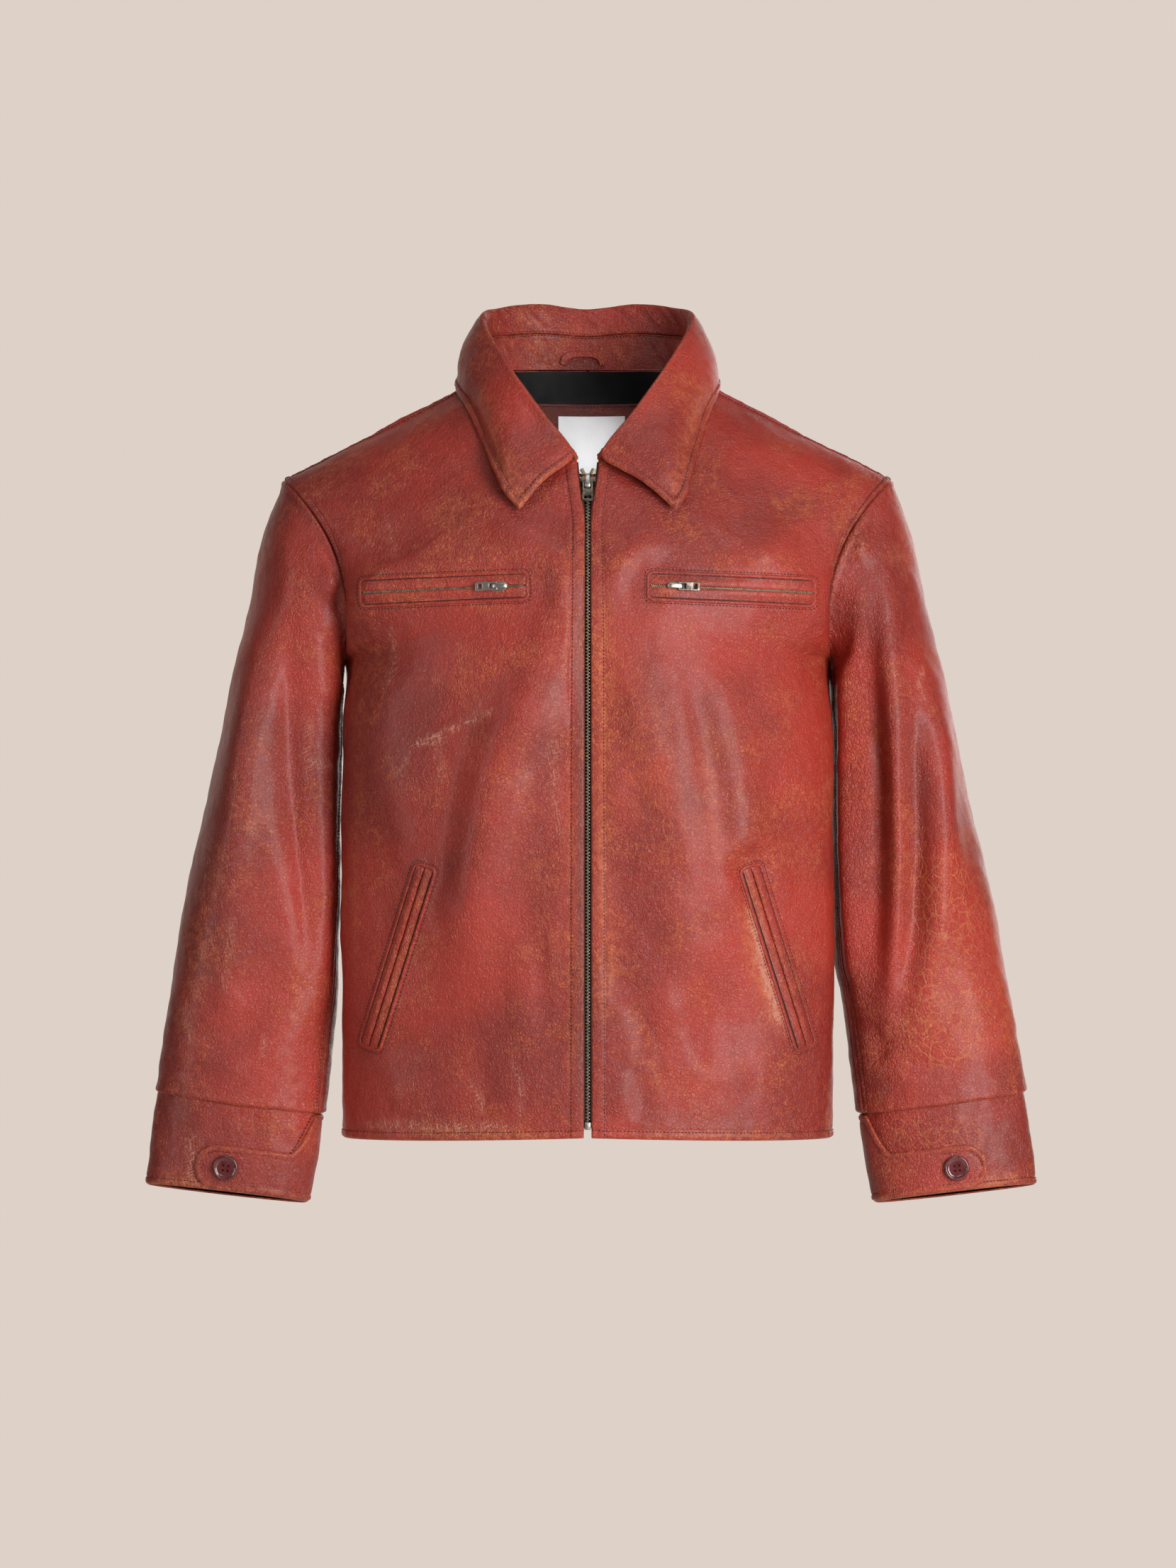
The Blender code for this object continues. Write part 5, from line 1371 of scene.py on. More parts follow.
@dataclass
class Body:
    """Two fronts and a back."""

    finishes: Finishes
    front_columns: int = 130
    front_rows: int = 240
    back_columns: int = 92
    back_rows: int = 200
    zip_seam: SeamShape = SeamShape(12.0, 1.8, 0.8, 0.55, 0.40)
    hem: SeamShape = SeamShape(8.0, 1.8, 0.8, 0.55, 0.45)
    armhole_seam: SeamShape = SeamShape(6.0, 1.6, 0.9, 0.55, 0.40)
    plain_seam: SeamShape = SeamShape(4.0, 1.5, 0.3, 0.0, 0.20)
    neck_end: float = 0.62
    broad_swell: float = 52.0       # size in millimetres of the uneven swells between the folds
    fine_swell: float = 17.0
    grounds: dict = field(default_factory=dict)

    def relief(self, lattice: Lattice, front: bool, seed: float) -> Array:
        """Height of seams, hem and unrest on a half panel."""
        down, across = lattice.lengths(0), lattice.lengths(1)
        middle, outer = lattice.from_edge("first_column"), lattice.from_edge("last_column")
        foot, top = lattice.from_edge("last_row"), lattice.from_edge("first_row")
        on_armhole = ease(1.04, 0.98, lattice.b)
        height = self.hem.height(foot, across, seed)
        height += self.armhole_seam.height(outer, down, seed + 1) * on_armhole
        height += self.plain_seam.height(outer, down, seed + 2) * (1 - on_armhole)
        height += self.armhole_seam.height(top, across, seed + 3)
        if front:
            at_zip = ease(0.58, 0.62, lattice.b)
            height += self.zip_seam.height(middle, down, seed + 4) * at_zip
            height += self.plain_seam.height(middle, down, seed + 5) * (1 - at_zip)
        no_seam = 60                # the back has no seam down its middle to keep away from
        away = np.minimum(np.minimum(middle if front else middle + no_seam, outer), foot)
        draw = int(10 * seed)
        height += 0.9 * unrest(lattice.points, self.broad_swell, draw) * ease(4, 30, away)
        return height + 0.28 * unrest(lattice.points, self.fine_swell, draw + 1) * ease(3, 12, away)

    def clear_of_pockets(self, lattice: Lattice) -> Array:
        """0 where a pocket lies and 1 away from it, so that folds run out before the pockets."""
        places = np.abs(lattice.points[..., 0]), lattice.points[..., 2]
        spots = np.stack(places, axis=-1)
        keep = np.ones(lattice.a.shape)
        for pocket in (CHEST_POCKET, HAND_POCKET):
            offset, _ = along_path(spots, (pocket.start, pocket.end))
            inner, outer = pocket.clear
            keep *= ease(inner, outer, np.abs(offset))
        return keep

    @staticmethod
    def calmed(lattice: Lattice, height: Array) -> Array:
        """Heights evened out, and normals too, where the rows crowd together below the armhole."""
        near = bell(lattice.b - 1.0, 0.07) * ease(0.1, 0.4, lattice.a)
        turned = lattice.normals * (1 - near)[..., None] + softened(lattice.normals, 16) * near[..., None]
        lattice.normals = unit(turned)
        return height * (1 - near) + softened(height, 40) * near

    def make_front(self, side: Side) -> None:
        """One front with its folds, seams and wear."""
        lattice = Lattice.on(PanelForm(1).points, close_ends(self.front_columns, 0.7),
                             2 * close_ends(self.front_rows, 0.55), lambda a, b: MID_BODY, side.value)
        ridges = RIGHT_FRONT_FOLDS if side is Side.RIGHT else LEFT_FRONT_FOLDS
        away = np.minimum(lattice.from_edge("first_column") + 4, lattice.from_edge("last_column"))
        swell = lattice.fold(ridges, True) * ease(2, 22, away) * ease(2, 16, lattice.from_edge("last_row"))
        height = swell * self.clear_of_pockets(lattice) + self.relief(lattice, True, 1.0 + side.value * 0.4)
        lattice.raise_by(self.calmed(lattice, height))
        lattice.turn_normals()
        lattice.wear(RIGHT_FRONT_WEAR if side is Side.RIGHT else LEFT_FRONT_WEAR, True)
        lattice.wear_edge("last_row", 5.0, 0.6, Wear.RUB)
        lattice.wear_edge("first_column", 3.0, 0.5, Wear.RUB)
        lattice.wear_edge("last_column", 8.0, 0.45, Wear.DARK)
        self.grounds[side] = lattice
        stitches = Stitching(f"stitches_front_{side.word}", self.finishes.thread)
        stitches.add(*lattice.line("first_column", self.zip_seam.stitch,
                                   lambda a, b: b > self.neck_end + 0.01))
        stitches.add(*lattice.line("last_row", self.hem.stitch))
        stitches.add(*lattice.line("last_column", self.armhole_seam.stitch, lambda a, b: b < 0.995))
        stitches.add(*lattice.line("first_row", self.armhole_seam.stitch))
        declare(stitches.build(), ())
        shell = Shell(f"front_hide_{side.word}", [lattice], self.finishes.leather, self.finishes.satin)
        sew(shell, f"front_{side.word}")

    def make_back(self) -> None:
        """The back, two mirrored halves welded down the middle."""
        halves = []
        stitches = Stitching("stitches_back", self.finishes.thread)
        for side in Side:
            half = Lattice.on(PanelForm(-1).points, close_ends(self.back_columns, 0.5),
                              2 * close_ends(self.back_rows, 0.55), lambda a, b: MID_BODY, side.value)
            middle = half.from_edge("first_column")
            swell = half.fold(BACK_FOLDS, False) * ease(2, 20, half.from_edge("last_column"))
            relief = self.relief(half, False, 3.0)
            half.raise_by(self.calmed(half, swell * ease(2, 16, half.from_edge("last_row")) + relief))
            on_middle = (middle == 0) & (half.b >= BACK_STARTS.rows[0][0])
            half.points[..., 0] = np.where(on_middle, 0.0, half.points[..., 0])
            half.turn_normals()
            half.wear(BACK_WEAR, False)
            half.wear_edge("last_row", 5.0, 0.6, Wear.RUB)
            half.wear_edge("last_column", 8.0, 0.35, Wear.DARK)
            halves.append(half)
            stitches.add(*half.line("last_row", self.hem.stitch))
            stitches.add(*half.line("last_column", self.armhole_seam.stitch, lambda a, b: b < 0.995))
        declare(stitches.build(), ())
        sew(Shell("back_hide", halves, self.finishes.leather, self.finishes.satin, weld=True), "back")

    def build(self) -> None:
        """Make the fronts and the back."""
        for side in Side:
            self.make_front(side)
        self.make_back()


# ---- sleeves and cuffs ----

RIGHT_SLEEVE_FOLDS = fold_rows(
    (7, 6, 4.2, -216, -154, -224, -172, -236, -183),
    (9, 8, 7.8, -234, -180, -230, -220, -227, -270, -226, -319, -225, -375, -226, -437, -228, -481, -232,
     -512, -241, -549, -250, -580),
    (9, 10, -6.4, -266, -150, -260, -220, -258, -282, -256, -344, -251, -406, -245, -462, -241, -500),
    (9, 12, 5.2, -292, -170, -294, -251, -299, -313, -306, -370, -316, -430, -324, -500),
    (11, 12, -3.0, -278, -96, -279, -189, -281, -282, -278, -406),
    (8, 8, 2.0, -309, -487, -316, -530, -312, -560),
    (12, 14, -2.0, -262, -480, -275, -520, -300, -560, -330, -590),
    (5, 6, -3.0, -223, -176, -216, -188, -212, -200), (9, 10, -1.6, -350, -560, -300, -580, -262, -600),
    (7, 8, 1.6, -262, -575, -290, -590, -330, -600),
)
LEFT_SLEEVE_FOLDS = fold_rows(
    (6, 6, 3.8, 233, -120, 239, -143, 234, -154),
    (5, 5, 6.0, 240, -150, 236, -220, 232, -282, 230, -340, 231, -400, 234, -470, 238, -530, 242, -585),
    (7, 5, 7.4, 258, -150, 262, -230, 268, -290, 271, -350, 272, -410, 271, -470, 266, -530, 262, -585),
    (5, 5, -4.4, 246, -200, 252, -260, 254, -330, 254, -400, 253, -470, 250, -540),
    (7, 6, -5.2, 286, -260, 288, -330, 288, -400, 284, -470, 276, -530, 266, -580),
    (11, 7, 6.2, 296, -200, 303, -300, 308, -390, 306, -460, 294, -530, 276, -582),
    (8, 9, -2.4, 322, -300, 334, -400, 348, -480, 358, -560), (11, 9, 2.6, 305, -120, 312, -200, 322, -290),
    (8, 8, -2.8, 272, -100, 281, -180, 287, -240), (6, 7, -1.8, 262, -585, 300, -596, 345, -592),
    (5, 6, -2.4, 240, -560, 258, -575, 250, -600), (3, 3, -1.4, 250, -300, 258, -345, 268, -372),
)
# How far a sleeve's inner side leans in to the body: (height, push), from the cuff up.  A push below 0
# stands it off, so that its folds stay clear of the front's.
INNER_LEAN = {
    Side.RIGHT: ((-530, 0.0), (-500, -3.0), (-480, -5.0), (-440, -6.6), (-420, -7.0), (-385, -7.6),
                 (-360, -6.6), (-340, -5.6), (-320, -5.4), (-300, -4.2), (-282, -2.0), (-266, 1.4),
                 (-250, 1.8), (-236, 0.0)),
    Side.LEFT: ((-540, 0.0), (-505, 4.2), (-460, 3.2), (-400, 2.6), (-340, 2.0), (-300, 2.8),
                (-280, 4.6), (-260, 6.2), (-248, 4.4), (-234, 0.0)),
}
SLEEVE_BACK_FOLDS = fold_rows(
    (7, 7, 3.0, 225, -150, 240, -175, 238, -210), (10, 13, 4.2, 262, -170, 258, -260, 262, -350, 276, -440),
    (12, 12, -3.0, 292, -200, 300, -290, 318, -380), (10, 12, -3.2, 235, -300, 262, -335, 300, -345),
    (9, 11, 3.0, 232, -330, 262, -370, 305, -385), (11, 13, 3.4, 240, -400, 262, -470, 292, -540),
    (11, 12, 2.4, 330, -420, 336, -500, 350, -570), (8, 9, -2.0, 300, -500, 300, -550, 312, -600),
)
RIGHT_SLEEVE_WEAR = mark_rows(
    scuff=(
        (3.0, 0.6, -244, -328, -234, -330, -226, -332), (5.0, 0.3, -243, -290, -246, -320, -244, -350),
        (2.0, 0.8, -283, -571, -284, -580, -283, -588), (4.0, 0.35, -312, -470, -314, -500, -318, -530),
        (5.0, 0.3, -330, -380, -334, -420, -338, -450), (4.0, 0.35, -352, -540, -350, -560, -346, -575)),
    dark=(
        (16, 0.25, -285, -110, -282, -240, -276, -400), (26, 0.30, -345, -480, -350, -550, -320, -600),
        # painted shade: darkens the middle of the sleeve's front, where a fold valley lies in shade
        (30, 0.32, -306, -220, -318, -360, -335, -500)),
    crack=((28, 0.30, -300, -520, -280, -560, -300, -600),),
)
LEFT_SLEEVE_WEAR = mark_rows(
    crack=(
        (34, 0.95, 310, -400, 312, -480, 320, -560, 330, -600), (30, 0.80, 290, -540, 310, -585),
        (22, 0.35, 252, -220, 262, -320, 262, -420)),
    rub=((36, 0.08, 300, -420, 315, -520, 330, -600), (10, 0.30, 350, -440, 366, -520, 372, -590),),
    dark=((9, 0.35, 286, -300, 288, -400, 282, -480), (12, 0.40, 236, -560, 244, -600, 262, -625),),
    scuff=((2.4, 0.5, 293, -245, 290, -262, 296, -275), (3.0, 0.3, 341, -428, 352, -438, 358, -445),),
)
SLEEVE_BACK_WEAR = mark_rows(
    crack=((34, 0.85, 262, -310, 290, -360, 300, -400), (26, 0.45, 300, -500, 320, -590),),
    rub=((22, 0.50, 270, -320, 296, -360),),
    dark=((20, 0.30, 300, -150, 320, -260),),
)


@dataclass
class Sleeve:
    """Two-piece sleeve."""

    side: Side
    finishes: Finishes
    top_columns: int = 140
    under_columns: int = 44
    rows: int = 190
    seam_front: float = 157.5
    seam_back: float = 247.5
    plain_seam: SeamShape = SeamShape(5.0, 1.5, 0.4, 0.5, 0.25)
    cap_seam: SeamShape = SeamShape(7.0, 1.8, 1.1, 0.0, 0.5)
    foot_edge: SeamShape = SeamShape(7.0, 2.0, 0.5, 0.0, 0.35)
    area_top: float = 0.150
    area_under: float = 0.044

    def lattice(self, first: float, last: float, columns: int, seed: float) -> Lattice:
        """Lattice of one sleeve piece between two ring angles, with its seams and folds worked in."""
        form = SleeveForm(self.side)
        angles = first + (last - first) * close_ends(columns, 0.6)
        lattice = Lattice.on(form.points, angles, close_ends(self.rows, 0.5), lambda a, b: form.axis(b),
                             self.side.value)
        down, across = lattice.lengths(0), lattice.lengths(1)
        cap, foot = lattice.from_edge("first_row"), lattice.from_edge("last_row")
        height = self.cap_seam.height(cap, across, seed) + self.foot_edge.height(foot, across, seed + 1)
        for edge in ("first_column", "last_column"):
            height += self.plain_seam.height(lattice.from_edge(edge), down, seed + 2)
        ridges = RIGHT_SLEEVE_FOLDS if self.side is Side.RIGHT else LEFT_SLEEVE_FOLDS
        behind = [Fold(tuple((x * self.side.value, z) for x, z in fold.path),
                       *((fold.left, fold.right) if self.side is Side.LEFT else (fold.right, fold.left)),
                       fold.height) for fold in SLEEVE_BACK_FOLDS]
        swell = lattice.fold(ridges, True, 4) + lattice.fold(behind, False, 4)
        draw = int(seed)
        swell += 0.6 * unrest(lattice.points, 46.0, draw) + 0.3 * unrest(lattice.points, 16.0, draw + 1)
        lattice.raise_by(height + swell * ease(2, 14, cap) * ease(1, 12, foot))
        heights, pushes = zip(*INNER_LEAN[self.side])
        inner = ease(256, 230, lattice.points[..., 0] * self.side.value)
        push = np.interp(lattice.points[..., 2], heights, pushes) * inner
        lattice.points = lattice.points - push[..., None] * np.array((self.side.value, 0, 0))
        lattice.turn_normals()
        lattice.wear(RIGHT_SLEEVE_WEAR if self.side is Side.RIGHT else LEFT_SLEEVE_WEAR, True)
        lattice.wear([Mark(mark.kind, tuple((x * self.side.value, z) for x, z in mark.path), mark.half_width,
                           mark.strength) for mark in SLEEVE_BACK_WEAR], False)
        lattice.wear_edge("last_row", 4.0, 0.45, Wear.RUB)
        lattice.wear_edge("first_row", 9.0, 0.40, Wear.DARK)
        return lattice

    def build(self) -> None:
        """Make the top and the under piece."""
        word = self.side.word
        seed = 11.0 if self.side is Side.LEFT else 23.0
        top = self.lattice(self.seam_back - 360, self.seam_front, self.top_columns, seed)
        under = self.lattice(self.seam_front, self.seam_back, self.under_columns, seed)
        stitches = Stitching(f"stitches_sleeve_{word}", self.finishes.thread)
        for edge in ("first_column", "last_column"):
            stitches.add(*top.line(edge, self.plain_seam.stitch, lambda a, b: b > 0.02))
        declare(stitches.build(), ())
        for name, lattice, cut in (
            ("top", top, Cut(0.37, 0.58, self.area_top, "hung", (f"front_hide_{word}",))),
            ("under", under, Cut(0.14, 0.44, self.area_under, "hung", (f"sleeve_top_hide_{word}",))),
        ):
            sew(Shell(f"sleeve_{name}_hide_{word}", [lattice], self.finishes.leather, self.finishes.satin),
                f"sleeve_{name}_{word}")


@dataclass
class Cuff:
    """Cuff band, its buttoned tab and its button."""

    side: Side
    finishes: Finishes
    columns: int = 150
    rows: int = 40
    hem: SeamShape = SeamShape(7.0, 1.9, 0.8, 0.55, 0.45)
    tab_edge: SeamShape = SeamShape(6.0, 1.8, 0.7, 0.5, 0.25)
    tab_wall: float = 1.8
    gap: float = 0.3
    start: float = 176.0        # cuff angle at the inner side, where the tab begins
    round_centre: float = 83.0  # cuff angle at the centre of the round end
    tip: float = 66.5
    middle: float = 0.745       # share down the cuff of the strap's centre line
    half: float = 0.235
    shoulder: tuple = (163.0, 134.0)
    top: float = 0.10
    button_angle: float = 89.0
    high: float = 88.0          # height of the band in millimetres
    fade: float = 0.08          # share of the band over which the tab's bed fades out
    tip_inset: float = 0.86     # degrees that the tip draws back for each millimetre of inset

    def __post_init__(self) -> None:
        """Set the mirror that carries the form, made on the +X side, to this side."""
        self.form = CuffForm(self.side)
        self.mirror = np.array((self.side.value, 1, 1))

    def outline(self, angle: float, inset: float = 0.0) -> tuple[float, float]:
        """Upper and lower edge of the tab at a cuff angle, drawn in by an inset in millimetres."""
        share_inset = inset / self.high
        upper, lower = self.middle - self.half + share_inset, self.middle + self.half - share_inset
        begin, end = self.shoulder
        drop = min(max((begin - angle - 1.1 * inset) / (begin - end), 0.0), 1.0)
        upper = self.top + (upper - self.top) * drop * drop * (3 - 2 * drop)
        tip = self.tip + inset * self.tip_inset
        if angle < self.round_centre:
            reach = (self.round_centre - angle) / (self.round_centre - tip)
            half = (self.half - share_inset) * math.sqrt(max(1 - reach ** 2, 0.0))
            upper, lower = self.middle - half, self.middle + half
        return upper, lower

    def band(self) -> Lattice:
        """Lattice of the cuff, closed round."""
        angles = np.linspace(180, -180, self.columns + 1)
        lattice = Lattice.on(self.form.points, angles, close_ends(self.rows, 0.4),
                             lambda a, b: self.form.axis(b), self.side.value)
        foot = lattice.from_edge("last_row")
        height = self.hem.height(foot, 90 * np.sin(np.radians(lattice.a)), 5.0)
        under_tab = np.vectorize(self.under_tab)(lattice.a, lattice.b)
        swell = 0.8 * unrest(lattice.points, 34.0, 31) + 0.3 * unrest(lattice.points, 14.0, 32)
        lattice.raise_by(height + swell * ease(1, 10, foot) * (1 - under_tab))
        lattice.turn_normals()
        lattice.wear_edge("last_row", 5.0, 0.9, Wear.RUB)
        lattice.wear(RIGHT_CUFF_WEAR if self.side is Side.RIGHT else LEFT_CUFF_WEAR, True)
        return lattice

    def under_tab(self, angle: float, share: float) -> float:
        """1 where the tab covers the cuff, fading to 0 beside it."""
        if not self.tip - 8 < angle < self.start + 4:
            return 0.0
        upper, lower = self.outline(min(max(angle, self.tip), self.start))
        over = min(share - upper, lower - share) + self.fade
        return min(max(over / self.fade, 0.0), 1.0)

    def tab(self) -> Lattice:
        """Lattice of the tab: the cuff's own points moved out."""
        strap = self.round_centre + (self.start - self.round_centre) * (1 - close_ends(74, 0.5))
        end = self.round_centre - (self.round_centre - self.tip) * np.sin(np.radians(np.linspace(6, 86, 18)))
        angles = np.concatenate((strap, end))
        shares = close_ends(26, 0.6)

        def place(a: Array, b: Array) -> Array:
            edges = np.array([self.outline(angle) for angle in a[0]])
            share = edges[:, 0] + (edges[:, 1] - edges[:, 0]) * b
            return self.form.points(a, share)

        lattice = Lattice.on(place, angles, shares, lambda a, b: self.form.axis(b), self.side.value)
        lattice.raise_by(np.full(lattice.a.shape, self.gap + self.tab_wall))
        rim = np.concatenate((lattice.points[0], lattice.points[1:, -1], lattice.points[-1, ::-1]))
        away = np.min(np.linalg.norm(lattice.points[:, :, None] - rim[None, None], axis=-1), axis=2)
        away = np.minimum(away, np.minimum(lattice.from_edge("first_row"), lattice.from_edge("last_row")))
        swell = 0.35 * unrest(lattice.points, 20.0, 41) * ease(1, 8, away)
        lattice.raise_by(self.tab_edge.height(away, lattice.lengths(1), 6.0) + swell)
        lattice.worn[Wear.RUB.value] = np.clip(0.75 * np.exp(-away / 2.6), 0, 1)
        return lattice

    def stitch_tab(self, stitches: Stitching, inset: float) -> None:
        """Row of stitches round the tab, an inset in from its edge."""
        tip = self.tip + inset * self.tip_inset
        angles = list(np.linspace(self.start - 2, self.round_centre, 60))
        angles += [self.round_centre - (self.round_centre - tip) * math.sin(math.radians(t))
                   for t in np.linspace(4, 90, 16)]
        upper = [(angle, self.outline(angle, inset)[0]) for angle in angles]
        lower = [(angle, self.outline(angle, inset)[1]) for angle in angles]
        path = np.array(upper + lower[-2::-1])
        spots = self.form.points(path[:, 0], path[:, 1]) * self.mirror
        ups = spots - self.form.axis(path[:, 1]) * self.mirror
        ups[:, 2] = 0
        ups = unit(ups)
        stitches.add(spots + ups * (self.gap + self.tab_wall - 0.25), ups)

    def button(self) -> Piece:
        """Four-hole button with a raised rim, standing on the tab."""

        def spot(angle: float, share: float) -> Array:
            return self.form.points(np.array(angle), np.array(share)) * self.mirror

        at = spot(self.button_angle, self.middle)
        low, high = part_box(f"cuff_button_{self.side.word}")
        centre = (np.array(low) + np.array(high)) / 2 / MM
        down = spot(self.button_angle, 1.0) - spot(self.button_angle, 0.0)
        side_way = spot(self.button_angle + 4, self.middle) - spot(self.button_angle - 4, self.middle)
        out = unit(np.cross(side_way, down))
        inside = self.form.axis(np.array(self.middle)) * self.mirror
        out = out if np.dot(out, centre - inside) > 0 else -out
        foot = at + out * (2 * self.gap + self.tab_wall)
        shape = bmesh.new()
        profile = ((0.0, 0.0), (9.4, 0.0), (10.5, 0.5), (11.0, 1.3), (10.9, 2.3), (10.3, 3.1), (9.6, 3.4),
                   (8.9, 3.3), (8.3, 2.8), (7.6, 2.35), (6.6, 2.2), (4.0, 2.15), (0.0, 2.1))
        line = [shape.verts.new((radius, 0, height)) for radius, height in profile]
        edges = [shape.edges.new(pair) for pair in zip(line, line[1:])]
        bmesh.ops.spin(shape, geom=line + edges, axis=(0, 0, 1), cent=(0, 0, 0), angle=2 * math.pi, steps=48,
                       use_merge=True)
        bmesh.ops.remove_doubles(shape, verts=shape.verts, dist=1e-4)
        bmesh.ops.recalc_face_normals(shape, faces=shape.faces)
        z_axis = Vector(out)
        y_axis = -Vector(down)
        y_axis = (y_axis - y_axis.project(z_axis)).normalized()
        turn = Matrix((y_axis.cross(z_axis), y_axis, z_axis)).transposed().to_4x4()
        place = Matrix.Scale(MM, 4) @ Matrix.Translation(Vector(foot)) @ turn
        piece = new_piece(f"button_{self.side.word}", shape, self.finishes.button, 50, place)
        drill = bmesh.new()
        for dx, dy in ((-2.1, -2.1), (-2.1, 2.1), (2.1, -2.1), (2.1, 2.1)):
            bmesh.ops.create_cone(drill, cap_ends=True, segments=16, radius1=1.05, radius2=1.05, depth=8,
                                  matrix=Matrix.Translation((dx, dy, 2)))
        drilled(piece, new_piece(f"drill_{self.side.word}", drill, self.finishes.button, place=place))
        return piece

    def build(self) -> None:
        """Make the cuff, its tab, its stitches and its button."""
        word = self.side.word
        band, tab = self.band(), self.tab()
        stitches = Stitching(f"stitches_cuff_{word}", self.finishes.thread)
        stitches.add(*band.line("last_row", self.hem.stitch))
        self.stitch_tab(stitches, self.tab_edge.stitch)
        declare(stitches.build(), ())
        sew(Shell(f"cuff_hide_{word}", [band], self.finishes.leather, self.finishes.satin, weld=True),
            f"cuff_{word}")
        sew(Shell(f"cuff_tab_hide_{word}", [tab], self.finishes.leather, wall=self.tab_wall),
            f"cuff_tab_{word}")
        declare(self.button(), (f"cuff_button_{word}",))


RIGHT_CUFF_WEAR = mark_rows(
    scuff=(
        (7.0, 0.6, -348, -655, -344, -675, -350, -700), (3.0, 0.8, -332, -668, -330, -690, -334, -704)),
    rub=((8, 0.7, -375, -694, -330, -700, -290, -708),),
    dark=((20, 0.4, -360, -620, -352, -650),),
    crack=((22, 0.5, -320, -640, -270, -650),),
)
LEFT_CUFF_WEAR = mark_rows(
    crack=((26, 0.6, 260, -645, 300, -655, 350, -650),),
    rub=((7, 0.6, 250, -708, 310, -700, 380, -694),),
    dark=((16, 0.35, 360, -640, 380, -680),),
)


# ---- collar and inside of the neck ----

@dataclass
class Collar:
    """Fall, stand, lining band, facing, label and hanger loop."""

    finishes: Finishes
    fronts: Ground
    clearance: float = 3.6      # from a front's face to the fall's face
    stand_end: float = -72.0
    wall: float = 1.6
    edge: SeamShape = SeamShape(7.0, 1.9, 0.9, 0.6, 0.35)
    stand_seam: SeamShape = SeamShape(2.6, 1.0, 0.45, 0.35, 0.2)
    inset: float = 3.4          # from the neck seam in to the lining
    lining_foot: float = -11.0
    facing_foot: float = -78.0
    facing_slope: float = 0.16
    loop_middle: tuple = (-4.0, 21.0)
    loop_outer: tuple = (20.5, 16.0)
    loop_inner: tuple = (14.5, 10.0)
    loop_wall: float = 1.4
    loop_square: float = 0.62       # 1 is an oval, less is squarer
    loop_clearance: float = 0.7

    @staticmethod
    def around(a: Array, read: Callable) -> Array:
        """Read a curve of the +X half all the way round: angles past 90 are the wearer's left."""
        left = a > 90
        angle = np.where(left, 180 - a, a)
        values = read(angle)
        return values * np.stack((np.where(left, 1, -1), np.ones(a.shape), np.ones(a.shape)), axis=-1)

    def fall_place(self, a: Array, t: Array) -> Array:
        """Points of the fall from the right point (-90) round to the left point (270)."""
        angle = np.where(a > 90, 180 - a, a)
        right = FallForm(Side.RIGHT).points(angle, t) * np.array((-1, 1, 1))
        left = FallForm(Side.LEFT).points(angle, t)
        points = np.where((a > 90)[..., None], left, right)
        for index in np.argwhere((angle < 0) & (t > 0.44)):
            row, column = index
            share = float(ease(0.44, 0.56, t[row, column]))
            lifted = self.fronts.lift(points[row, column], self.clearance)
            points[row, column] += (lifted - points[row, column]) * share
        return points

    def make_fall(self) -> None:
        """The folded leaf with its worn roll and edges."""
        angles = np.concatenate((-90 + 180 * close_ends(112, 0.35), 90 + 180 * close_ends(112, 0.35)[1:]))
        lattice = Lattice.on(self.fall_place, angles, close_ends(76, 0.45),
                             lambda a, t: self.around(a, NECK.at))
        foot = lattice.from_edge("last_row")
        ends = np.minimum(lattice.from_edge("first_column"), lattice.from_edge("last_column"))
        along = lattice.lengths(1) + lattice.lengths(0)
        top = lattice.from_edge("first_row")
        leaf = ease(0.36, 0.50, lattice.b)
        away = np.minimum(foot, ends)
        height = self.edge.height(away, along, 8.0) * np.maximum(leaf, ease(16, 6, ends))
        height += self.stand_seam.height(top, lattice.lengths(1), 9.0)
        folded = lattice.fold(COLLAR_FOLDS, True) * ease(3, 14, away)
        swell = 0.8 * unrest(lattice.points, 40.0, 51) + 0.32 * unrest(lattice.points, 15.0, 52)
        round_the_back = ease(-30, 10, 90 - np.abs(lattice.a - 90))
        behind = ease(0.02, 0.12, lattice.b) * ease(0.34, 0.24, lattice.b) * round_the_back
        crumpled = 0.9 * ripple(lattice.lengths(1), 19.0, 6.0) + 0.5 * ripple(lattice.lengths(1), 8.0, 2.0)
        lattice.raise_by(height + (folded + swell) * ease(2, 12, away) * np.maximum(leaf, 0.3)
                         + crumpled * behind)
        lattice.turn_normals()
        lattice.wear(COLLAR_WEAR, True)
        lattice.wear_edge("last_row", 3.2, 0.95, Wear.RUB)
        for edge in ("first_column", "last_column"):
            lattice.wear_edge(edge, 3.0, 0.8, Wear.RUB)
        roll = 0.5 * bell(lattice.b - 0.33, 0.05) * (0.6 + 0.4 * unrest(lattice.points, 24, 53))
        lattice.worn[Wear.RUB.value] = np.clip(lattice.worn[Wear.RUB.value] + roll, 0, 1)
        stitches = Stitching("stitches_collar", self.finishes.thread)
        stitches.add(*lattice.line("last_row", self.edge.stitch, lambda a, t: -85.6 < a < 265.6))
        for edge in ("first_column", "last_column"):
            stitches.add(*lattice.line(edge, self.edge.stitch, lambda a, t: 0.40 < t < 0.947))
        stitches.add(*lattice.line("first_row", self.stand_seam.stitch, lambda a, t: -60 < a < 240))
        stand = self.stand()
        stitches.add(*stand.line("last_row", self.stand_seam.stitch, lambda a, t: -60 < a < 240))
        declare(stitches.build(), ())
        sew(Shell("collar_fall_hide", [lattice], self.finishes.leather, wall=self.wall), "collar_fall")
        sew(Shell("collar_stand_hide", [stand], self.finishes.leather, wall=self.wall), "collar_stand")

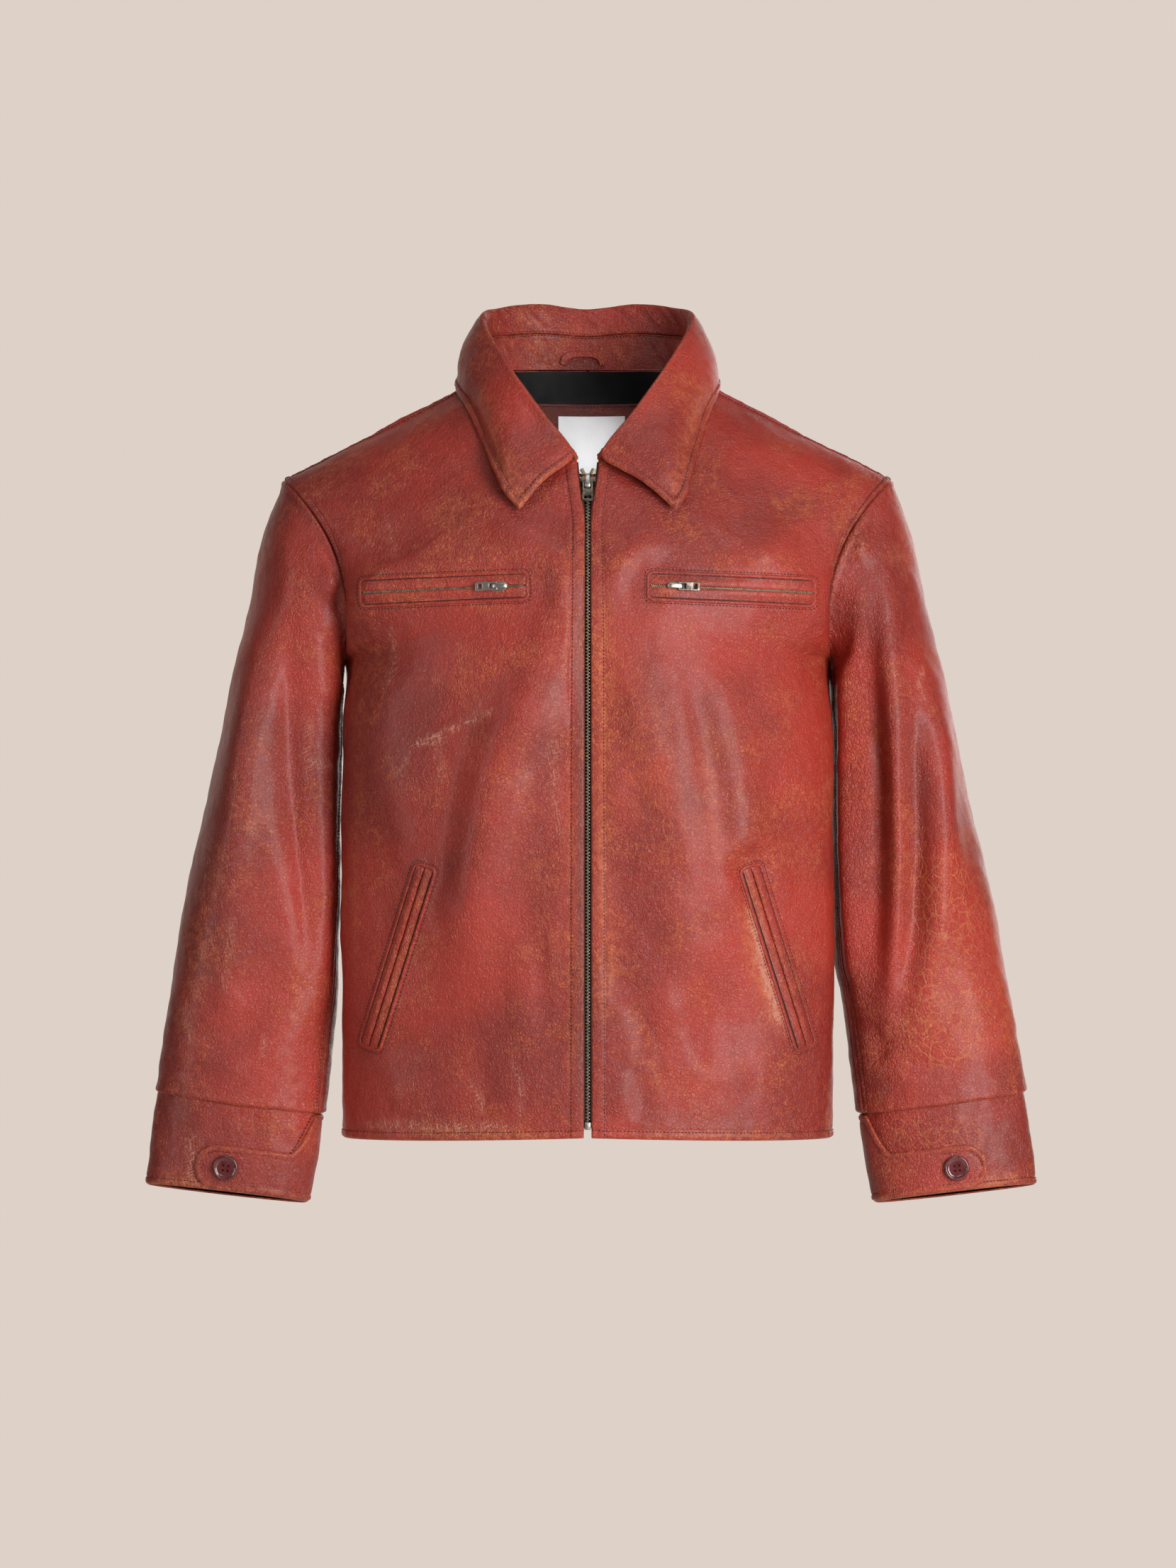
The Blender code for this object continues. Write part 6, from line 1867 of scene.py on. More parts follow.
    def stand(self) -> Lattice:
        """Lattice of the stand's neck side."""
        def place(a: Array, b: Array) -> Array:
            def rise(angle: Array) -> Array:
                base, roll = NECK.at(angle), COLLAR.at(angle)[..., :3]
                top = base + (roll - base) * STAND_TOP
                up = (top - base) / np.linalg.norm(top - base, axis=-1, keepdims=True)
                low = base + np.array((0, 0, 1.26))
                return low + (top - up * 0.3 - low) * b[..., None]
            return self.around(a, rise)

        angles = np.linspace(self.stand_end, 180 - self.stand_end, 161)
        lattice = Lattice.on(place, angles, close_ends(14, 0.4),
                             lambda a, b: place(a, b) + self.around(a, outwards) * 10)
        seam = self.stand_seam.height(lattice.from_edge("last_row"), lattice.lengths(1), 4.0)
        clear_of_loop = ease(24, 34, np.abs(lattice.points[..., 0] - self.loop_middle[0]))
        crumpled = ripple(lattice.lengths(1), 15.0, 3.0) * np.sin(np.pi * lattice.b)
        lattice.raise_by(seam + 0.25 * unrest(lattice.points, 16.0, 61)
                         + 0.9 * crumpled * (0.25 + 0.75 * clear_of_loop))
        lattice.turn_normals()
        # painted shade over the stand, with a deeper painted shadow inside the hanger loop, laid in the dark
        # attribute
        across = (lattice.points[..., 0] - self.loop_middle[0]) / self.loop_inner[0]
        up = (lattice.points[..., 2] - self.loop_middle[1]) / self.loop_inner[1]
        in_loop = ease(1.35, 1.0, np.abs(across) ** 3 + np.abs(up) ** 3)
        shade = 0.22 + 0.16 * unrest(lattice.points, 20.0, 62) + 0.5 * in_loop
        lattice.worn[Wear.DARK.value] = np.clip(shade, 0, 1)
        lattice.worn[Wear.RUB.value] = np.clip(0.35 * unrest(lattice.points, 14.0, 63), 0, 1) * (1 - in_loop)
        return lattice

    def inside_neck(self, a: Array, z: Array, depth: float) -> Array:
        """Face that hangs inside the back neck, a depth in from the lining's outer face."""
        base = self.around(a, NECK.at)
        away = self.around(a, outwards)
        points = base - away * (self.inset + depth)
        points[..., 1] += np.maximum(self.lining_foot - z, 0.0) * self.facing_slope
        points[..., 2] = z
        return points

    def hang(self, angles: Array, rows: Array, top: Callable, foot: float, depth: float) -> Lattice:
        """Lattice of one band inside the neck."""
        def place(a: Array, b: Array) -> Array:
            high = top(a)
            return self.inside_neck(a, high + (foot - high) * b, depth)

        return Lattice.on(place, angles, rows, lambda a, b: place(a, b) + self.around(a, outwards) * 10)

    def make_inside(self) -> None:
        """Satin band, leather facing below it and the bare label on the facing."""
        angles = np.linspace(30, 150, 101)
        lining_wall, facing_wall, label_wall = 0.8, 1.2, 0.5
        lining = self.hang(angles, close_ends(14, 0.3), lambda a: self.around(a, NECK.at)[..., 2] - 1.2,
                           self.lining_foot, lining_wall)
        middle = np.sin(np.pi * lining.b)
        lining.raise_by(0.5 * middle * ripple(lining.lengths(1), 34.0, 2.0)
                        + 0.25 * unrest(lining.points, 12, 71))
        facing = self.hang(angles, close_ends(40, 0.5), lambda a: np.full(a.shape, self.lining_foot - 0.3),
                           self.facing_foot, facing_wall)
        seam = SeamShape(3.0, 1.0, 0.4, 0.3, 0.25)
        near = np.minimum(facing.from_edge("first_row"), facing.from_edge("last_row"))
        facing.raise_by(seam.height(near, facing.lengths(1), 3.0))
        label = self.hang(np.linspace(71, 114, 43), close_ends(36, 0.4), lambda a: np.full(a.shape, -22.0),
                          -72.0, facing_wall + 0.3 + label_wall)
        label.raise_by(0.35 * unrest(label.points, 30, 81) * ease(2, 12, label.from_edge("first_row")) + 0.35)
        sewn = Stitching("stitches_label", self.finishes.label, pitch=3.0, length=2.2, thick=0.4)
        sewn.add(*label.line("first_row", 1.2))
        sewn.add(*label.line("last_row", 1.2))
        declare(sewn.build(), ())
        tacks = Stitching("stitches_facing", self.finishes.thread)
        tacks.add(*facing.line("first_row", seam.stitch))
        tacks.add(*facing.line("last_row", seam.stitch))
        declare(tacks.build(), ())
        for name, lattice, finish, wall, node, slot, cut in (
            ("neck_lining_satin", lining, self.finishes.satin, lining_wall, "neck_lining", "satin",
             Cut(0.235, 0.028, 0.0046, "hung", ("collar_stand_hide",))),
            ("back_facing_hide", facing, self.finishes.inner_leather, facing_wall, "back_facing",
             "facing_leather", Cut(0.225, 0.068, 0.0112, "hung", ("neck_lining_satin",))),
            ("neck_label_cloth", label, self.finishes.label, label_wall, "neck_label", "label_cloth",
             Cut(0.060, 0.052, 0.0030, "laid", ("back_facing_hide",))),
        ):
            lattice.turn_normals()
            sew(Shell(name, [lattice], finish, wall=wall), node)

    def make_loop(self) -> None:
        """Flat leather loop to hang the jacket by."""
        def place(a: Array, b: Array) -> Array:
            wide = self.loop_outer[0] + (self.loop_inner[0] - self.loop_outer[0]) * b
            high = self.loop_outer[1] + (self.loop_inner[1] - self.loop_outer[1]) * b
            turn = np.radians(a)
            x = self.loop_middle[0] + wide * np.sign(np.cos(turn)) * np.abs(np.cos(turn)) ** self.loop_square
            z = self.loop_middle[1] + high * np.sin(turn) ** self.loop_square
            angle = 90 - np.abs(x) * 0.75
            base, roll = NECK.at(angle), COLLAR.at(angle)[..., :3]
            share = (z - base[..., 2]) / (roll[..., 2] - base[..., 2])
            y = base[..., 1] + (roll[..., 1] - base[..., 1]) * share
            return np.stack((x, y - self.loop_clearance - self.loop_wall, z), axis=-1)

        lattice = Lattice.on(place, np.linspace(6, 174, 57), close_ends(12, 0.5),
                             lambda a, b: place(a, b) + np.array((0, 10, 0)))
        seam = SeamShape(1.4, 0.8, 0.25, 0.2, 0.1)
        near = np.minimum(lattice.from_edge("first_row"), lattice.from_edge("last_row"))
        lattice.raise_by(seam.height(near, lattice.lengths(1), 2.0))
        lattice.turn_normals()
        lattice.worn[Wear.RUB.value] = np.clip(0.5 * np.exp(-near / 1.2), 0, 1)
        stitches = Stitching("stitches_loop", self.finishes.thread, pitch=2.6, length=1.9, thick=0.45)
        for edge in ("first_row", "last_row"):
            stitches.add(*lattice.line(edge, seam.stitch))
        declare(stitches.build(), ())
        sew(Shell("hanger_loop_hide", [lattice], self.finishes.leather, wall=self.loop_wall), "hanger_loop")

    def build(self) -> None:
        """Make every piece of the collar and the neck."""
        self.make_fall()
        self.make_inside()
        self.make_loop()


COLLAR_FOLDS = fold_rows(
    (9, 9, 1.4, -84, -10, -76, -40, -64, -74, -56, -100), (7, 9, -1.3, -60, 20, -52, -14, -38, -48),
    (6, 7, 1.0, -40, -30, -30, -52, -20, -66), (10, 8, 1.5, 88, -6, 80, -36, 70, -66, 64, -96),
    (8, 8, -1.2, 62, 18, 54, -12, 38, -44), (6, 7, -0.9, 96, -30, 90, -60, 80, -90),
    (5, 6, 1.1, 70, -30, 58, -52, 40, -66), (7, 6, 0.9, -96, 6, -90, -30, -80, -60),
)
COLLAR_WEAR = mark_rows(
    rub=(
        (9, 0.75, -64, -110, -48, -102, -30, -86, -16, -70),
        (9, 0.65, 64, -112, 46, -104, 28, -88, 14, -72), (12, 0.40, -70, -60, -62, -84, -60, -104),
        (14, 0.40, -52, 30, -34, 36, 30, 36, 56, 30), (6, 0.4, -96, 0, -84, -40, -66, -90),
        (6, 0.4, 100, 0, 90, -44, 74, -96)),
    crack=((18, 0.45, -90, -20, -76, -56, -64, -96), (18, 0.5, 92, -20, 80, -56, 68, -98),),
    dark=((9, 0.3, -46, 10, -36, -30, -22, -60), (9, 0.3, 48, 10, 38, -28, 24, -58),),
)


# ---- pockets ----

@dataclass
class Pockets:
    """Zipped chest pocket and slanted hand pocket of one front."""

    side: Side
    finishes: Finishes
    ground: Ground
    gap: float = 0.3
    welt: float = 1.5           # how far the lips stand up
    slit: float = 0.75          # from the chest pocket's middle line to a lip
    hand_slit: float = 0.35
    ridge_half: float = 1.6     # half width of the turned edge round a pocket
    ridge_high: float = 1.25
    well: float = 0.9           # half width of the gap between the lips and the turned edge
    stitch_out: float = 4.2     # from a pocket's frame out to its stitches
    corner: float = 4.0
    lip_wall: float = 0.9
    crest: float = 2.6          # from the slit to the highest line of a lip
    overlap: float = 0.8        # how far a lip runs on past the ends of the pocket
    step: float = 1.7           # between places of an outline

    def frame_of(self, place: PocketPlace) -> tuple[Array, Array, Array, float]:
        """Start, unit direction, square direction and length of a pocket in front view places."""
        start, end = np.array(place.start), np.array(place.end)
        length = float(np.linalg.norm(end - start))
        line = (end - start) / length
        square = np.array((-line[1], line[0]))
        flip = np.array((self.side.value, 1))
        return start * flip, line * flip, square * flip, length

    def lip(self, place: PocketPlace, towards: int, slit: float) -> Lattice:
        """Lattice of one lip, puffed up towards the slit."""
        start, line, square, length = self.frame_of(place)
        across = slit + (place.half - self.well - slit) * close_ends(16, 0.5)
        along = -self.overlap + (length + 2 * self.overlap) * close_ends(120, 0.3)
        grid_s, grid_w = np.meshgrid(along, across)
        spots = start + grid_s[..., None] * line + (towards * grid_w)[..., None] * square
        points, outs = self.ground.lay(spots)
        from_slit = grid_w - slit
        near_end = np.minimum(grid_s + self.overlap, length + self.overlap - grid_s)
        puff = self.welt * np.sqrt(np.clip(1 - ((from_slit - self.crest) / self.crest) ** 2, 0, 1))
        beyond = self.welt * (0.30 + 0.70 * ease(place.half - slit, self.crest, from_slit))
        puff = np.where(from_slit > self.crest, beyond, puff)
        wave = 1 + 0.16 * ripple(grid_s, 17.0, 3.0 + towards) + 0.07 * ripple(grid_s, 5.0, 1.0)
        height = self.gap + 1.0 + puff * wave * ease(-0.5, 5.0, near_end)
        lattice = Lattice(grid_s, grid_w, points, outs)
        lattice.raise_by(height - 0.55)
        lattice.normals = Lattice.facing(lattice.points, outs)
        rub = 0.30 * bell(from_slit - 2.0, 2.2) * (0.6 + 0.4 * ripple(grid_s, 31.0, 5.0))
        lattice.worn[Wear.RUB.value] = np.clip(rub, 0, 1)
        # painted shade along the lip's outer rim, next to the gap under the turned edge
        lattice.worn[Wear.DARK.value] = np.clip(0.8 * np.exp(-(place.half - grid_w) / 1.6), 0, 1)
        return lattice

    def outline(self, place: PocketPlace, out_by: float) -> Array:
        """Rounded rectangle round a pocket, in front view places; its first place comes again at its end."""
        start, line, square, length = self.frame_of(place)
        half, radius = place.half + out_by, self.corner + out_by * 0.5
        low, high = -out_by - self.overlap, length + out_by + self.overlap
        path = []
        corners = ((high - radius, half - radius), (low + radius, half - radius),
                   (low + radius, radius - half), (high - radius, radius - half))
        for n, (centre_s, centre_w) in enumerate(corners):
            for turn in np.radians(np.linspace(90 * n, 90 * n + 90, 9)):
                path.append(start + (centre_s + radius * math.cos(turn)) * line
                            + (centre_w + radius * math.sin(turn)) * square)
        path.append(path[0])
        path = np.array(path)
        passed = passed_along(path)
        wanted = np.linspace(0, passed[-1], int(passed[-1] / self.step))
        return np.stack([np.interp(wanted, passed, path[:, n]) for n in range(2)], axis=1)

    def make(self, name: str, place: PocketPlace, slit: float, nodes: tuple, rub: Iterable[Mark]) -> None:
        """Lips, turned edge, a dark strip of painted shade in the gap between them, and stitches of one
        pocket.
        """
        word = self.side.word
        points, outs = self.ground.lay(self.outline(place, self.ridge_half * 0.85))
        shape = bmesh.new()
        spread = 1 + 0.12 * ripple(np.arange(len(points)) * self.step, 13.0, 4.0)
        high = float(self.ridge_high * MM * spread.mean())
        swept(shape, points * MM, outs, self.ridge_half * MM, high, 12, True)
        declare(new_piece(f"{name}_edge_{word}", shape, self.finishes.leather, 60), ())
        # a thin dark strip of painted shade in the gap between the lips and the turned edge
        shape = bmesh.new()
        points, outs = self.ground.lay(self.outline(place, -0.3 * self.well))
        swept(shape, (points + 0.25 * outs) * MM, outs, self.well * MM, 0.08 * MM, 8, True)
        declare(new_piece(f"{name}_well_{word}", shape, self.finishes.umber, 60), ())
        stitches = Stitching(f"stitches_{name}_{word}", self.finishes.thread)
        stitches.add(*self.ground.lay(self.outline(place, self.stitch_out)))
        declare(stitches.build(), ())
        for towards, node in zip((1, -1), nodes):
            lattice = self.lip(place, towards, slit)
            lattice.wear(rub, True)
            sew(Shell(f"{node}_hide_{word}", [lattice], self.finishes.leather, wall=self.lip_wall),
                f"{node}_{word}")

    def make_chain(self) -> None:
        """Fine teeth that show between the lips of the chest pocket."""
        start, line, _, length = self.frame_of(CHEST_POCKET)
        steps = np.arange(0.5, length - 0.5, 0.85)
        spots = start + steps[:, None] * line
        points, outs = self.ground.lay(spots)
        sides = np.where(np.arange(len(steps)) % 2, 0.42, -0.42)
        along = np.gradient(points, axis=0)
        across = unit(np.cross(along, outs))
        shape = bmesh.new()
        boxed(shape, (-0.5, -0.55, -0.35), (0.5, 0.55, 0.35), 0.14, 1)
        piece = Repeat(f"chest_teeth_{self.side.word}", shape, self.finishes.teeth)
        declare(piece.build(points + outs * 0.75 + across * sides[:, None], along, outs),
                (f"chest_chain_{self.side.word}",))
        shape = bmesh.new()
        swept(shape, (points + outs * 0.35) * MM, outs, 1.7 * MM, 0.12 * MM, 8)
        declare(new_piece(f"chest_zip_ground_{self.side.word}", shape, self.finishes.tape_plain), ())

    def build(self) -> None:
        """Make both pockets."""
        worn = RIGHT_POCKET_WEAR if self.side is Side.RIGHT else LEFT_POCKET_WEAR
        self.make("chest_pocket", CHEST_POCKET, self.slit, ("chest_lip_upper", "chest_lip_lower"), worn)
        self.make("hand_pocket", HAND_POCKET, self.hand_slit, ("hand_lip_back", "hand_lip_front"), worn)
        self.make_chain()


RIGHT_POCKET_WEAR = mark_rows(
    scuff=((3.0, 0.9, -150, -190, -120, -190, -90, -189),),
    rub=((4.0, 0.8, -186, -192, -140, -191, -100, -190), (5.0, 0.4, -140, -430, -160, -500, -182, -565),),
)
LEFT_POCKET_WEAR = mark_rows(
    rub=((3.0, 0.35, 60, -188, 120, -190, 180, -192), (5.0, 0.9, 136, -430, 152, -490, 172, -560),),
    scuff=((3.0, 0.7, 140, -450, 154, -500, 168, -550),),
)


# ---- zips ----

@dataclass(frozen=True)
class ZipLine:
    """Where the closed main zip runs, behind the edges of the fronts."""

    slope: float = 0.10         # how the front falls back for each millimetre away from the zip

    def frame(self, drop: Array) -> tuple[Array, Array]:
        """Half gap and depth of the fronts' edges, and the unit normal there, at drops below the origin."""
        here = CENTRE_FRONT.at(drop)
        ahead, behind = CENTRE_FRONT.at(drop + 2)[..., 1], CENTRE_FRONT.at(drop - 2)[..., 1]
        out = np.stack((0 * drop, -4 + 0 * drop, behind - ahead), axis=-1)
        return here, unit(out)

    def points(self, drop: Array, x: Array, depth: float) -> Array:
        """Points a depth in from the fronts' outer face."""
        here, out = self.frame(drop)
        y = here[..., 1] + (np.abs(x) - here[..., 0]) * self.slope
        return np.stack((x, y, -drop), axis=-1) - out * depth


@dataclass(frozen=True)
class Hinge:
    """Where a pull turns: the frame of its slider, with Z along the zip and Y out of it."""

    node: str
    place: tuple            # metres
    x_axis: tuple
    y_axis: tuple
    z_axis: tuple
    half: float             # half width of the slider
    pull_half: float
    bail_half: float

    def part(self, kind: str) -> str:
        """Node of the zip's slider or pull."""
        first, *side = self.node.split("_")
        return "_".join((first, kind, *side))

    @property
    def matrix(self) -> Matrix:
        """From millimetres about the axis to metres in the world."""
        turn = Matrix((self.x_axis, self.y_axis, self.z_axis)).transposed().to_4x4()
        return Matrix.Translation(self.place) @ turn @ Matrix.Scale(MM, 4)


MAIN_HINGE = Hinge("zip", (0.0, -0.112192, -0.091832), (-1.0, 0.0, 0.0), (0.0, -0.874, 0.4859),
                   (0.0, 0.4859, 0.874), 6.2, 4.8, 2.2)


def chest_hinge(side: Side) -> Hinge:
    """Hinge of a chest pocket's pull."""
    s = side.value
    return Hinge(f"chest_{side.word}", (s * 0.077032, -0.141082, -0.180558),
                 (0.003588, -s * 0.133806, -s * 0.991001), (s * 0.2244, -0.9656, 0.1312),
                 (-s * 0.9745, -0.2228, 0.0266), 4.0, 3.8, 2.0)


@dataclass
class Slider:
    """Slider with its bail and pull."""

    hinge: Hinge
    finishes: Finishes
    plate_y: tuple = (-3.0, -1.9)
    back_y: tuple = (-6.6, -5.4)
    pull_thick: float = 0.6
    pull_z: tuple = (-18.3, -16.0, -12.6, -6.1, -0.7, 0.7)
    pull_hole: float = 0.59     # share of the pull's half width
    bail: tuple = ((-2.7, 9.3), (-1.3, 9.55), (0.2, 8.9), (1.15, 7.2), (1.42, 4.6), (1.42, 1.0), (1.2, -1.9),
                   (0.2, -3.5), (-1.2, -4.2), (-2.7, -4.4))

    @property
    def metal(self) -> Material:
        """Finish of the plate and the pull: one chest zip is rubbed brighter than the others."""
        return self.finishes.pewter if self.hinge.node == "chest_right" else self.finishes.dark_brass

    def outline(self) -> list:
        """Half of the plate's outline as (x, z), from its foot up."""
        half = self.hinge.half
        if self.hinge is MAIN_HINGE:
            shares = ((0.50, -5.5), (0.60, -4.9), (0.63, -1.0), (0.68, 1.4), (0.90, 3.4), (1.0, 5.0),
                      (0.97, 6.6), (0.78, 7.5), (0.30, 7.3))
        else:
            shares = ((0.72, -5.5), (0.92, -4.7), (1.0, -2.0), (1.0, 4.6), (0.90, 6.6), (0.62, 7.6))
        return [(share * half, z) for share, z in shares]

    @staticmethod
    def slab(shape: Shape, side: list, low: float, high: float) -> None:
        """Add a plate between two heights, given one half of its outline as (x, z)."""
        corners = side + [(-x, z) for x, z in reversed(side)]
        face = shape.faces.new([shape.verts.new((x, low, z)) for x, z in corners])
        grown = bmesh.ops.extrude_face_region(shape, geom=[face])["geom"]
        moved = [item for item in grown if isinstance(item, bmesh.types.BMVert)]
        bmesh.ops.translate(shape, vec=(0, high - low, 0), verts=moved)

    def make_body(self) -> None:
        """Plates, post and turned sides."""
        shape = bmesh.new()
        self.slab(shape, self.outline(), *self.plate_y)
        if self.hinge is MAIN_HINGE:
            self.slab(shape, self.outline(), *self.back_y)
            boxed(shape, (-1.2, self.back_y[0] + 0.3, 6.0), (1.2, self.plate_y[1] - 0.2, 7.3), 0.2)
            for sign in (-1, 1):
                low, high = sorted((sign * 3.15, sign * 3.8))
                boxed(shape, (low, -3.7, -5.0), (high, -2.6, 0.6), 0.15)
        piece = new_piece(f"{self.hinge.node}_slider_plate", shape, self.metal, place=self.hinge.matrix)
        rounded(piece, 0.28)
        declare(piece, (self.hinge.part("slider"),))
        shape = bmesh.new()
        path = np.array([(0, y, z) for y, z in self.bail])
        path = read_rows(path, np.linspace(0, len(path) - 1, 40))
        for _ in range(3):
            path[1:-1] = (path[:-2] + 2 * path[1:-1] + path[2:]) / 4
        along = np.gradient(path, axis=0)
        out = np.cross((1.0, 0, 0), along)
        swept(shape, path, unit(out), self.hinge.bail_half, 0.46, 14)
        declare(new_piece(f"{self.hinge.node}_bail", shape, self.finishes.pewter, 60, self.hinge.matrix), ())

    def make_pull(self) -> None:
        """Tab with a bar, two arms and a square eye."""
        half, hole = self.hinge.pull_half, self.hinge.pull_half * self.pull_hole
        low, eye_low, eye_high, arms_low, arms_high, high = self.pull_z
        outline = [(0.62 * half, low), (0.90 * half, low + 0.35), (half, low + 1.4), (half, eye_high + 1),
                   (0.93 * half, arms_low - 2), (0.95 * half, arms_high - 1), (0.90 * half, high - 0.3),
                   (0.80 * half, high)]
        shape = bmesh.new()
        self.slab(shape, outline, -self.pull_thick, self.pull_thick)
        name = f"{self.hinge.node}_tab"
        piece = new_piece(name, shape, self.metal, place=self.hinge.matrix)
        drill = bmesh.new()
        boxed(drill, (-hole, -2, eye_low), (hole, 2, eye_high), 0.5)
        boxed(drill, (-hole, -2, arms_low), (hole, 2, arms_high), 0.7)
        drilled(piece, new_piece(f"{name}_drill", drill, self.metal, place=self.hinge.matrix))
        rounded(piece, 0.26)
        node = self.hinge.part("pull")
        declare(piece, (node,), body=f"{node}_body")

    def build(self) -> None:
        """Make the slider and its pull."""
        self.make_body()
        self.make_pull()


@dataclass
class MainZip:
    """Tapes, teeth, top stops and box of the front zip."""

    finishes: Finishes
    line: ZipLine = field(default_factory=ZipLine)
    depth: float = 2.8          # from the fronts' outer face in to the middle of the chain
    tape_thick: float = 0.8
    tape_edge: float = 2.2
    tape_width: float = 12.0
    tape_shows: float = 1.2
    pitch: float = 2.75

    def make_tapes(self) -> None:
        """Two woven tapes behind the fronts."""
        for side in Side:
            def place(drop: Array, share: Array) -> Array:
                gap = self.line.frame(drop)[0][..., 0]
                x = np.maximum(self.tape_edge, gap - self.tape_shows) + self.tape_width * share
                return self.line.points(drop, x, self.depth - self.tape_thick / 2)

            lattice = Lattice.on(place, np.linspace(72, 632, 281), np.linspace(0, 1, 9),
                                 lambda a, b: place(a, b) + np.array((0, 10, 0)), side.value)
            sew(Shell(f"zip_tape_weave_{side.word}", [lattice], self.finishes.tape, wall=self.tape_thick),
                f"zip_tape_{side.word}")

    def make_teeth(self) -> None:
        """Closed chain of alternating teeth, and the last teeth above the slider."""
        drops = np.arange(101.6, 633.2, self.pitch / 2)
        sides = np.where(np.arange(len(drops)) % 2, 1.0, -1.0)
        spots = self.line.points(drops, 0 * drops, self.depth)
        for sign in (-1, 1):
            high = np.array((86.0, 88.0))
            gap = self.line.frame(high)[0][..., 0]
            spots = np.concatenate((spots, self.line.points(high, sign * (gap - 2.6), self.depth)))
            drops = np.concatenate((drops, high))
            sides = np.concatenate((sides, (sign, sign)))
        out = self.line.frame(drops)[1]
        along = np.cross(out, np.array((1.0, 0, 0)))
        shape = bmesh.new()
        boxed(shape, (-0.62, -1.28, -0.85), (0.62, 1.28, 0.85), 0.42, 3)
        spots = spots + sides[:, None] * np.array((0.58, 0, 0))
        declare(Repeat("zip_teeth", shape, self.finishes.teeth).build(spots, along, out), ("zip_chain",))

    def make_ends(self) -> None:
        """Box at the foot and the two top stops."""
        foot = np.array(636.75)
        out = self.line.frame(foot)[1]
        centre = self.line.points(foot, np.array(0.0), self.depth)
        turn = Matrix(((1, 0, 0), tuple(out), tuple(np.cross((1, 0, 0), out)))).transposed().to_4x4()
        shape = bmesh.new()
        boxed(shape, (-2.6, -1.1, -3.2), (2.6, 1.1, 3.2), 0.5, 3)
        boxed(shape, (-1.5, 0.9, -2.3), (1.5, 1.35, 2.1), 0.2, 2)
        place = Matrix.Scale(MM, 4) @ Matrix.Translation(Vector(centre)) @ turn
        declare(new_piece("zip_foot_box", shape, self.finishes.pewter, place=place), ("zip_box",))
        for side in Side:
            low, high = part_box(f"zip_stop_{side.word}")
            centre = (np.array(low) + np.array(high)) / 2
            shape = bmesh.new()
            boxed(shape, (-1.7, -1.2, -2.9), (1.7, 1.2, 2.9), 0.8, 4)
            lean = Matrix.Rotation(math.radians(25) * side.value, 4, "Y")
            place = Matrix.Translation(centre) @ lean @ Matrix.Scale(MM, 4)
            declare(new_piece(f"zip_top_{side.word}", shape, self.finishes.brass, place=place),
                    (f"zip_stop_{side.word}",))

    def build(self) -> None:
        """Make the zip."""
        self.make_tapes()
        self.make_teeth()
        self.make_ends()
        Slider(MAIN_HINGE, self.finishes).build()


# ---- studio ----

@dataclass(frozen=True)
class Softbox:
    """Square area light aimed at a point."""

    name: str
    place: tuple
    aim: tuple
    width: float
    height: float
    watts: float
    spread: float = 180.0       # degrees of its beam
    colour: tuple = (1.0, 1.0, 1.0)

    def build(self) -> None:
        """Add the light."""
        lamp = bpy.data.lights.new(self.name, "AREA")
        lamp.shape = "RECTANGLE"
        lamp.size, lamp.size_y = self.width, self.height
        lamp.energy = self.watts
        lamp.color = self.colour
        lamp.spread = math.radians(self.spread)
        holder = bpy.data.objects.new(self.name, lamp)
        holder.location = self.place
        holder.rotation_euler = (Vector(self.aim) - Vector(self.place)).to_track_quat("-Z", "Y").to_euler()
        holder.visible_camera = False
        bpy.context.collection.objects.link(holder)


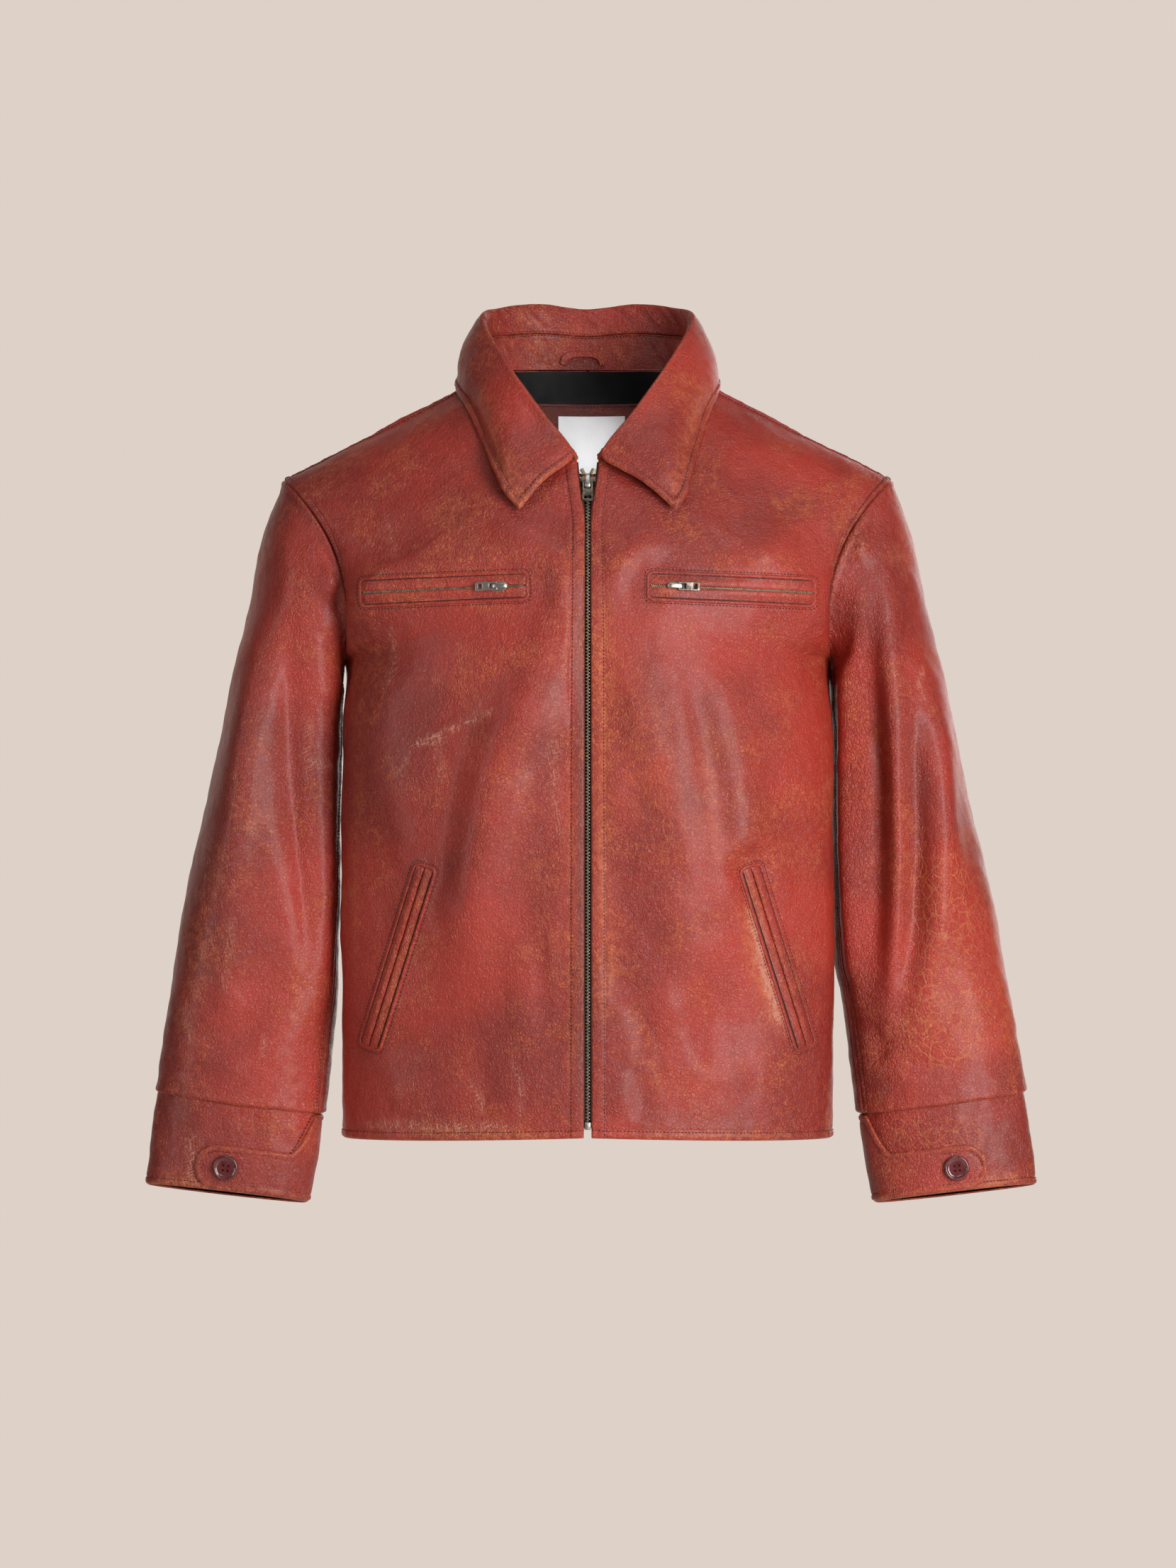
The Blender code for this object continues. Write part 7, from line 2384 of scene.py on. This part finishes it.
@dataclass(frozen=True)
class Studio:
    """Pale floor and surround, soft lights and the camera."""

    backdrop: tuple = (0.730, 0.638, 0.578)
    floor: tuple = (0.70, 0.64, 0.58)
    floor_height: float = -1.5
    strength: float = 1.0
    fill: float = 0.085         # how much light the surround gives, against how bright it looks
    lights: tuple = (
        Softbox("key_left", (-2.6, -1.4, 0.0), (0, 0, -0.4), 0.8, 2.0, 20),
        Softbox("key_right", (1.8, -2.4, -0.1), (0, 0, -0.4), 1.2, 2.2, 103),
        Softbox("top", (0.1, -0.6, 2.2), (0, 0, -0.3), 1.4, 0.9, 14),
        Softbox("front", (0.3, -4.2, 0.35), (0, 0, -0.35), 0.8, 0.8, 12),
        Softbox("neck", (0.0, -0.85, 0.62), (0.0, 0.045, -0.047), 0.05, 0.04, 0.014, 5.0),
        Softbox("back_key", (0.9, 3.4, 0.3), (0, 0, -0.4), 2.6, 2.4, 28),
        Softbox("behind", (0.0, 2.4, -0.2), (0, 0, -0.3), 4.5, 3.5, 30, colour=(1.0, 0.87, 0.79)),
    )

    def build(self) -> None:
        """Make the world, the floor, the lights and the camera."""
        world = bpy.data.worlds.new("studio")
        world.use_nodes = True
        nodes, links = world.node_tree.nodes, world.node_tree.links
        sky = nodes["Background"]
        sky.inputs["Color"].default_value = (*self.backdrop, 1.0)
        sky.inputs["Strength"].default_value = self.strength
        dim = nodes.new("ShaderNodeBackground")
        dim.inputs["Color"].default_value = (*self.backdrop, 1.0)
        dim.inputs["Strength"].default_value = self.fill
        seen = nodes.new("ShaderNodeLightPath")
        both = nodes.new("ShaderNodeMixShader")
        links.new(seen.outputs["Is Camera Ray"], both.inputs[0])
        links.new(dim.outputs[0], both.inputs[1])
        links.new(sky.outputs[0], both.inputs[2])
        links.new(both.outputs[0], nodes["World Output"].inputs["Surface"])
        bpy.context.scene.world = world
        shape = bmesh.new()
        place = Matrix.Translation((0, 0, self.floor_height))
        bmesh.ops.create_grid(shape, x_segments=1, y_segments=1, size=2.5, matrix=place)
        mix = Recipe("pale_floor")
        ground = new_piece("floor", shape, mix.finish(Base_Color=self.floor, Roughness=0.85))
        for light in self.lights:
            light.build()
        lens = bpy.data.cameras.new("view")
        lens.sensor_fit = "VERTICAL"
        lens.sensor_height = 36.0
        lens.lens = 105.0
        camera = bpy.data.objects.new("view", lens)
        camera.location = (0.0003, -4.0, -0.3478)
        camera.rotation_euler = (math.pi / 2, 0, 0)
        bpy.context.collection.objects.link(camera)
        bpy.context.scene.camera = camera
        bpy.context.scene.view_settings.view_transform = "Standard"


def main() -> None:
    """Build the jacket on its frame."""
    logging.basicConfig(level=logging.INFO, format="%(name)s %(message)s", stream=sys.stdout)
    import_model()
    finishes = Finishes()
    body = Body(finishes)
    body.build()
    for side in Side:
        Sleeve(side, finishes).build()
        Cuff(side, finishes).build()
        Pockets(side, finishes, Ground([body.grounds[side]])).build()
        Slider(chest_hinge(side), finishes).build()
    Collar(finishes, Ground(list(body.grounds.values()))).build()
    MainZip(finishes).build()
    Studio().build()


if __name__ == "__main__":
    main()
